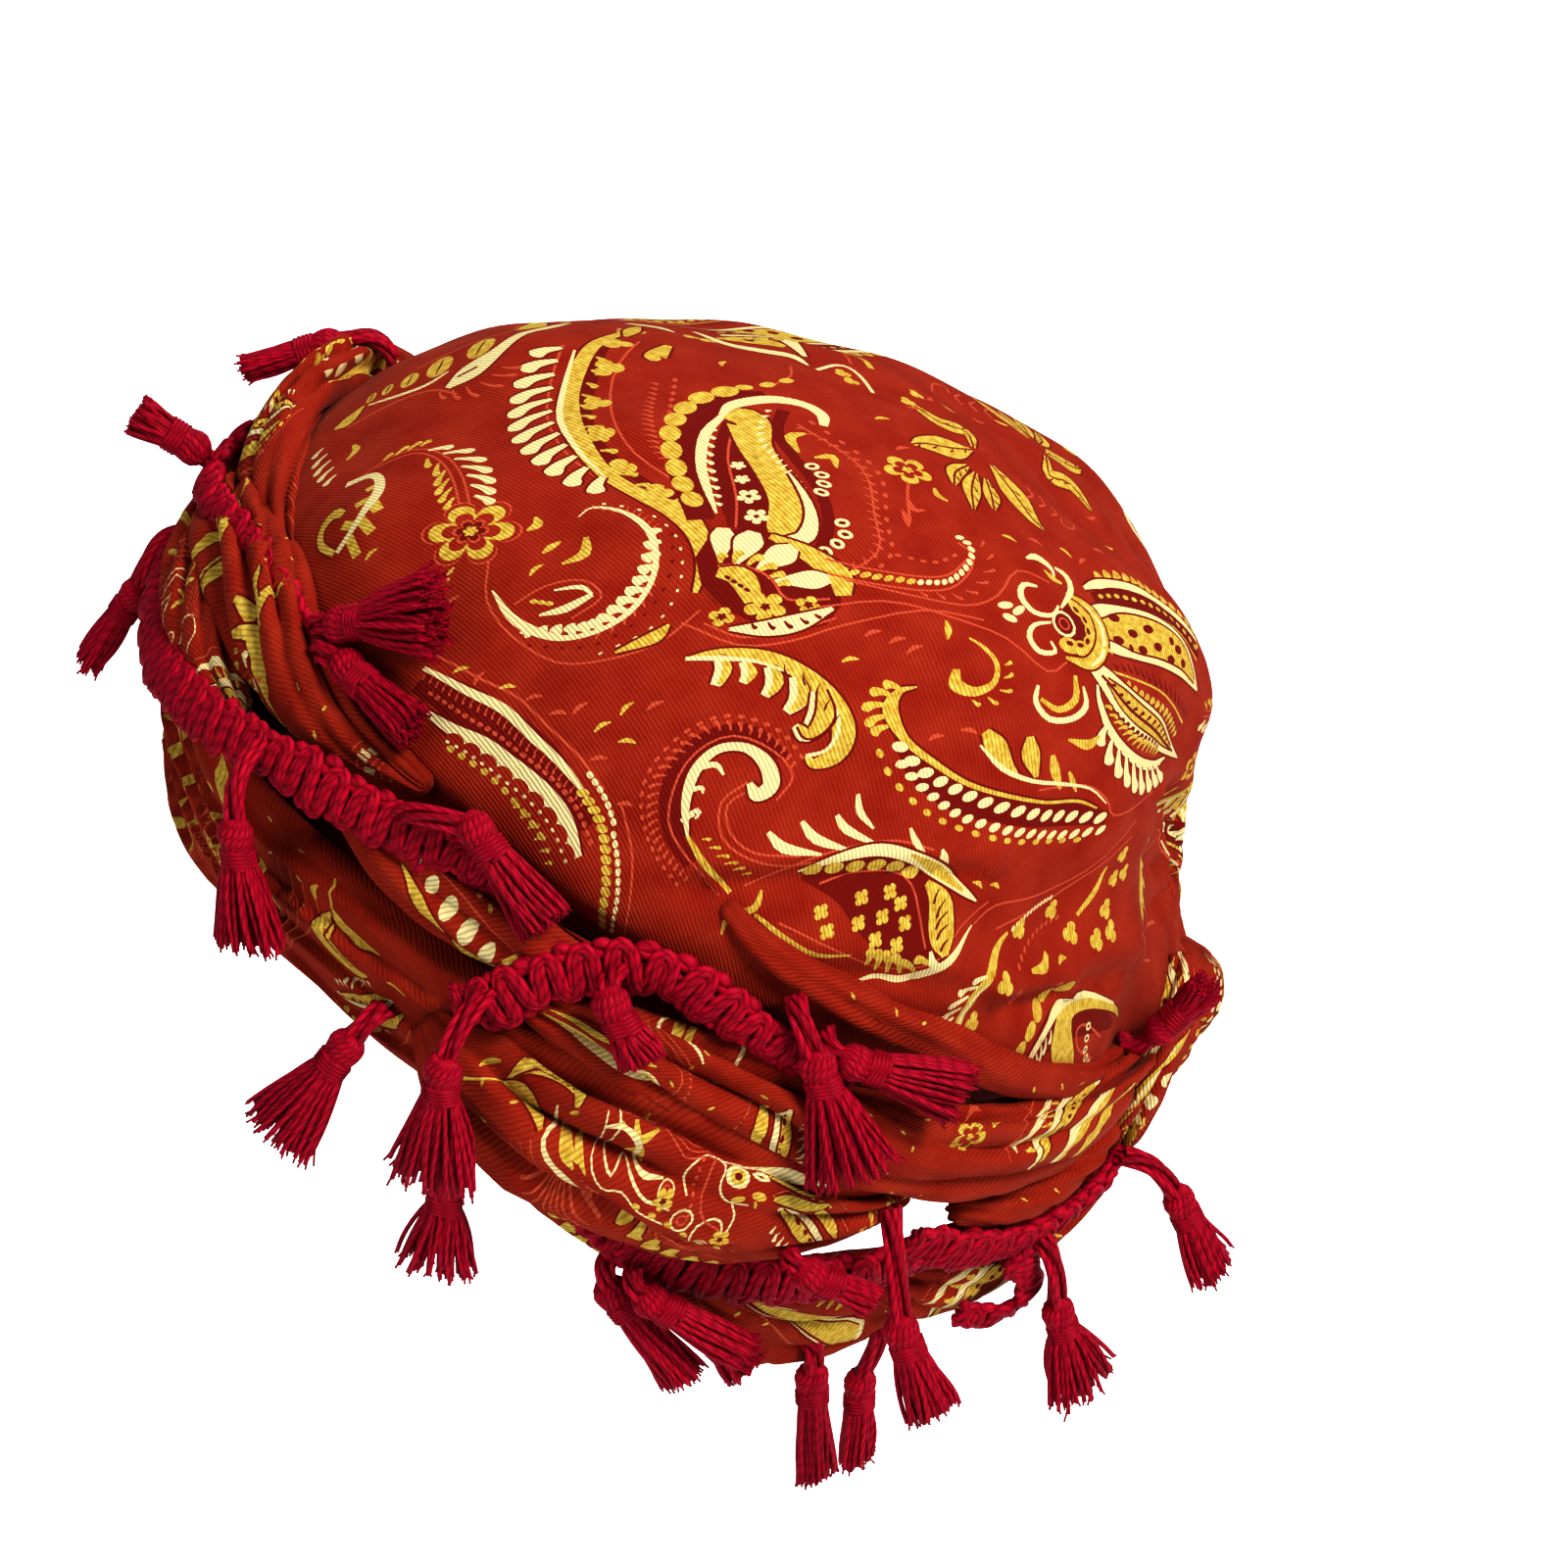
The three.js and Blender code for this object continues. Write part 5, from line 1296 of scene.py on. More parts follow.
class Group(Nodes):
    """A shader node group being built."""

    def __init__(self, name: str, inputs: tuple[tuple[str, str], ...], outputs: tuple[str, ...]) -> None:
        """Makes the group with its named sockets."""
        super().__init__(bpy.data.node_groups.new(name, "ShaderNodeTree"))
        for socket, kind in inputs:
            self.tree.interface.new_socket(socket, in_out="INPUT", socket_type=kind)
        for socket in outputs:
            self.tree.interface.new_socket(socket, in_out="OUTPUT", socket_type="NodeSocketFloat")
        self.entry = self.tree.nodes.new("NodeGroupInput").outputs
        self.exit = self.tree.nodes.new("NodeGroupOutput").inputs

    def noise(self, vector: Socket, scale: float, detail: float) -> Socket:
        """Plain noise."""
        return self.node("TexNoise", {}, Vector=vector, Scale=scale, Detail=detail).outputs[0]

    def sine(self, value: Socket, turns: float) -> Socket:
        """The sine of a value in turns."""
        return self.math("SINE", self.math("MULTIPLY", value, turns * math.tau))

    def give(self, **values: Socket) -> Tree:
        """Feeds the group's outputs and hands the group over."""
        for name, value in values.items():
            self.feed(self.exit[name], value)
        return self.tree


VECTOR = ("Vector", "NodeSocketVector")
RIB_ALONG = 0.62
RIB_ACROSS = 0.78
THREAD_PITCH = 0.62


@cache
def twill_weave() -> Tree:
    """The diagonal rib of twill, crossed by its finer threads.

    Returns:
        A group that takes cloth millimetres and the rib's pitch, and gives height and a mask of the rib's
        grooves, which the twill uses for painted shade and roughness.
    """
    g = Group("twill_weave", (VECTOR, ("Pitch", "NodeSocketFloat")), ("Height", "Groove"))
    vector = g.entry["Vector"]
    sway = g.noise(vector, 0.6, 1.0)
    x, y = g.node("SeparateXYZ", {}, Vector=vector).outputs[:2]
    slant = g.math("MULTIPLY_ADD", y, RIB_ACROSS, g.math("MULTIPLY", sway, 0.35))
    slant = g.math("MULTIPLY_ADD", x, RIB_ALONG, slant)
    rib = g.math("SINE", g.math("DIVIDE", g.math("MULTIPLY", slant, math.tau), g.entry["Pitch"]))
    rib = g.math("MULTIPLY_ADD", rib, 0.5, 0.5)
    cross = g.math("MULTIPLY_ADD", x, RIB_ACROSS, g.math("MULTIPLY", y, -RIB_ALONG))
    thread = g.math("MULTIPLY_ADD", g.sine(cross, 1 / THREAD_PITCH), 0.5, 0.5)
    slub = g.noise(vector, 2.2, 2.0)
    fine = g.math("ADD", g.math("MULTIPLY", thread, 0.18), g.math("MULTIPLY", slub, 0.5))
    height = g.math("ADD", g.math("MULTIPLY", rib, 0.7), fine)
    return g.give(Height=height, Groove=g.math("POWER", g.math("SUBTRACT", 1.0, rib), 3.0))


@cache
def dye_variation() -> Tree:
    """Slow uneven colour, as dye and wear leave it.

    Returns:
        A group that takes cloth millimetres and a size, and gives one mask.
    """
    g = Group("dye_variation", (VECTOR, ("Size", "NodeSocketFloat")), ("Mask",))
    scale = g.math("DIVIDE", 1.0, g.entry["Size"])
    scaled = g.node("VectorMath", {"operation": "SCALE"}, Vector=g.entry["Vector"], Scale=scale).outputs[0]
    return g.give(Mask=g.node("MapRange", {}, Value=g.noise(scaled, 1.0, 4.0), _1=0.3, _2=0.7).outputs[0])


@cache
def yarn_ply() -> Tree:
    """Twisted plies round a yarn, with the fibres in them.

    Returns:
        A group that takes (along, round as a share, number) and gives height, fibre and tone.
    """
    inputs = (VECTOR, ("Pitch", "NodeSocketFloat"), ("Plies", "NodeSocketFloat"))
    g = Group("yarn_ply", inputs, ("Height", "Fibre", "Tone"))
    length, turn, count = g.node("SeparateXYZ", {}, Vector=g.entry["Vector"]).outputs[:3]
    phase = g.math("DIVIDE", length, g.entry["Pitch"])
    phase = g.math("ADD", phase, g.math("MULTIPLY", turn, g.entry["Plies"]))
    wave = g.math("ABSOLUTE", g.sine(phase, 0.5))
    fine = g.sine(g.math("ADD", g.math("MULTIPLY", phase, 5.0), count), 1)
    height = g.math("ADD", g.math("POWER", wave, 0.6), g.math("MULTIPLY", fine, 0.12))
    tone = g.node("TexWhiteNoise", {"noise_dimensions": "1D"}, W=count).outputs[0]
    return g.give(Height=height, Fibre=fine, Tone=g.math("MULTIPLY_ADD", tone, 0.6, 0.4))


# ---- printed cloth
HEM = 8.0
CLOTH_SPACING = 2.2
CROWN_REACH = 153.47
ARC_SAMPLES = 800
# Slumps of the crown: x, y, z, depth and width. On its flat cloth, puffs: x, y, height and width,
# and laps: their two ends, depth and width.
SLUMPS = read_rows("3 22 148 6 36, 22 80 122 5 20")
PUFFS = read_rows("50 -11 2.6 15, -38 22 1.4 20, -104 14 3 22, 30 40 1 30, 0 -60 2 40")
LAPS = read_rows("""
    -20 -140 40 -104 2.4 5, 10 -146 66 -118 2.4 5, 48 -140 92 -100 2.8 5, 70 -128 112 -70 2 6,
    -60 -118 -6 -100 1 7, 84 -40 118 -6 2 7
""")
# The dent that a rear tassel lies in: x, y, depth and width.
DENT = (130, -70, 4.2, 15)
KNOT_SPOT = (132, -8)
CROWN_HEART = np.array([0, 4, 44])
WELD_REACH = 2e-5


def sunk(points: Array) -> Array:
    """How far the slack crown and its lining have sunk towards the back, in millimetres."""
    depth = np.zeros(points.shape[:-1])
    for x, y, z, deep, wide in SLUMPS:
        away = np.linalg.norm(points - (x, y, z), axis=-1)
        depth += deep * np.exp(-(away / wide) ** 2)
    return depth


@dataclass
class CapCloth:
    """The cap's outer cloth: a round of twill over the crown, down the band and under its rim."""

    node: str = "crown_cap"
    band: float = 62.0
    round_sides: int = 420
    turned_in: float = 1.5

    def share(self, reach: Array) -> Array:
        """The crown's share for a distance from its top, along its average outline."""
        share = np.linspace(0, 1, ARC_SAMPLES)
        turn = share * np.pi / 2
        wide = (SHOULDER_SIDE + SHOULDER_FRONT) / 2 * np.maximum(np.cos(turn), 0) ** (2 / CROWN_POWER)
        outline = np.stack([wide, CROWN_RISE * np.sin(turn) ** (2 / CROWN_POWER)], -1)
        run = distance_along(outline)
        return np.interp(reach, run[-1] - run[::-1], share[::-1])

    def relief(self, flat: Array, phi: Array, reach: Array) -> Array:
        """How far the cloth stands out of its plain form: slack, gathers and soft corners."""
        free = 1 - ease(reach, CROWN_REACH - 26, CROWN_REACH - 4)
        slack = 1.5 * ripples(flat, 62, 3) + 0.5 * ripples(flat, 24, 5)
        x, y = (flat - KNOT_SPOT).T
        knot = np.hypot(x, y)
        bearing = np.degrees(np.arctan2(y, -x))
        gathers = np.abs(np.sin(np.radians(bearing * 7 + 9 * ripples(flat, 50, 8)))) ** 0.7 - 0.6
        relief = free * (slack + 3.4 * gathers * np.exp(-knot / 50))
        for x, y, high, wide in PUFFS:
            relief += high * np.exp(-((flat[:, 0] - x) ** 2 + (flat[:, 1] - y) ** 2) / wide ** 2) * free
        x, y, deep, wide = DENT
        relief -= deep * np.exp(-((flat[:, 0] - x) ** 2 + (flat[:, 1] - y) ** 2) / wide ** 2)
        for x0, y0, x1, y1, deep, wide in LAPS:
            way = unit(np.array([x1 - x0, y1 - y0], float))
            local = flat - (x0, y0)
            ahead = np.clip(local @ way, 0, math.hypot(x1 - x0, y1 - y0))
            away = np.linalg.norm(local - ahead[:, None] * way, axis=1)
            side = np.sign(local @ np.array([-way[1], way[0]]))
            over = np.exp(-((away - wide) / wide) ** 2) * (side > 0)
            relief += free * deep * (over - 0.8 * np.exp(-(away / (0.6 * wide)) ** 2))
        return relief

    def surface(self, flat: Array) -> Array:
        """Places on the cap for places on the flat cloth."""
        x, y = flat.T
        reach = np.hypot(x, y)
        phi = np.degrees(np.arctan2(-y, -x))
        crown = crown_point(phi, self.share(np.minimum(reach, CROWN_REACH)), 0)
        low = rim_height(phi)
        down = np.clip((reach - CROWN_REACH) / self.band, 0, 1)
        under = np.clip(reach - CROWN_REACH - self.band, 0, None)
        z = np.where(under > 0, low + under, SHOULDER + (low - SHOULDER) * down)
        inset = -self.turned_in * ease(under, 0, 1.5)
        band = ring_point(CAP_BAND, phi, z, inset)
        near_rim = ease(reach, CROWN_REACH + self.band - 16, CROWN_REACH + self.band)
        gather = 0.5 * np.sin(np.radians(phi) * 62 + 2 * ripples(flat, 30, 2)) * near_rim
        band += unit(band * LEVEL) * (gather * (under == 0))[:, None]
        plain = np.where((reach > CROWN_REACH)[:, None], band, crown)
        outward = unit(plain - CROWN_HEART)
        return plain + outward * (self.relief(flat, phi, reach) - sunk(plain))[:, None]

    def build(self, finish: Finish) -> Piece:
        """Cuts, prints and hangs the cloth."""
        a = np.linspace(0, 2 * np.pi, self.round_sides, endpoint=False)
        reach = CROWN_REACH + self.band + HEM
        edge = reach * np.stack([np.cos(a), np.sin(a)], -1)
        flat, faces, ink = cut_cloth(edge, CLOTH_SPACING, crown_print())
        points = to_row(self.surface(flat))
        cloth = np.concatenate([flat, np.zeros((len(flat), 1))], -1)[faces]
        skin = Skin(points, faces, cloth.reshape(-1, 3), ink)
        piece = make_piece("cap_cloth", skin, finish)
        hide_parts(self.node)
        return piece


STRANDS = tables("""
side_roll: 69 18 -3 10 6, 76 15 -1 30 12, 85 16 1 39 16, 94 19 1 41 18, 103 19 1 37 18, 110 20 0 27 16,
 118 23 -3 16 11, 125 27 -7 7 7
hem_strip: 74 -2 -5 6 4, 83 -7 -4 10 5, 92 -10 -3 13 5, 100 -14 -2 12 5, 106 -17 -3 7 4
twist_front: -5 43 -2 10 8, 1 44 0 23 13, 9 48 0 26 14, 17 51 0 26 14, 26 53 0 26 14, 36 53 0 20 13,
 44 54 0 14 11, 50 56 0 9 8, 56 58 0 4 4
twist_middle: 49 41 -3 5 5, 56 42 -1 10 8, 62 43 0 13 10, 68 45 0 15 11, 74 47 0 14 10, 80 49 -1 9 7,
 85 51 -3 5 5
rim_roll: 75 35 -2 4 4, 80 38 0 10 8, 86 40 0 15 12, 93 41 0 18 14, 101 42 0 19 14, 110 41 0 19 14,
 120 41 -1 21 14, 130 43 -1 23 14, 141 46 -2 29 13, 150 49 -3 33 12, 159 49 -5 27 10
gather_fold: 87 75 -2 4 4, 92 72 0 6 6, 99 70 0 8 8, 107 68 0 9 9, 116 66 0 9 9, 126 62 0 9 9,
 136 59 -1 9 8, 146 58 -2 8 7, 155 58 -4 6 6
lower_roll: 103 -17 0 5 4, 109 -20 2 11 8, 118 -24 3 17 11, 129 -28 3 21 12, 140 -25 3 21 12,
 148 -16 2 17 10, 154 -6 0 10 7
lower_twist: 106 -13 0 4 4, 112 -14 1 8 7, 121 -13 2 14 9, 131 -11 2 17 10, 140 -5 1 15 9, 148 4 0 10 7
nape_roll: 134 -5 3 9 7, 141 -6 6 20 11, 148 -3 7 24 12, 154 5 6 22 11, 160 16 3 16 10, 167 27 0 12 9,
 174 36 -3 9 7
nape_cord: 132 22 -3 5 5, 139 24 -2 9 8, 147 28 -2 11 9, 155 33 -3 11 9, 163 38 -4 9 8
knot_wrap: 168 74 -4 8 6, 164 66 0 15 9, 162 55 0 19 11, 162 43 0 19 11, 164 31 0 15 9, 168 22 -3 9 6
""")
STRANDS |= {
    "plait_strand_a": braid_rows(0, 22, 9.5, """
        -18 65 4 30 13, -10 62 4 32 13, -2 60 2 26 12, 6 60 0 18 10, 13 61 -1 11 8, 20 61 -2 5 5
    """),
    "plait_strand_b": braid_rows(1, 22, 9.5, """
        -16 36 -1 22 12, -7 33 -1 25 12, 2 34 -1 26 12, 10 34 -1 26 12, 18 34 -1 21 11, 26 35 -1 13 9,
        33 36 -2 5 5
    """),
}


def sew(name: str, node: str, size: Row, spacing: float, shapes: list[Outline],
        surface: Callable[[Array], Array], allowance: float, finish: Finish) -> Piece:
    """Cuts a rectangle of printed cloth, lays it over its form and sews its edges together.

    Args:
        name: the piece's name.
        node: the solid whose room it takes.
        size: the cloth's length and width in millimetres.
        spacing: distance between its points.
        shapes: its print.
        surface: gives places in hat millimetres for places on the flat cloth.
        allowance: how far it may stand out of its solid, in millimetres.
        finish: its material.

    Returns:
        The piece.
    """
    length, width = size
    x = np.linspace(0, length, int(length / spacing))
    y = np.linspace(0, width, int(width / spacing))
    edge = np.concatenate([
        np.stack([x[:-1], np.zeros(len(x) - 1)], -1), np.stack([np.full(len(y) - 1, length), y[:-1]], -1),
        np.stack([x[:0:-1], np.full(len(x) - 1, width)], -1), np.stack([np.zeros(len(y) - 1), y[:0:-1]], -1),
    ])
    flat, faces, ink = cut_cloth(edge, spacing, shapes)
    points = settle(to_row(surface(flat)), node, allowance * MM)
    cloth = np.concatenate([flat, np.zeros((len(flat), 1))], -1)[faces]
    points, faces, sound = weld(points, faces, WELD_REACH)
    skin = Skin(points, faces, cloth[sound].reshape(-1, 3), ink[sound])
    piece = make_piece(name, skin, finish)
    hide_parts(node)
    return piece


FILLERS = ("specks", "small_flower", "twin_leaf", "scroll_lines", "gathered_drop", "leaf_spray", "tooth_row",
           "branch", "crown_spray")


@dataclass
class ClothRoll:
    """A strand of twisted or rolled twill laid on the hat, printed and creased."""

    name: str
    motifs: str
    creases: int
    turns: float
    depth: float
    seed: int
    allowance: float = 1.5
    fillers: bool = False

    def surface(self, flat: Array, spine: Spine, girth: float) -> Array:
        """Places on the roll for places on its flat cloth."""
        x, y = flat.T
        twist = self.turns * 2 * np.pi * x / spine.length
        psi = 2 * np.pi * y / girth
        turn = psi + twist - np.pi / 2
        centre, _, across, normal, wide, thick = spine.at(x)
        end = np.minimum(x, spine.length - x) / np.maximum(0.35 * thick, 2)
        round_off = np.sqrt(np.clip(1 - (1 - np.clip(end, 0, 1)) ** 2, 0, 1))
        phase = self.creases * psi / 2 + 0.8 * ripples(flat * (0.5, 1), 55, self.seed)
        bite = np.clip(0.68 + 0.42 * ripples(flat * (0.6, 1), 34, self.seed + 3), 0.15, 1.2)
        valley = bite * (1 - np.abs(np.sin(phase))) ** 1.3
        wrinkle = (1 - np.abs(np.sin(2.5 * phase + 1.3 * ripples(flat * (0.7, 1), 24, self.seed + 1)))) ** 2
        slack = 0.035 * ripples(flat, 20, self.seed + 2)
        full = round_off * (1.15 - self.depth * valley - 0.09 * wrinkle + slack)
        flank, crest = (np.sign(v) * np.abs(v) ** 0.9 for v in (np.cos(turn), np.sin(turn)))
        wide, thick = full * wide / 2 * flank, full * thick / 2 * crest
        return centre + across * wide[:, None] + normal * thick[:, None]

    def print(self, length: float, girth: float) -> list[Outline]:
        """The motifs on this strand: those listed, with fillers where none is near."""
        rng = np.random.default_rng(self.seed)
        rows = [(name, x * length, y, turn) for name, x, y, turn in placed(self.motifs)]
        for x in np.arange(14, length, 27) if self.fillers else ():
            for side in (0.0, 0.5):
                spot = x + rng.uniform(-4, 4)
                if all(abs(spot - row[1]) > 24 or abs(side - row[2]) > 0.3 for row in rows):
                    name = str(rng.choice(FILLERS))
                    rows.append((name, spot, side + rng.uniform(-0.1, 0.1), rng.uniform(-40, 40)))
        shapes: list[Outline] = []
        for name, x, side, turn in rows:
            y = (0.5 + side - self.turns * x / length) % 1
            for lap in (-1, 0, 1):
                MOTIFS[name].draw(shapes, (x, (y + lap) * girth), turn, size=0.85)
        return shapes

    def build(self, finish: Finish) -> Piece:
        """Cuts, prints and rolls the cloth, and lets it settle into its room."""
        spine = Spine.through(STRANDS[self.name])
        girth = float(np.pi * ((spine.wide ** 2 + spine.thick ** 2) / 2).max() ** 0.5)
        size, spacing = (spine.length, girth), 1.4 if spine.length < 250 else 1.9
        return sew(f"{self.name}_cloth", self.name, size, spacing, self.print(*size),
                   lambda flat: self.surface(flat, spine, girth), self.allowance, finish)


FRONT_WRAP = table("phi top bottom proud", """
    -178 34 20 -8, -150 34 4 -2, -120 36 -6 0, -90 40 -10 0, -60 42 -14 0, -30 42 -19 0, 0 36 -21 0,
    15 32 -19 0, 35 27 -11 0, 55 33 -5 0, 70 34 -6 -1, 85 30 -7 -4, 100 27 -2 -8
""")


@dataclass
class BroadWrap:
    """The wide cloth wound round the band, in long pleats, folded under at both edges."""

    node: str = "front_wrap"
    length: float = 520.0
    girth: float = 104.0
    start: float = -178.0
    end: float = 100.0
    rounding: float = 5.0
    seat: float = 0.5
    pleats: float = 4.6
    pleat_depth: float = 3.4
    outer_share: float = 0.56

    def surface(self, flat: Array) -> Array:
        """Places on the wrap for places on its flat cloth."""
        phi = self.start + (self.end - self.start) * flat[:, 0] / self.length
        top, bottom, proud = (along(FRONT_WRAP, "phi", phi, k) for k in ("top", "bottom", "proud"))
        loop = flat[:, 1] / self.girth
        outside = loop < self.outer_share
        share = np.where(outside, loop / self.outer_share, (1 - loop) / (1 - self.outer_share))
        share = np.clip(share, 0, 1)
        z = bottom + (top - bottom) * share
        rounded = self.rounding * (1 - np.sqrt(np.clip(1 - (2 * share - 1) ** 2, 0, 1)))
        lay = share * self.pleats + 0.9 * np.sin(np.radians(phi) * 1.3) + 0.35 * ripples(flat, 90, 21)
        fold = lay % 1
        saw = np.minimum(fold / 0.86, (1 - fold) / 0.14) ** 0.7
        pleat = -self.pleat_depth * (1 - saw) * np.sin(np.pi * np.clip(share, 0.02, 0.98)) ** 0.4
        slack = 0.5 * ripples(flat * (0.5, 1), 16, 22) - 0.5
        outer = ring_point(ENVELOPE, phi, z, proud - rounded + pleat + slack)
        inner = ring_point(CAP_BAND, phi, z, self.seat)
        rim = np.abs(2 * share - 1) ** 12
        blend = np.where(outside, 0.35 * rim, 1 - 0.35 * rim)[:, None]
        points = outer * (1 - blend) + inner * blend
        end = np.clip(np.minimum(phi - self.start, self.end - phi) / 3.0, 0, 1)[:, None]
        middle = ring_point(ENVELOPE, phi, (top + bottom) / 2, proud - 8)
        return middle + (points - middle) * np.sqrt(1 - (1 - end) ** 2)

    def build(self, finish: Finish) -> Piece:
        """Cuts, prints and wraps the cloth."""
        shapes: list[Outline] = []
        for name, x, y, turn in WRAP_MOTIFS:
            MOTIFS[name].draw(shapes, (x * self.length, y * self.girth), turn, size=0.9)
        return sew("front_wrap_cloth", self.node, (self.length, self.girth), 2.2, shapes,
                   self.surface, 1.2, finish)


# Motifs: how far along the cloth, how far round it, and the turn.
WRAP_MOTIFS = placed("""
    fern .06 .3 12, rosette .11 .2 0, great_comma .17 .28 80, branch .23 .3 -10, plume .29 .3 160,
    seed_medallion .36 .28 20, small_flower .41 .4 0, bead_crescent .46 .26 90, leaf_cluster .52 .34 0,
    fern .575 .26 190, scroll_lines .63 .4 20, twin_leaf .645 .16 40, tooth_row .675 .42 -20,
    branch .725 .3 -24, fan_lines .755 .13 0, small_flower .775 .17 0, branch .79 .33 -12,
    fan_lines .8 .16 40, specks .8 .47 0, twin_leaf .845 .36 -30, small_drop .865 .18 20,
    leaf_spray .92 .36 -20, twin_leaf .965 .3 0
""")


@dataclass
class Knot:
    """A tied knot of twill: lapped lobes over a rounded lump."""

    name: str
    phi: float
    z: float
    out: float
    length: float
    high: float
    deep: float
    seed: int
    girth: float = 96.0
    tall: float = 66.0

    def surface(self, flat: Array) -> Array:
        """Places on the knot for places on its flat cloth."""
        turn = 2 * np.pi * flat[:, 0] / self.girth
        rise = np.pi * np.clip(flat[:, 1] / self.tall, 0, 1)
        centre = ring_point(ENVELOPE, np.float64(self.phi), np.float64(self.z), self.out)
        outward = unit(centre * LEVEL)
        across = np.array([-outward[1], outward[0], 0])
        spot = np.stack([np.sin(rise) * np.cos(turn), np.sin(rise) * np.sin(turn), -np.cos(rise)], -1)
        lobes = np.abs(np.sin(1.5 * turn + 2.1 * np.cos(rise) + 0.6)) ** 0.5
        lap = np.abs(np.sin(2.6 * spot[:, 2] + 1.4 * spot[:, 0] + 0.5 * ripples(spot, 1.2, self.seed))) ** 0.5
        dents = 0.03 * ripples(spot, 0.3, self.seed + 3)
        full = np.sin(rise) ** 0.72 * (0.80 + 0.13 * lobes + 0.12 * lap + dents)
        return (centre + across * (full * self.length / 2 * np.cos(turn))[:, None]
                + outward * (full * self.deep / 2 * np.sin(turn))[:, None]
                + UPRIGHT * (-np.cos(rise) * self.high / 2 * (0.94 + 0.06 * lap))[:, None])

    def build(self, finish: Finish) -> Piece:
        """Cuts, prints and ties the cloth."""
        shapes: list[Outline] = []
        for i, name in enumerate(("great_comma", "fern", "plume", "bead_crescent", "rosette")):
            place = ((0.1 + 0.2 * i) * self.girth, (0.3 + 0.38 * (i % 2)) * self.tall)
            MOTIFS[name].draw(shapes, place, 67 * i, size=0.8)
        return sew(f"{self.name}_cloth", self.name, (self.girth, self.tall), 2.0, shapes,
                   self.surface, 1.4, finish)


@dataclass
class Lining:
    """The satin lining: loose folds under the crown, gathered on elastic at the rim."""

    node: str = "satin_lining"
    inset: float = 5.0
    lift: float = 2.0
    heart: Row = (0, 4, 40)
    weld_reach: float = 1e-6
    sides: int = 288
    rows: int = 84

    def build(self, finish: Finish) -> Piece:
        """Gathers and hangs the satin."""
        phi, share = np.meshgrid(np.arange(self.sides) * 360 / self.sides, np.linspace(0, 1, self.rows))
        split = 0.3
        low = rim_height(phi) + self.lift
        on_band = share < split
        z = low + (SHOULDER - low) * np.clip(share / split, 0, 1)
        band = ring_point(CAP_BAND, phi, z, -self.inset)
        crown = crown_point(phi, np.clip((share - split) / (1 - split), 0, 1), -self.inset)
        plain = np.where(on_band[..., None], band, crown)
        spread = np.radians(phi)
        flat = np.stack([spread * 95, share * 190], -1)
        near_rim = np.exp(-share / 0.09)
        puckers = np.sin(spread * 58 + 1.6 * np.sin(spread * 7) + 6 * share)
        drape = np.abs(np.sin(spread * 9 + 3 * share + 1.4 * np.sin(3 * spread))) ** 0.6
        ring = unit(plain - self.heart)
        folds = 3.2 * drape * np.sin(np.pi * np.clip(share * 1.15, 0, 1)) ** 0.8
        soft = 1.6 * (1 + ripples(plain, 46, 12)) * ease(share, 0.1, 0.4)
        inward = 0.9 * near_rim * (1 + puckers) + folds + soft + sunk(plain)
        points = plain - ring * inward[..., None]
        index = np.arange(self.sides * self.rows).reshape(self.rows, self.sides)
        right = np.roll(index, -1, axis=1)
        faces = np.stack([index[:-1], right[:-1], right[1:], index[1:]], -1).reshape(-1, 4)
        cloth = np.concatenate([flat, np.zeros((*flat.shape[:2], 1))], -1).reshape(-1, 3)[faces]
        points, faces, sound = weld(to_row(points).reshape(-1, 3), faces, self.weld_reach)
        piece = make_piece("lining", Skin(points, faces, cloth[sound].reshape(-1, 3)), finish)
        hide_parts(self.node)
        return piece


# ---- yarn
YARN_NUMBERS = 97
TASSEL_SEED = 700
GOLDEN_ANGLE = 2.39996


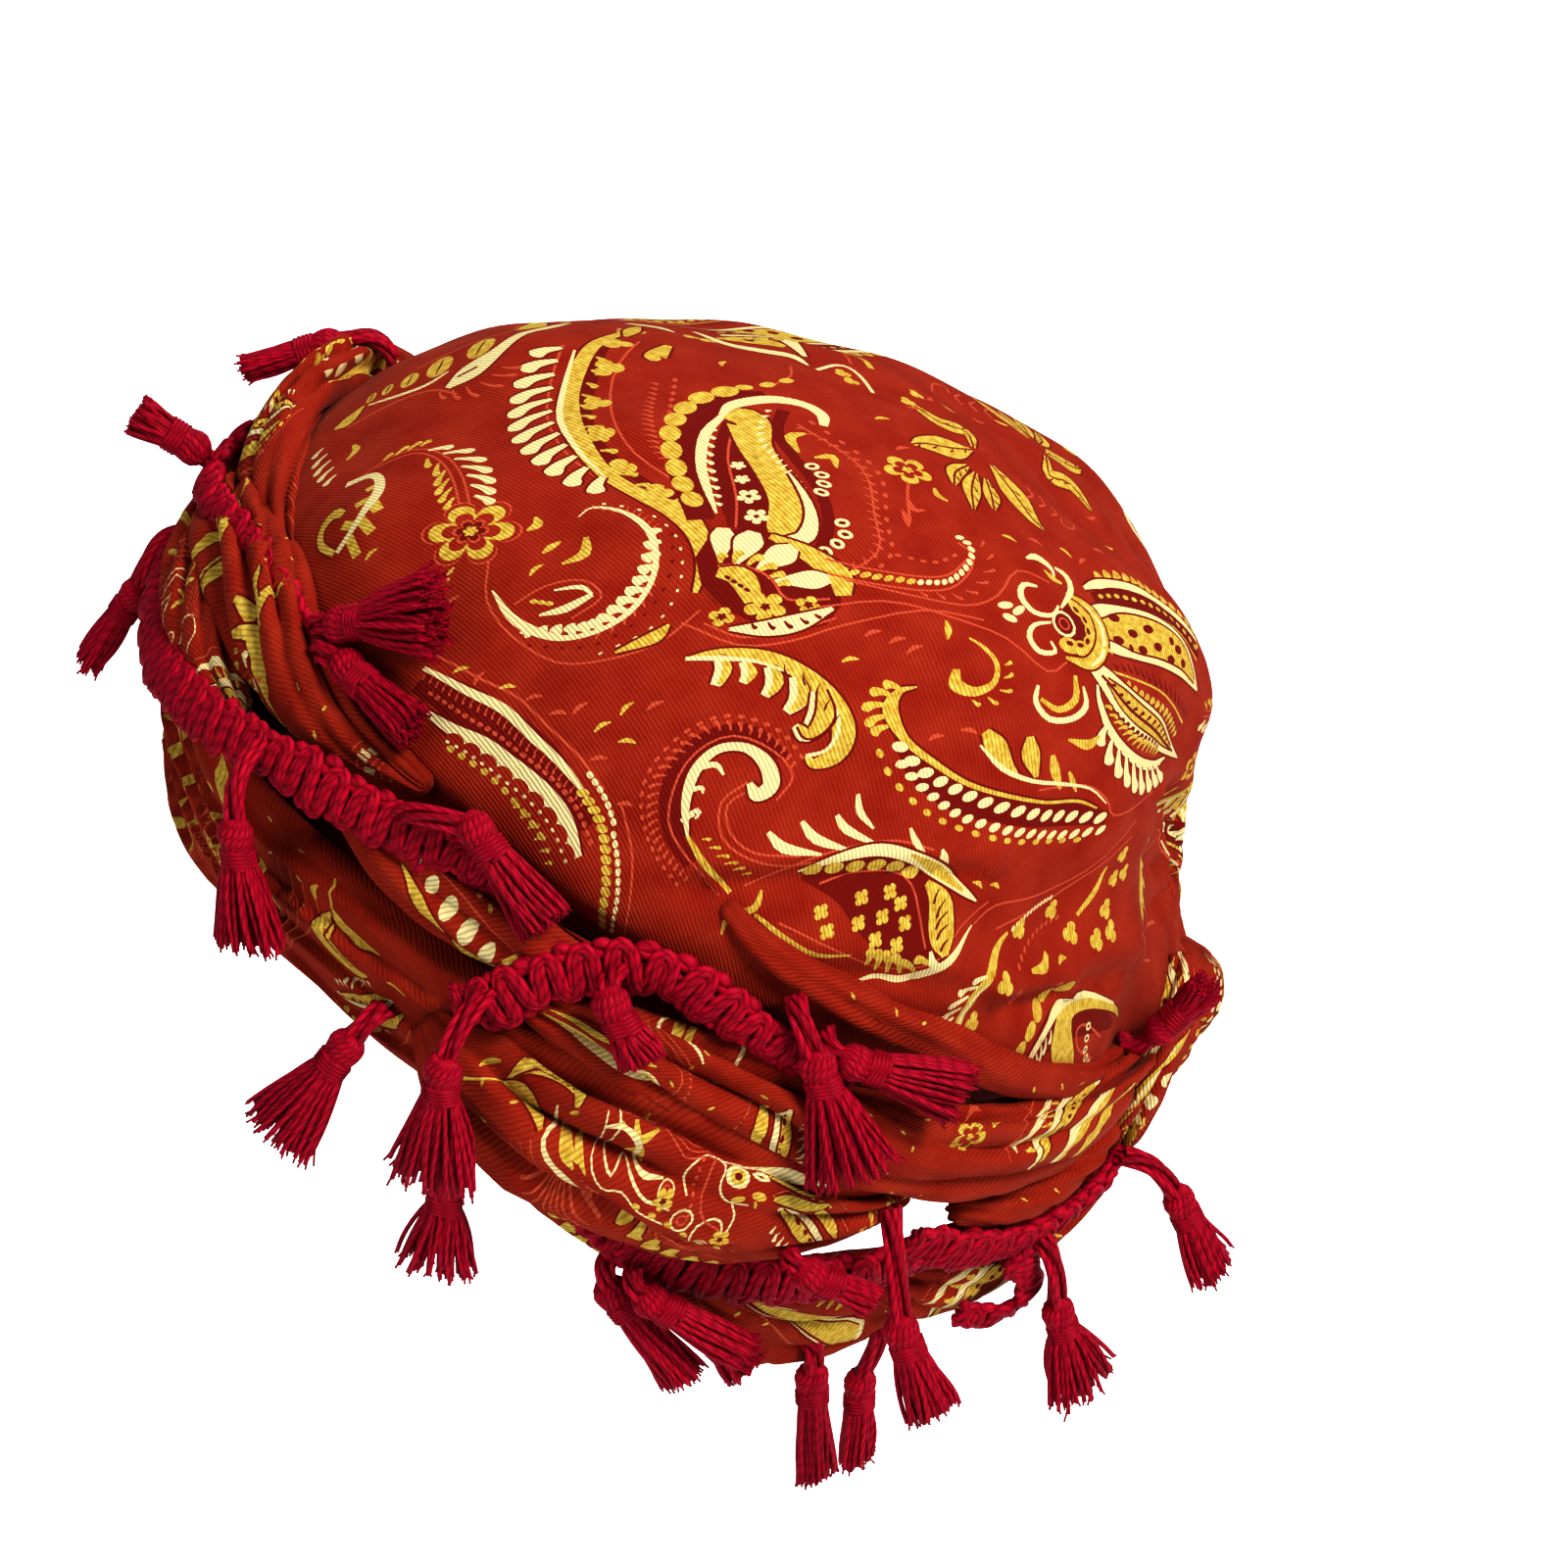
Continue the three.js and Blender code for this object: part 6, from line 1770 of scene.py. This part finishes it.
@dataclass
class Bundle:
    """Yarns gathered to become one mesh."""

    sides: int = 6
    points: list[Array] = field(default_factory=list)
    faces: list[Array] = field(default_factory=list)
    cloth: list[Array] = field(default_factory=list)
    total: int = 0
    number: int = 0

    def add(self, paths: Array, radius: Array | float, reference: Array) -> None:
        """Adds round yarns with closed ends.

        Args:
            paths: places along each yarn, in hat millimetres, shaped (yarns, places, 3).
            radius: half thickness, one value or one for each place.
            reference: a direction that is never along a yarn.
        """
        yarns, places, _ = paths.shape
        radius = np.broadcast_to(np.asarray(radius, float), (yarns, places))
        ahead = unit(np.gradient(paths, axis=1))
        side = unit(np.cross(ahead, np.broadcast_to(reference, paths.shape)))
        up = np.cross(side, ahead)
        a = np.arange(self.sides) * 2 * np.pi / self.sides
        ring = (side[:, :, None] * np.cos(a)[:, None] + up[:, :, None] * np.sin(a)[:, None])
        points = paths[:, :, None] + ring * radius[:, :, None, None]
        steps = np.linalg.norm(np.diff(paths, axis=1), axis=2)
        run = np.concatenate([np.zeros((yarns, 1)), np.cumsum(steps, axis=1)], 1)
        index = np.arange(yarns * places * self.sides).reshape(yarns, places, self.sides)
        b = np.roll(index, -1, axis=2)
        quads = np.stack([index[:, :-1], b[:, :-1], b[:, 1:], index[:, 1:]], -1).reshape(-1, 4)
        turn = np.arange(self.sides) / self.sides
        number = (self.number + np.arange(yarns)) % YARN_NUMBERS
        along_run = np.broadcast_to(run[:, :-1, None], (yarns, places - 1, self.sides))
        next_run = np.broadcast_to(run[:, 1:, None], along_run.shape)
        here = np.broadcast_to(turn, along_run.shape)
        count = np.broadcast_to(number[:, None, None], along_run.shape)
        corner = [np.stack([r, here + step, count], -1) for r, step in
                  ((along_run, 0), (along_run, 1 / self.sides), (next_run, 1 / self.sides), (next_run, 0))]
        cloth = np.stack(corner, -2).reshape(-1, 4, 3)
        half = self.sides // 2
        for end, flip in ((0, True), (places - 1, False)):
            for k in range(half - 1):
                quad = index[:, end][:, [k, k + 1, self.sides - 2 - k, self.sides - 1 - k]]
                quads = np.concatenate([quads, quad[:, ::-1] if flip else quad])
                value = np.stack([run[:, end], np.zeros(yarns), number], -1)
                cloth = np.concatenate([cloth, np.repeat(value[:, None], 4, axis=1)])
        self.points.append(points.reshape(-1, 3))
        self.faces.append(quads + self.total)
        self.cloth.append(cloth)
        self.total += yarns * places * self.sides
        self.number += yarns

    def skin(self) -> Skin:
        """The whole bundle as one skin."""
        points, faces, cloth = map(np.concatenate, (self.points, self.faces, self.cloth))
        return Skin(to_row(points), faces, cloth.reshape(-1, 3))


GIMPS = tables("""
gimp_1: -4 45 7 14 5, 4 50 7 13 5, 12 56 6 11 5, 20 60 5 9 5, 28 62 4 6 4, 36 62 3 5 4
gimp_2: -2 30 3 7 4, 3 26 4 11 5, 10 23 3 14 5, 18 25 3 14 5, 26 29 4 13 5, 33 34 5 12 5, 40 40 6 11 5,
 47 45 6 12 6, 54 49 6 12 6, 60 53 6 12 6, 66 56 5 11 5, 72 56 3 8 5
gimp_3: 71 28 2 8 4, 74 35 4 12 5, 76 44 5 12 6, 80 53 5 12 6, 85 59 5 12 6, 91 59 5 12 6, 97 57 5 10 6,
 103 55 4 9 5, 108 53 3 6 4
gimp_4: 94 -6 3 8 4, 99 -8 5 12 5, 106 -9 6 14 6, 114 -7 6 15 6, 121 -2 6 16 6, 127 6 5 15 6, 131 13 3 12 5
gimp_5: 126 17 3 10 4, 133 15 4 12 5, 141 15 5 11 5, 149 19 5 10 5, 156 26 4 8 5, 164 34 2 6 4
gimp_loop: 144 12 8 8 4, 148 6 14 9 4, 150 -1 19 9 4, 148 -7 20 9 4, 144 -9 16 8 4
""")


@dataclass
class Gimp:
    """Crocheted gimp: a fat cord of parallel yarns that runs to and fro from edge to edge."""

    name: str
    rows: Table
    seed: int
    slim: float = 1.0
    rib_pitch: float = 3.7
    cord_yarns: int = 3
    yarn: float = 0.78
    places: int = 10

    def build(self, finish: Finish) -> Piece:
        """Crochets the gimp along its line."""
        rng = np.random.default_rng(self.seed)
        spine = Spine.through(self.rows)
        bundle = Bundle()
        ribs = max(int(spine.length / self.rib_pitch), 3)
        u = np.linspace(0, ribs, ribs * self.places + 1)
        knots = np.arange(ribs + 1)
        uneven, plump, lean = (
            np.interp(u, knots, rng.normal(0, spread, ribs + 1)) for spread in (0.5, 0.25, 0.3))
        a = np.cos(np.pi * u)
        distance = (u + 0.8 * np.sin(2 * np.pi * u) / (2 * np.pi)) * spine.length / ribs + lean
        distance = np.clip(distance, 0, spine.length)
        centre, _, across, normal, wide, thick = spine.at(distance)
        reach = self.slim * wide / 2 - 1.5 + uneven
        arch = np.sqrt(np.clip(1.12 - a ** 2, 0, 1))
        lift = (thick / 2 - 1.0) * arch - 0.3 + plump
        path = centre + across * (a * reach)[:, None] + normal * lift[:, None]
        side = unit(np.cross(normal, np.gradient(path, axis=0)))
        for k in range(self.cord_yarns):
            shift = k - (self.cord_yarns - 1) / 2
            yarn = path + side * (0.98 * shift) + normal * (0.5 * (1 - abs(shift)))
            bundle.add(yarn[None], self.yarn, normal[None])
        under = centre - across * (a * (reach + 0.4))[:, None] - normal * (lift * 0.8)[:, None]
        bundle.add(under[None], self.yarn * 1.7, normal[None])
        steps = np.linspace(0, spine.length, int(spine.length / 1.5))
        centre, _, across, normal, wide, thick = spine.at(steps)
        for share in (-0.52, 0.0, 0.52):
            core = centre + across * (self.slim * share * wide / 2)[:, None] - normal * 0.5
            bundle.add(core[None], (0.24 * thick)[None], normal[None])
        piece = make_piece(f"{self.name}_yarn", bundle.skin(), finish)
        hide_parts(self.name)
        return piece


def leaning(lean: float, heading: float) -> Array:
    """A direction that leans from plumb towards a heading in the upright world, in the hat's frame."""
    l, h = math.radians(lean), math.radians(heading)
    x, y, z = math.sin(l) * math.sin(h), -math.sin(l) * math.cos(h), -math.cos(l)
    c, s = math.cos(WORN_TILT), math.sin(WORN_TILT)
    return np.array([x, c * y - s * z, s * y + c * z])


@dataclass
class Tassel:
    """A tassel: a neck of yarns, a wound head and a skirt of loose yarns."""

    number: int
    phi: float
    z: float
    out: float
    neck: float
    lean: float
    turn: float
    skirt: float
    fall: float
    face: float
    flare: float
    skirt_yarns: int = 64
    yarn: float = 0.6
    head_wide: float = 7.6
    tie_wide: float = 6.5
    head_long: float = 5.0

    def build(self, finish: Finish) -> Piece:
        """Winds the neck and head and combs out the skirt."""
        name = f"tassel_{self.number:02d}"
        rng = np.random.default_rng(TASSEL_SEED + self.number)
        start = ring_point(ENVELOPE, np.float64(self.phi), np.float64(self.z), self.out)
        neck_way, skirt_way = leaning(self.lean, self.turn), leaning(self.fall, self.face)
        head = start + neck_way * self.neck
        across = unit(np.cross(unit(head * LEVEL), skirt_way))
        normal = unit(np.cross(skirt_way, across))
        bundle = Bundle(sides=5)
        self.add_neck(bundle, rng, start, head, neck_way, skirt_way, across, normal)
        self.add_head(bundle, head, skirt_way, across, normal)
        self.add_skirt(bundle, rng, head, skirt_way, across, normal)
        piece = make_piece(f"{name}_yarn", bundle.skin(), finish)
        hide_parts(name)
        return piece

    def add_neck(self, bundle: Bundle, rng: np.random.Generator, start: Array, head: Array, neck_way: Array,
                 skirt_way: Array, across: Array, normal: Array) -> None:
        """Twisted yarns from the gimp to the head."""
        t = np.linspace(0, 1, 12)[:, None]
        bow = (normal * 2.6 - skirt_way * 3.2) * np.sin(np.pi * t) * min(self.neck / 12, 1)
        line = start - neck_way * 1.5 + (head - start + neck_way * 1.5) * t + bow
        yarns = 7
        begin = np.arange(yarns) * 2 * np.pi / yarns
        turn = begin[:, None] + 0.7 * np.pi * t[:, 0] + 0.15 * rng.normal(size=(yarns, 1))
        reach = np.where(np.arange(yarns) == 0, 0.0, 1.55)[:, None, None]
        reach = reach * (1 + 0.35 * (1 - np.sin(np.pi * t)))
        side = unit(np.cross(neck_way, normal) + 1e-3)
        up = unit(np.cross(side, neck_way))
        paths = line + reach * (side * np.cos(turn)[..., None] + up * np.sin(turn)[..., None] * 0.85)
        bundle.add(paths, 0.82, unit(np.array([0.3, 0.5, 0.2]) + side))

    def add_head(self, bundle: Bundle, head: Array, way: Array, across: Array, normal: Array) -> None:
        """Yarns folded over the head, and the tie wound under it."""
        yarns = 15
        s = np.linspace(-3.2, self.head_long + 1, 9)
        swell = np.array([0.4, 0.78, 0.98, 1.0, 0.96, 0.9, 0.84, 0.8, 0.82]) * self.head_wide / 2 - 0.5
        turn = np.arange(yarns)[:, None] * 2 * np.pi / yarns + 0.10 * s
        paths = (head + way * s[:, None] + across * (swell * np.cos(turn))[..., None]
                 + normal * (0.85 * swell * np.sin(turn))[..., None])
        bundle.add(paths, 0.86, way)
        t = np.linspace(0, 1, 70)
        coil = 2 * np.pi * 4.2 * t
        r = self.tie_wide / 2 + 0.25
        path = (head + way * (self.head_long - 1.9 + 3.8 * t)[:, None] + across * (r * np.cos(coil))[:, None]
                + normal * (0.87 * r * np.sin(coil))[:, None])
        bundle.add(path[None], 0.62, way)

    def add_skirt(self, bundle: Bundle, rng: np.random.Generator, head: Array, way: Array, across: Array,
                  normal: Array) -> None:
        """Loose yarns that spread from the tie to an uneven end."""
        yarns, places = self.skirt_yarns, 9
        spot = np.arange(yarns)
        disc = ((spot + 0.5) / yarns)[:, None] ** 0.42
        turn = (spot * GOLDEN_ANGLE)[:, None] + rng.normal(0, 0.06, (yarns, 1))
        t = np.linspace(0, 1, places)
        reach = self.skirt * rng.uniform(0.94, 1.0, (yarns, 1))
        s = self.head_long - 1.5 + (reach - self.head_long + 1.5) * t
        open_at = np.clip((s - self.head_long) / (self.skirt - self.head_long), 0, 1)
        wide = self.tie_wide + (self.flare - self.tie_wide) * open_at ** 0.8
        flat = 0.85 - 0.3 * open_at
        x, y = disc * (wide / 2 - 0.5) * np.cos(turn), disc * (wide / 2 - 0.5) * flat * np.sin(turn)
        for spread, share in ((x, 1.0), (y, 0.6)):
            high, phase, turns = (rng.uniform(*span, (yarns, 1)) for span in ((0.3, 1.15), (0, 6.28), (2, 5)))
            spread += share * (high * np.sin(phase + turns * t) * open_at ** 0.7)
        paths = head + way * s[..., None] + across * x[..., None] + normal * y[..., None]
        radius = self.yarn * (1 - 0.12 * t) * rng.uniform(0.85, 1.15, (yarns, 1))
        bundle.add(paths, radius, unit(normal + 0.37 * across))
        u = np.linspace(0, 1, 4)
        base, tip = paths[:, -2], paths[:, -1]
        splay = rng.normal(0, 0.6, (yarns, 2))
        hair = (base[:, None] + (tip - base)[:, None] * (1.35 * u)[:, None]
                + (across * splay[:, :1] + normal * 0.7 * splay[:, 1:])[:, None] * (u ** 1.5)[:, None])
        bundle.add(hair, 0.26, unit(normal + 0.37 * across))


TASSELS = table("phi z out neck lean turn skirt fall face flare", """
    -22 78 0 14 106 3 20 72 3 12, -7 45 7 7 138 3 15 125 3 10, -2 31 3 18 38 3 21 34 3 13,
    34 64 2 9 116 123 25 110 157 22, 37 62 3 10 96 122 22 74 137 12, 41 41 7 18 42 70 25 8 120 21,
    57 54 7 18 100 150 24 42 154 14, 65 10 -1 10 54 30 27 36 6 19, 73 36 6 17 50 55 29 8 330 22,
    79 -4 -1 13 32 50 22 8 3 20, 82 55 6 8 74 80 14 30 155 12, 98 66 5 13 34 130 27 16 165 22,
    103 62 5 7 66 140 25 66 192 17, 151 64 -2 8 118 165 15 140 180 14, 158 33 5 17 48 183 22 24 183 16,
    147 16 7 20 14 170 22 16 183 23, 121 25 1 26 20 110 23 18 178 14, 132 -29 8 9 8 150 29 2 183 11,
    144 -24 5 21 10 3 23 1 3 12, 100 -15 6 8 4 100 27 36 175 11, 102 -12 10 7 25 160 25 57 180 11,
    117 -30 4 3 40 183 13 40 183 12, 112 13 6 8 60 130 17 56 195 8
""")
FAR_TASSELS = (-36, -54, -72, -90, -108, -126, -144, -162)
FAR_GIMP = braid_rows(2, 13, 5, "-17 45 7 13 5, -10 43 7 13 5, -6 44 7 13 5")


def tassels() -> list[Tassel]:
    """All the tassels: those listed, then the alike ones on the far side."""
    near = [Tassel(i + 1, *row) for i, row in enumerate(zip(*TASSELS.values()))]
    far = []
    for number, phi in enumerate(FAR_TASSELS, len(near) + 1):
        z, out = (float(along(FAR_GIMP, "phi", phi, column)) for column in ("z", "out"))
        far.append(Tassel(number, phi, z - 4, out + 1, 11, 24, phi + 360, 24, 6, phi + 360, 18))
    return near + far


ROLLS = (
    ClothRoll("twist_front", """
        twin_leaf .27 -.04 60, crown_spray .56 -.04 20, specks .74 -.03 30, specks .4 -.2 0,
        ladder .88 .05 -12, leaf_spray .3 .4 0, branch .66 .45 0
    """, 8, 0.5, 0.74, 11),
    ClothRoll("twist_middle", "pearl_band .48 -.04 0", 6, 0.3, 0.6, 12),
    ClothRoll("rim_roll", """
        border_strip .125 -.02 0, specks .27 -.12 0, small_drop .36 .05 -150, curled_bud .2 -.25 20,
        specks .23 0 60, specks .46 -.2 20, small_flower .6 -.2 0, specks .52 .02 60,
        gathered_drop .77 -.13 -6, fern .5 .4 0
    """, 8, 0.25, 0.78, 13, allowance=3.5),
    ClothRoll("side_roll", """
        twin_leaf .22 -.07 0, specks .33 -.1 0, scroll_lines .46 -.02 4, specks .6 -.1 40,
        small_drop .74 -.01 0, leaf_spray .9 0 0, fan_lines .33 .1 0, specks .13 .02 0, curled_bud .33 0 4,
        border_strip .66 -.09 160, tooth_row .56 .11 0, branch .4 .4 0
    """, 9, 0.08, 0.88, 14),
    ClothRoll("hem_strip", "specks .4 0 0, tooth_row .7 0 0", 3, 0.1, 0.3, 15),
    ClothRoll("gather_fold", "specks .3 0 0, specks .7 .1 0", 5, 0.3, 0.5, 16, allowance=2.5),
    ClothRoll("lower_roll", "specks .25 0 0, long_stripe .5 -.1 4, small_drop .8 -.1 0", 8, 0.25, 0.62, 17),
    ClothRoll("lower_twist", "long_stripe .4 .08 0, specks .7 0 0", 7, 0.35, 0.62, 18),
    ClothRoll("nape_roll", "gathered_drop .3 0 0, specks .6 0 0", 8, 0.3, 0.6, 19, fillers=True),
    ClothRoll("nape_cord", "specks .4 0 0", 6, 0.6, 0.6, 20),
    ClothRoll("knot_wrap", "pearl_band .4 0 10", 7, 0.15, 0.55, 21, fillers=True),
    ClothRoll("plait_strand_a", """
        tooth_row .865 -.03 0, specks .84 .12 0, small_flower .92 .05 0, small_drop .9 -.1 60
    """, 7, 2.4, 0.6, 22, fillers=True),
    ClothRoll("plait_strand_b", "scroll_lines .93 0 0, branch .85 0 0", 7, 2.2, 0.6, 23, fillers=True),
)
KNOTS = (
    Knot("side_knot", 178, 46, -2, 34, 44, 24, 31),
    Knot("tail_knot", -152, 12, 4, 36, 30, 22, 32),
)


# ---- stage
@dataclass(frozen=True)
class Lamp:
    """A soft square lamp, aimed at the hat."""

    name: str
    place: tuple[float, float, float]
    size: float
    power: float


@dataclass
class Studio:
    """The camera, the pale floor and the soft light."""

    azimuth: float = 93.4
    elevation: float = 30.0
    distance: float = 0.9
    lens: float = 92.05
    shift: tuple[float, float] = (0.028, -0.039)
    floor_drop: float = 0.16
    floor_size: float = 14.0
    floor_colour: Colour = (0.93, 0.93, 0.93)
    floor_glow: float = 0.8
    exposure: float = 0.44
    gamma: float = 0.72
    ambient: float = 0.13
    lamps: tuple[Lamp, ...] = (
        Lamp("key", (1.1, 1.3, 1.9), 0.8, 54.0),
        Lamp("fill", (1.6, -1.4, 0.8), 1.4, 11.0),
        Lamp("back", (-1.3, 0.3, 1.5), 1.2, 14.0),
    )

    def camera(self) -> None:
        """Sets up the camera."""
        a, e = math.radians(self.azimuth), math.radians(self.elevation)
        right = Vector((math.cos(a), math.sin(a), 0))
        back = Vector((math.sin(a) * math.cos(e), -math.cos(a) * math.cos(e), math.sin(e)))
        up = back.cross(right)
        aim = Vector(to_row(np.array([0.0, 0.0, 60.0])))
        data = bpy.data.cameras.new("camera")
        data.sensor_width = 36
        data.lens = self.lens
        data.shift_x, data.shift_y = self.shift
        data.clip_start, data.clip_end = 0.01, 50
        camera = bpy.data.objects.new("camera", data)
        turn = Matrix((right, up, back)).transposed().to_4x4()
        camera.matrix_world = Matrix.Translation(aim + back * self.distance) @ turn
        bpy.context.scene.collection.objects.link(camera)
        bpy.context.scene.camera = camera

    def floor(self, low: float) -> None:
        """Lays the pale floor under the hat."""
        mesh = bpy.data.meshes.new("floor")
        h = self.floor_size / 2
        z = low - self.floor_drop
        mesh.from_pydata([(-h, -h, z), (h, -h, z), (h, h, z), (-h, h, z)], [], [(0, 1, 2, 3)])
        shader = Shader("pale_floor")
        seen = shader.node("LightPath", {}).outputs["Is Camera Ray"]
        glow = shader.math("MULTIPLY", seen, self.floor_glow)
        shader.dress(Base_Color=self.floor_colour, Roughness=0.9, Specular_IOR_Level=0.1,
                     Emission_Color=(1.0, 1.0, 1.0), Emission_Strength=glow)
        mesh.materials.append(shader.material)
        floor = bpy.data.objects.new("floor", mesh)
        bpy.context.scene.collection.objects.link(floor)
        floor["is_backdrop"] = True

    def light(self) -> None:
        """Hangs the lamps and lights the room."""
        for lamp in self.lamps:
            data = bpy.data.lights.new(lamp.name, "AREA")
            data.shape = "SQUARE"
            data.size = lamp.size
            data.energy = lamp.power
            light = bpy.data.objects.new(lamp.name, data)
            turn = Vector(lamp.place).to_track_quat("Z", "Y").to_matrix().to_4x4()
            light.matrix_world = Matrix.Translation(lamp.place) @ turn
            bpy.context.scene.collection.objects.link(light)
        world = bpy.data.worlds.new("room")
        world.use_nodes = True
        sky = Nodes(world.node_tree)
        seen = sky.node("LightPath", {}).outputs["Is Camera Ray"]
        shade = sky.node("Mix", {}, _0=seen, _2=self.ambient, _3=1.0)
        background = sky.tree.nodes["Background"]
        sky.feed(background.inputs["Strength"], shade.outputs[0])
        sky.feed(background.inputs["Color"], (1.0, 1.0, 1.0))
        bpy.context.scene.world = world
        view = bpy.context.scene.view_settings
        view.view_transform = "Standard"
        view.exposure, view.gamma = self.exposure, self.gamma


def main() -> None:
    """Builds the hat, its stage and its camera."""
    logging.basicConfig(level=logging.INFO, format="%(name)s: %(message)s")
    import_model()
    studio = Studio()
    studio.camera()
    twill, satin = Twill().material(), Satin().material()
    gimp_yarn, tassel_yarn = Yarn("gimp_yarn").material(), Yarn("tassel_yarn", plies=3.0).material()
    Lining().build(satin)
    CapCloth().build(twill)
    BroadWrap().build(twill)
    for strand in (*ROLLS, *KNOTS):
        strand.build(twill)
    Gimp("far_gimp", FAR_GIMP, 90).build(gimp_yarn)
    for number, (name, rows) in enumerate(GIMPS.items()):
        Gimp(name, rows, 91 + number, 0.72 if name == "gimp_1" else 1.0).build(gimp_yarn)
    for tassel in tassels():
        tassel.build(tassel_yarn)
    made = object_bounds()
    studio.floor(made[0][2])
    studio.light()
    log.info("box %s", made)


if __name__ == "__main__":
    main()
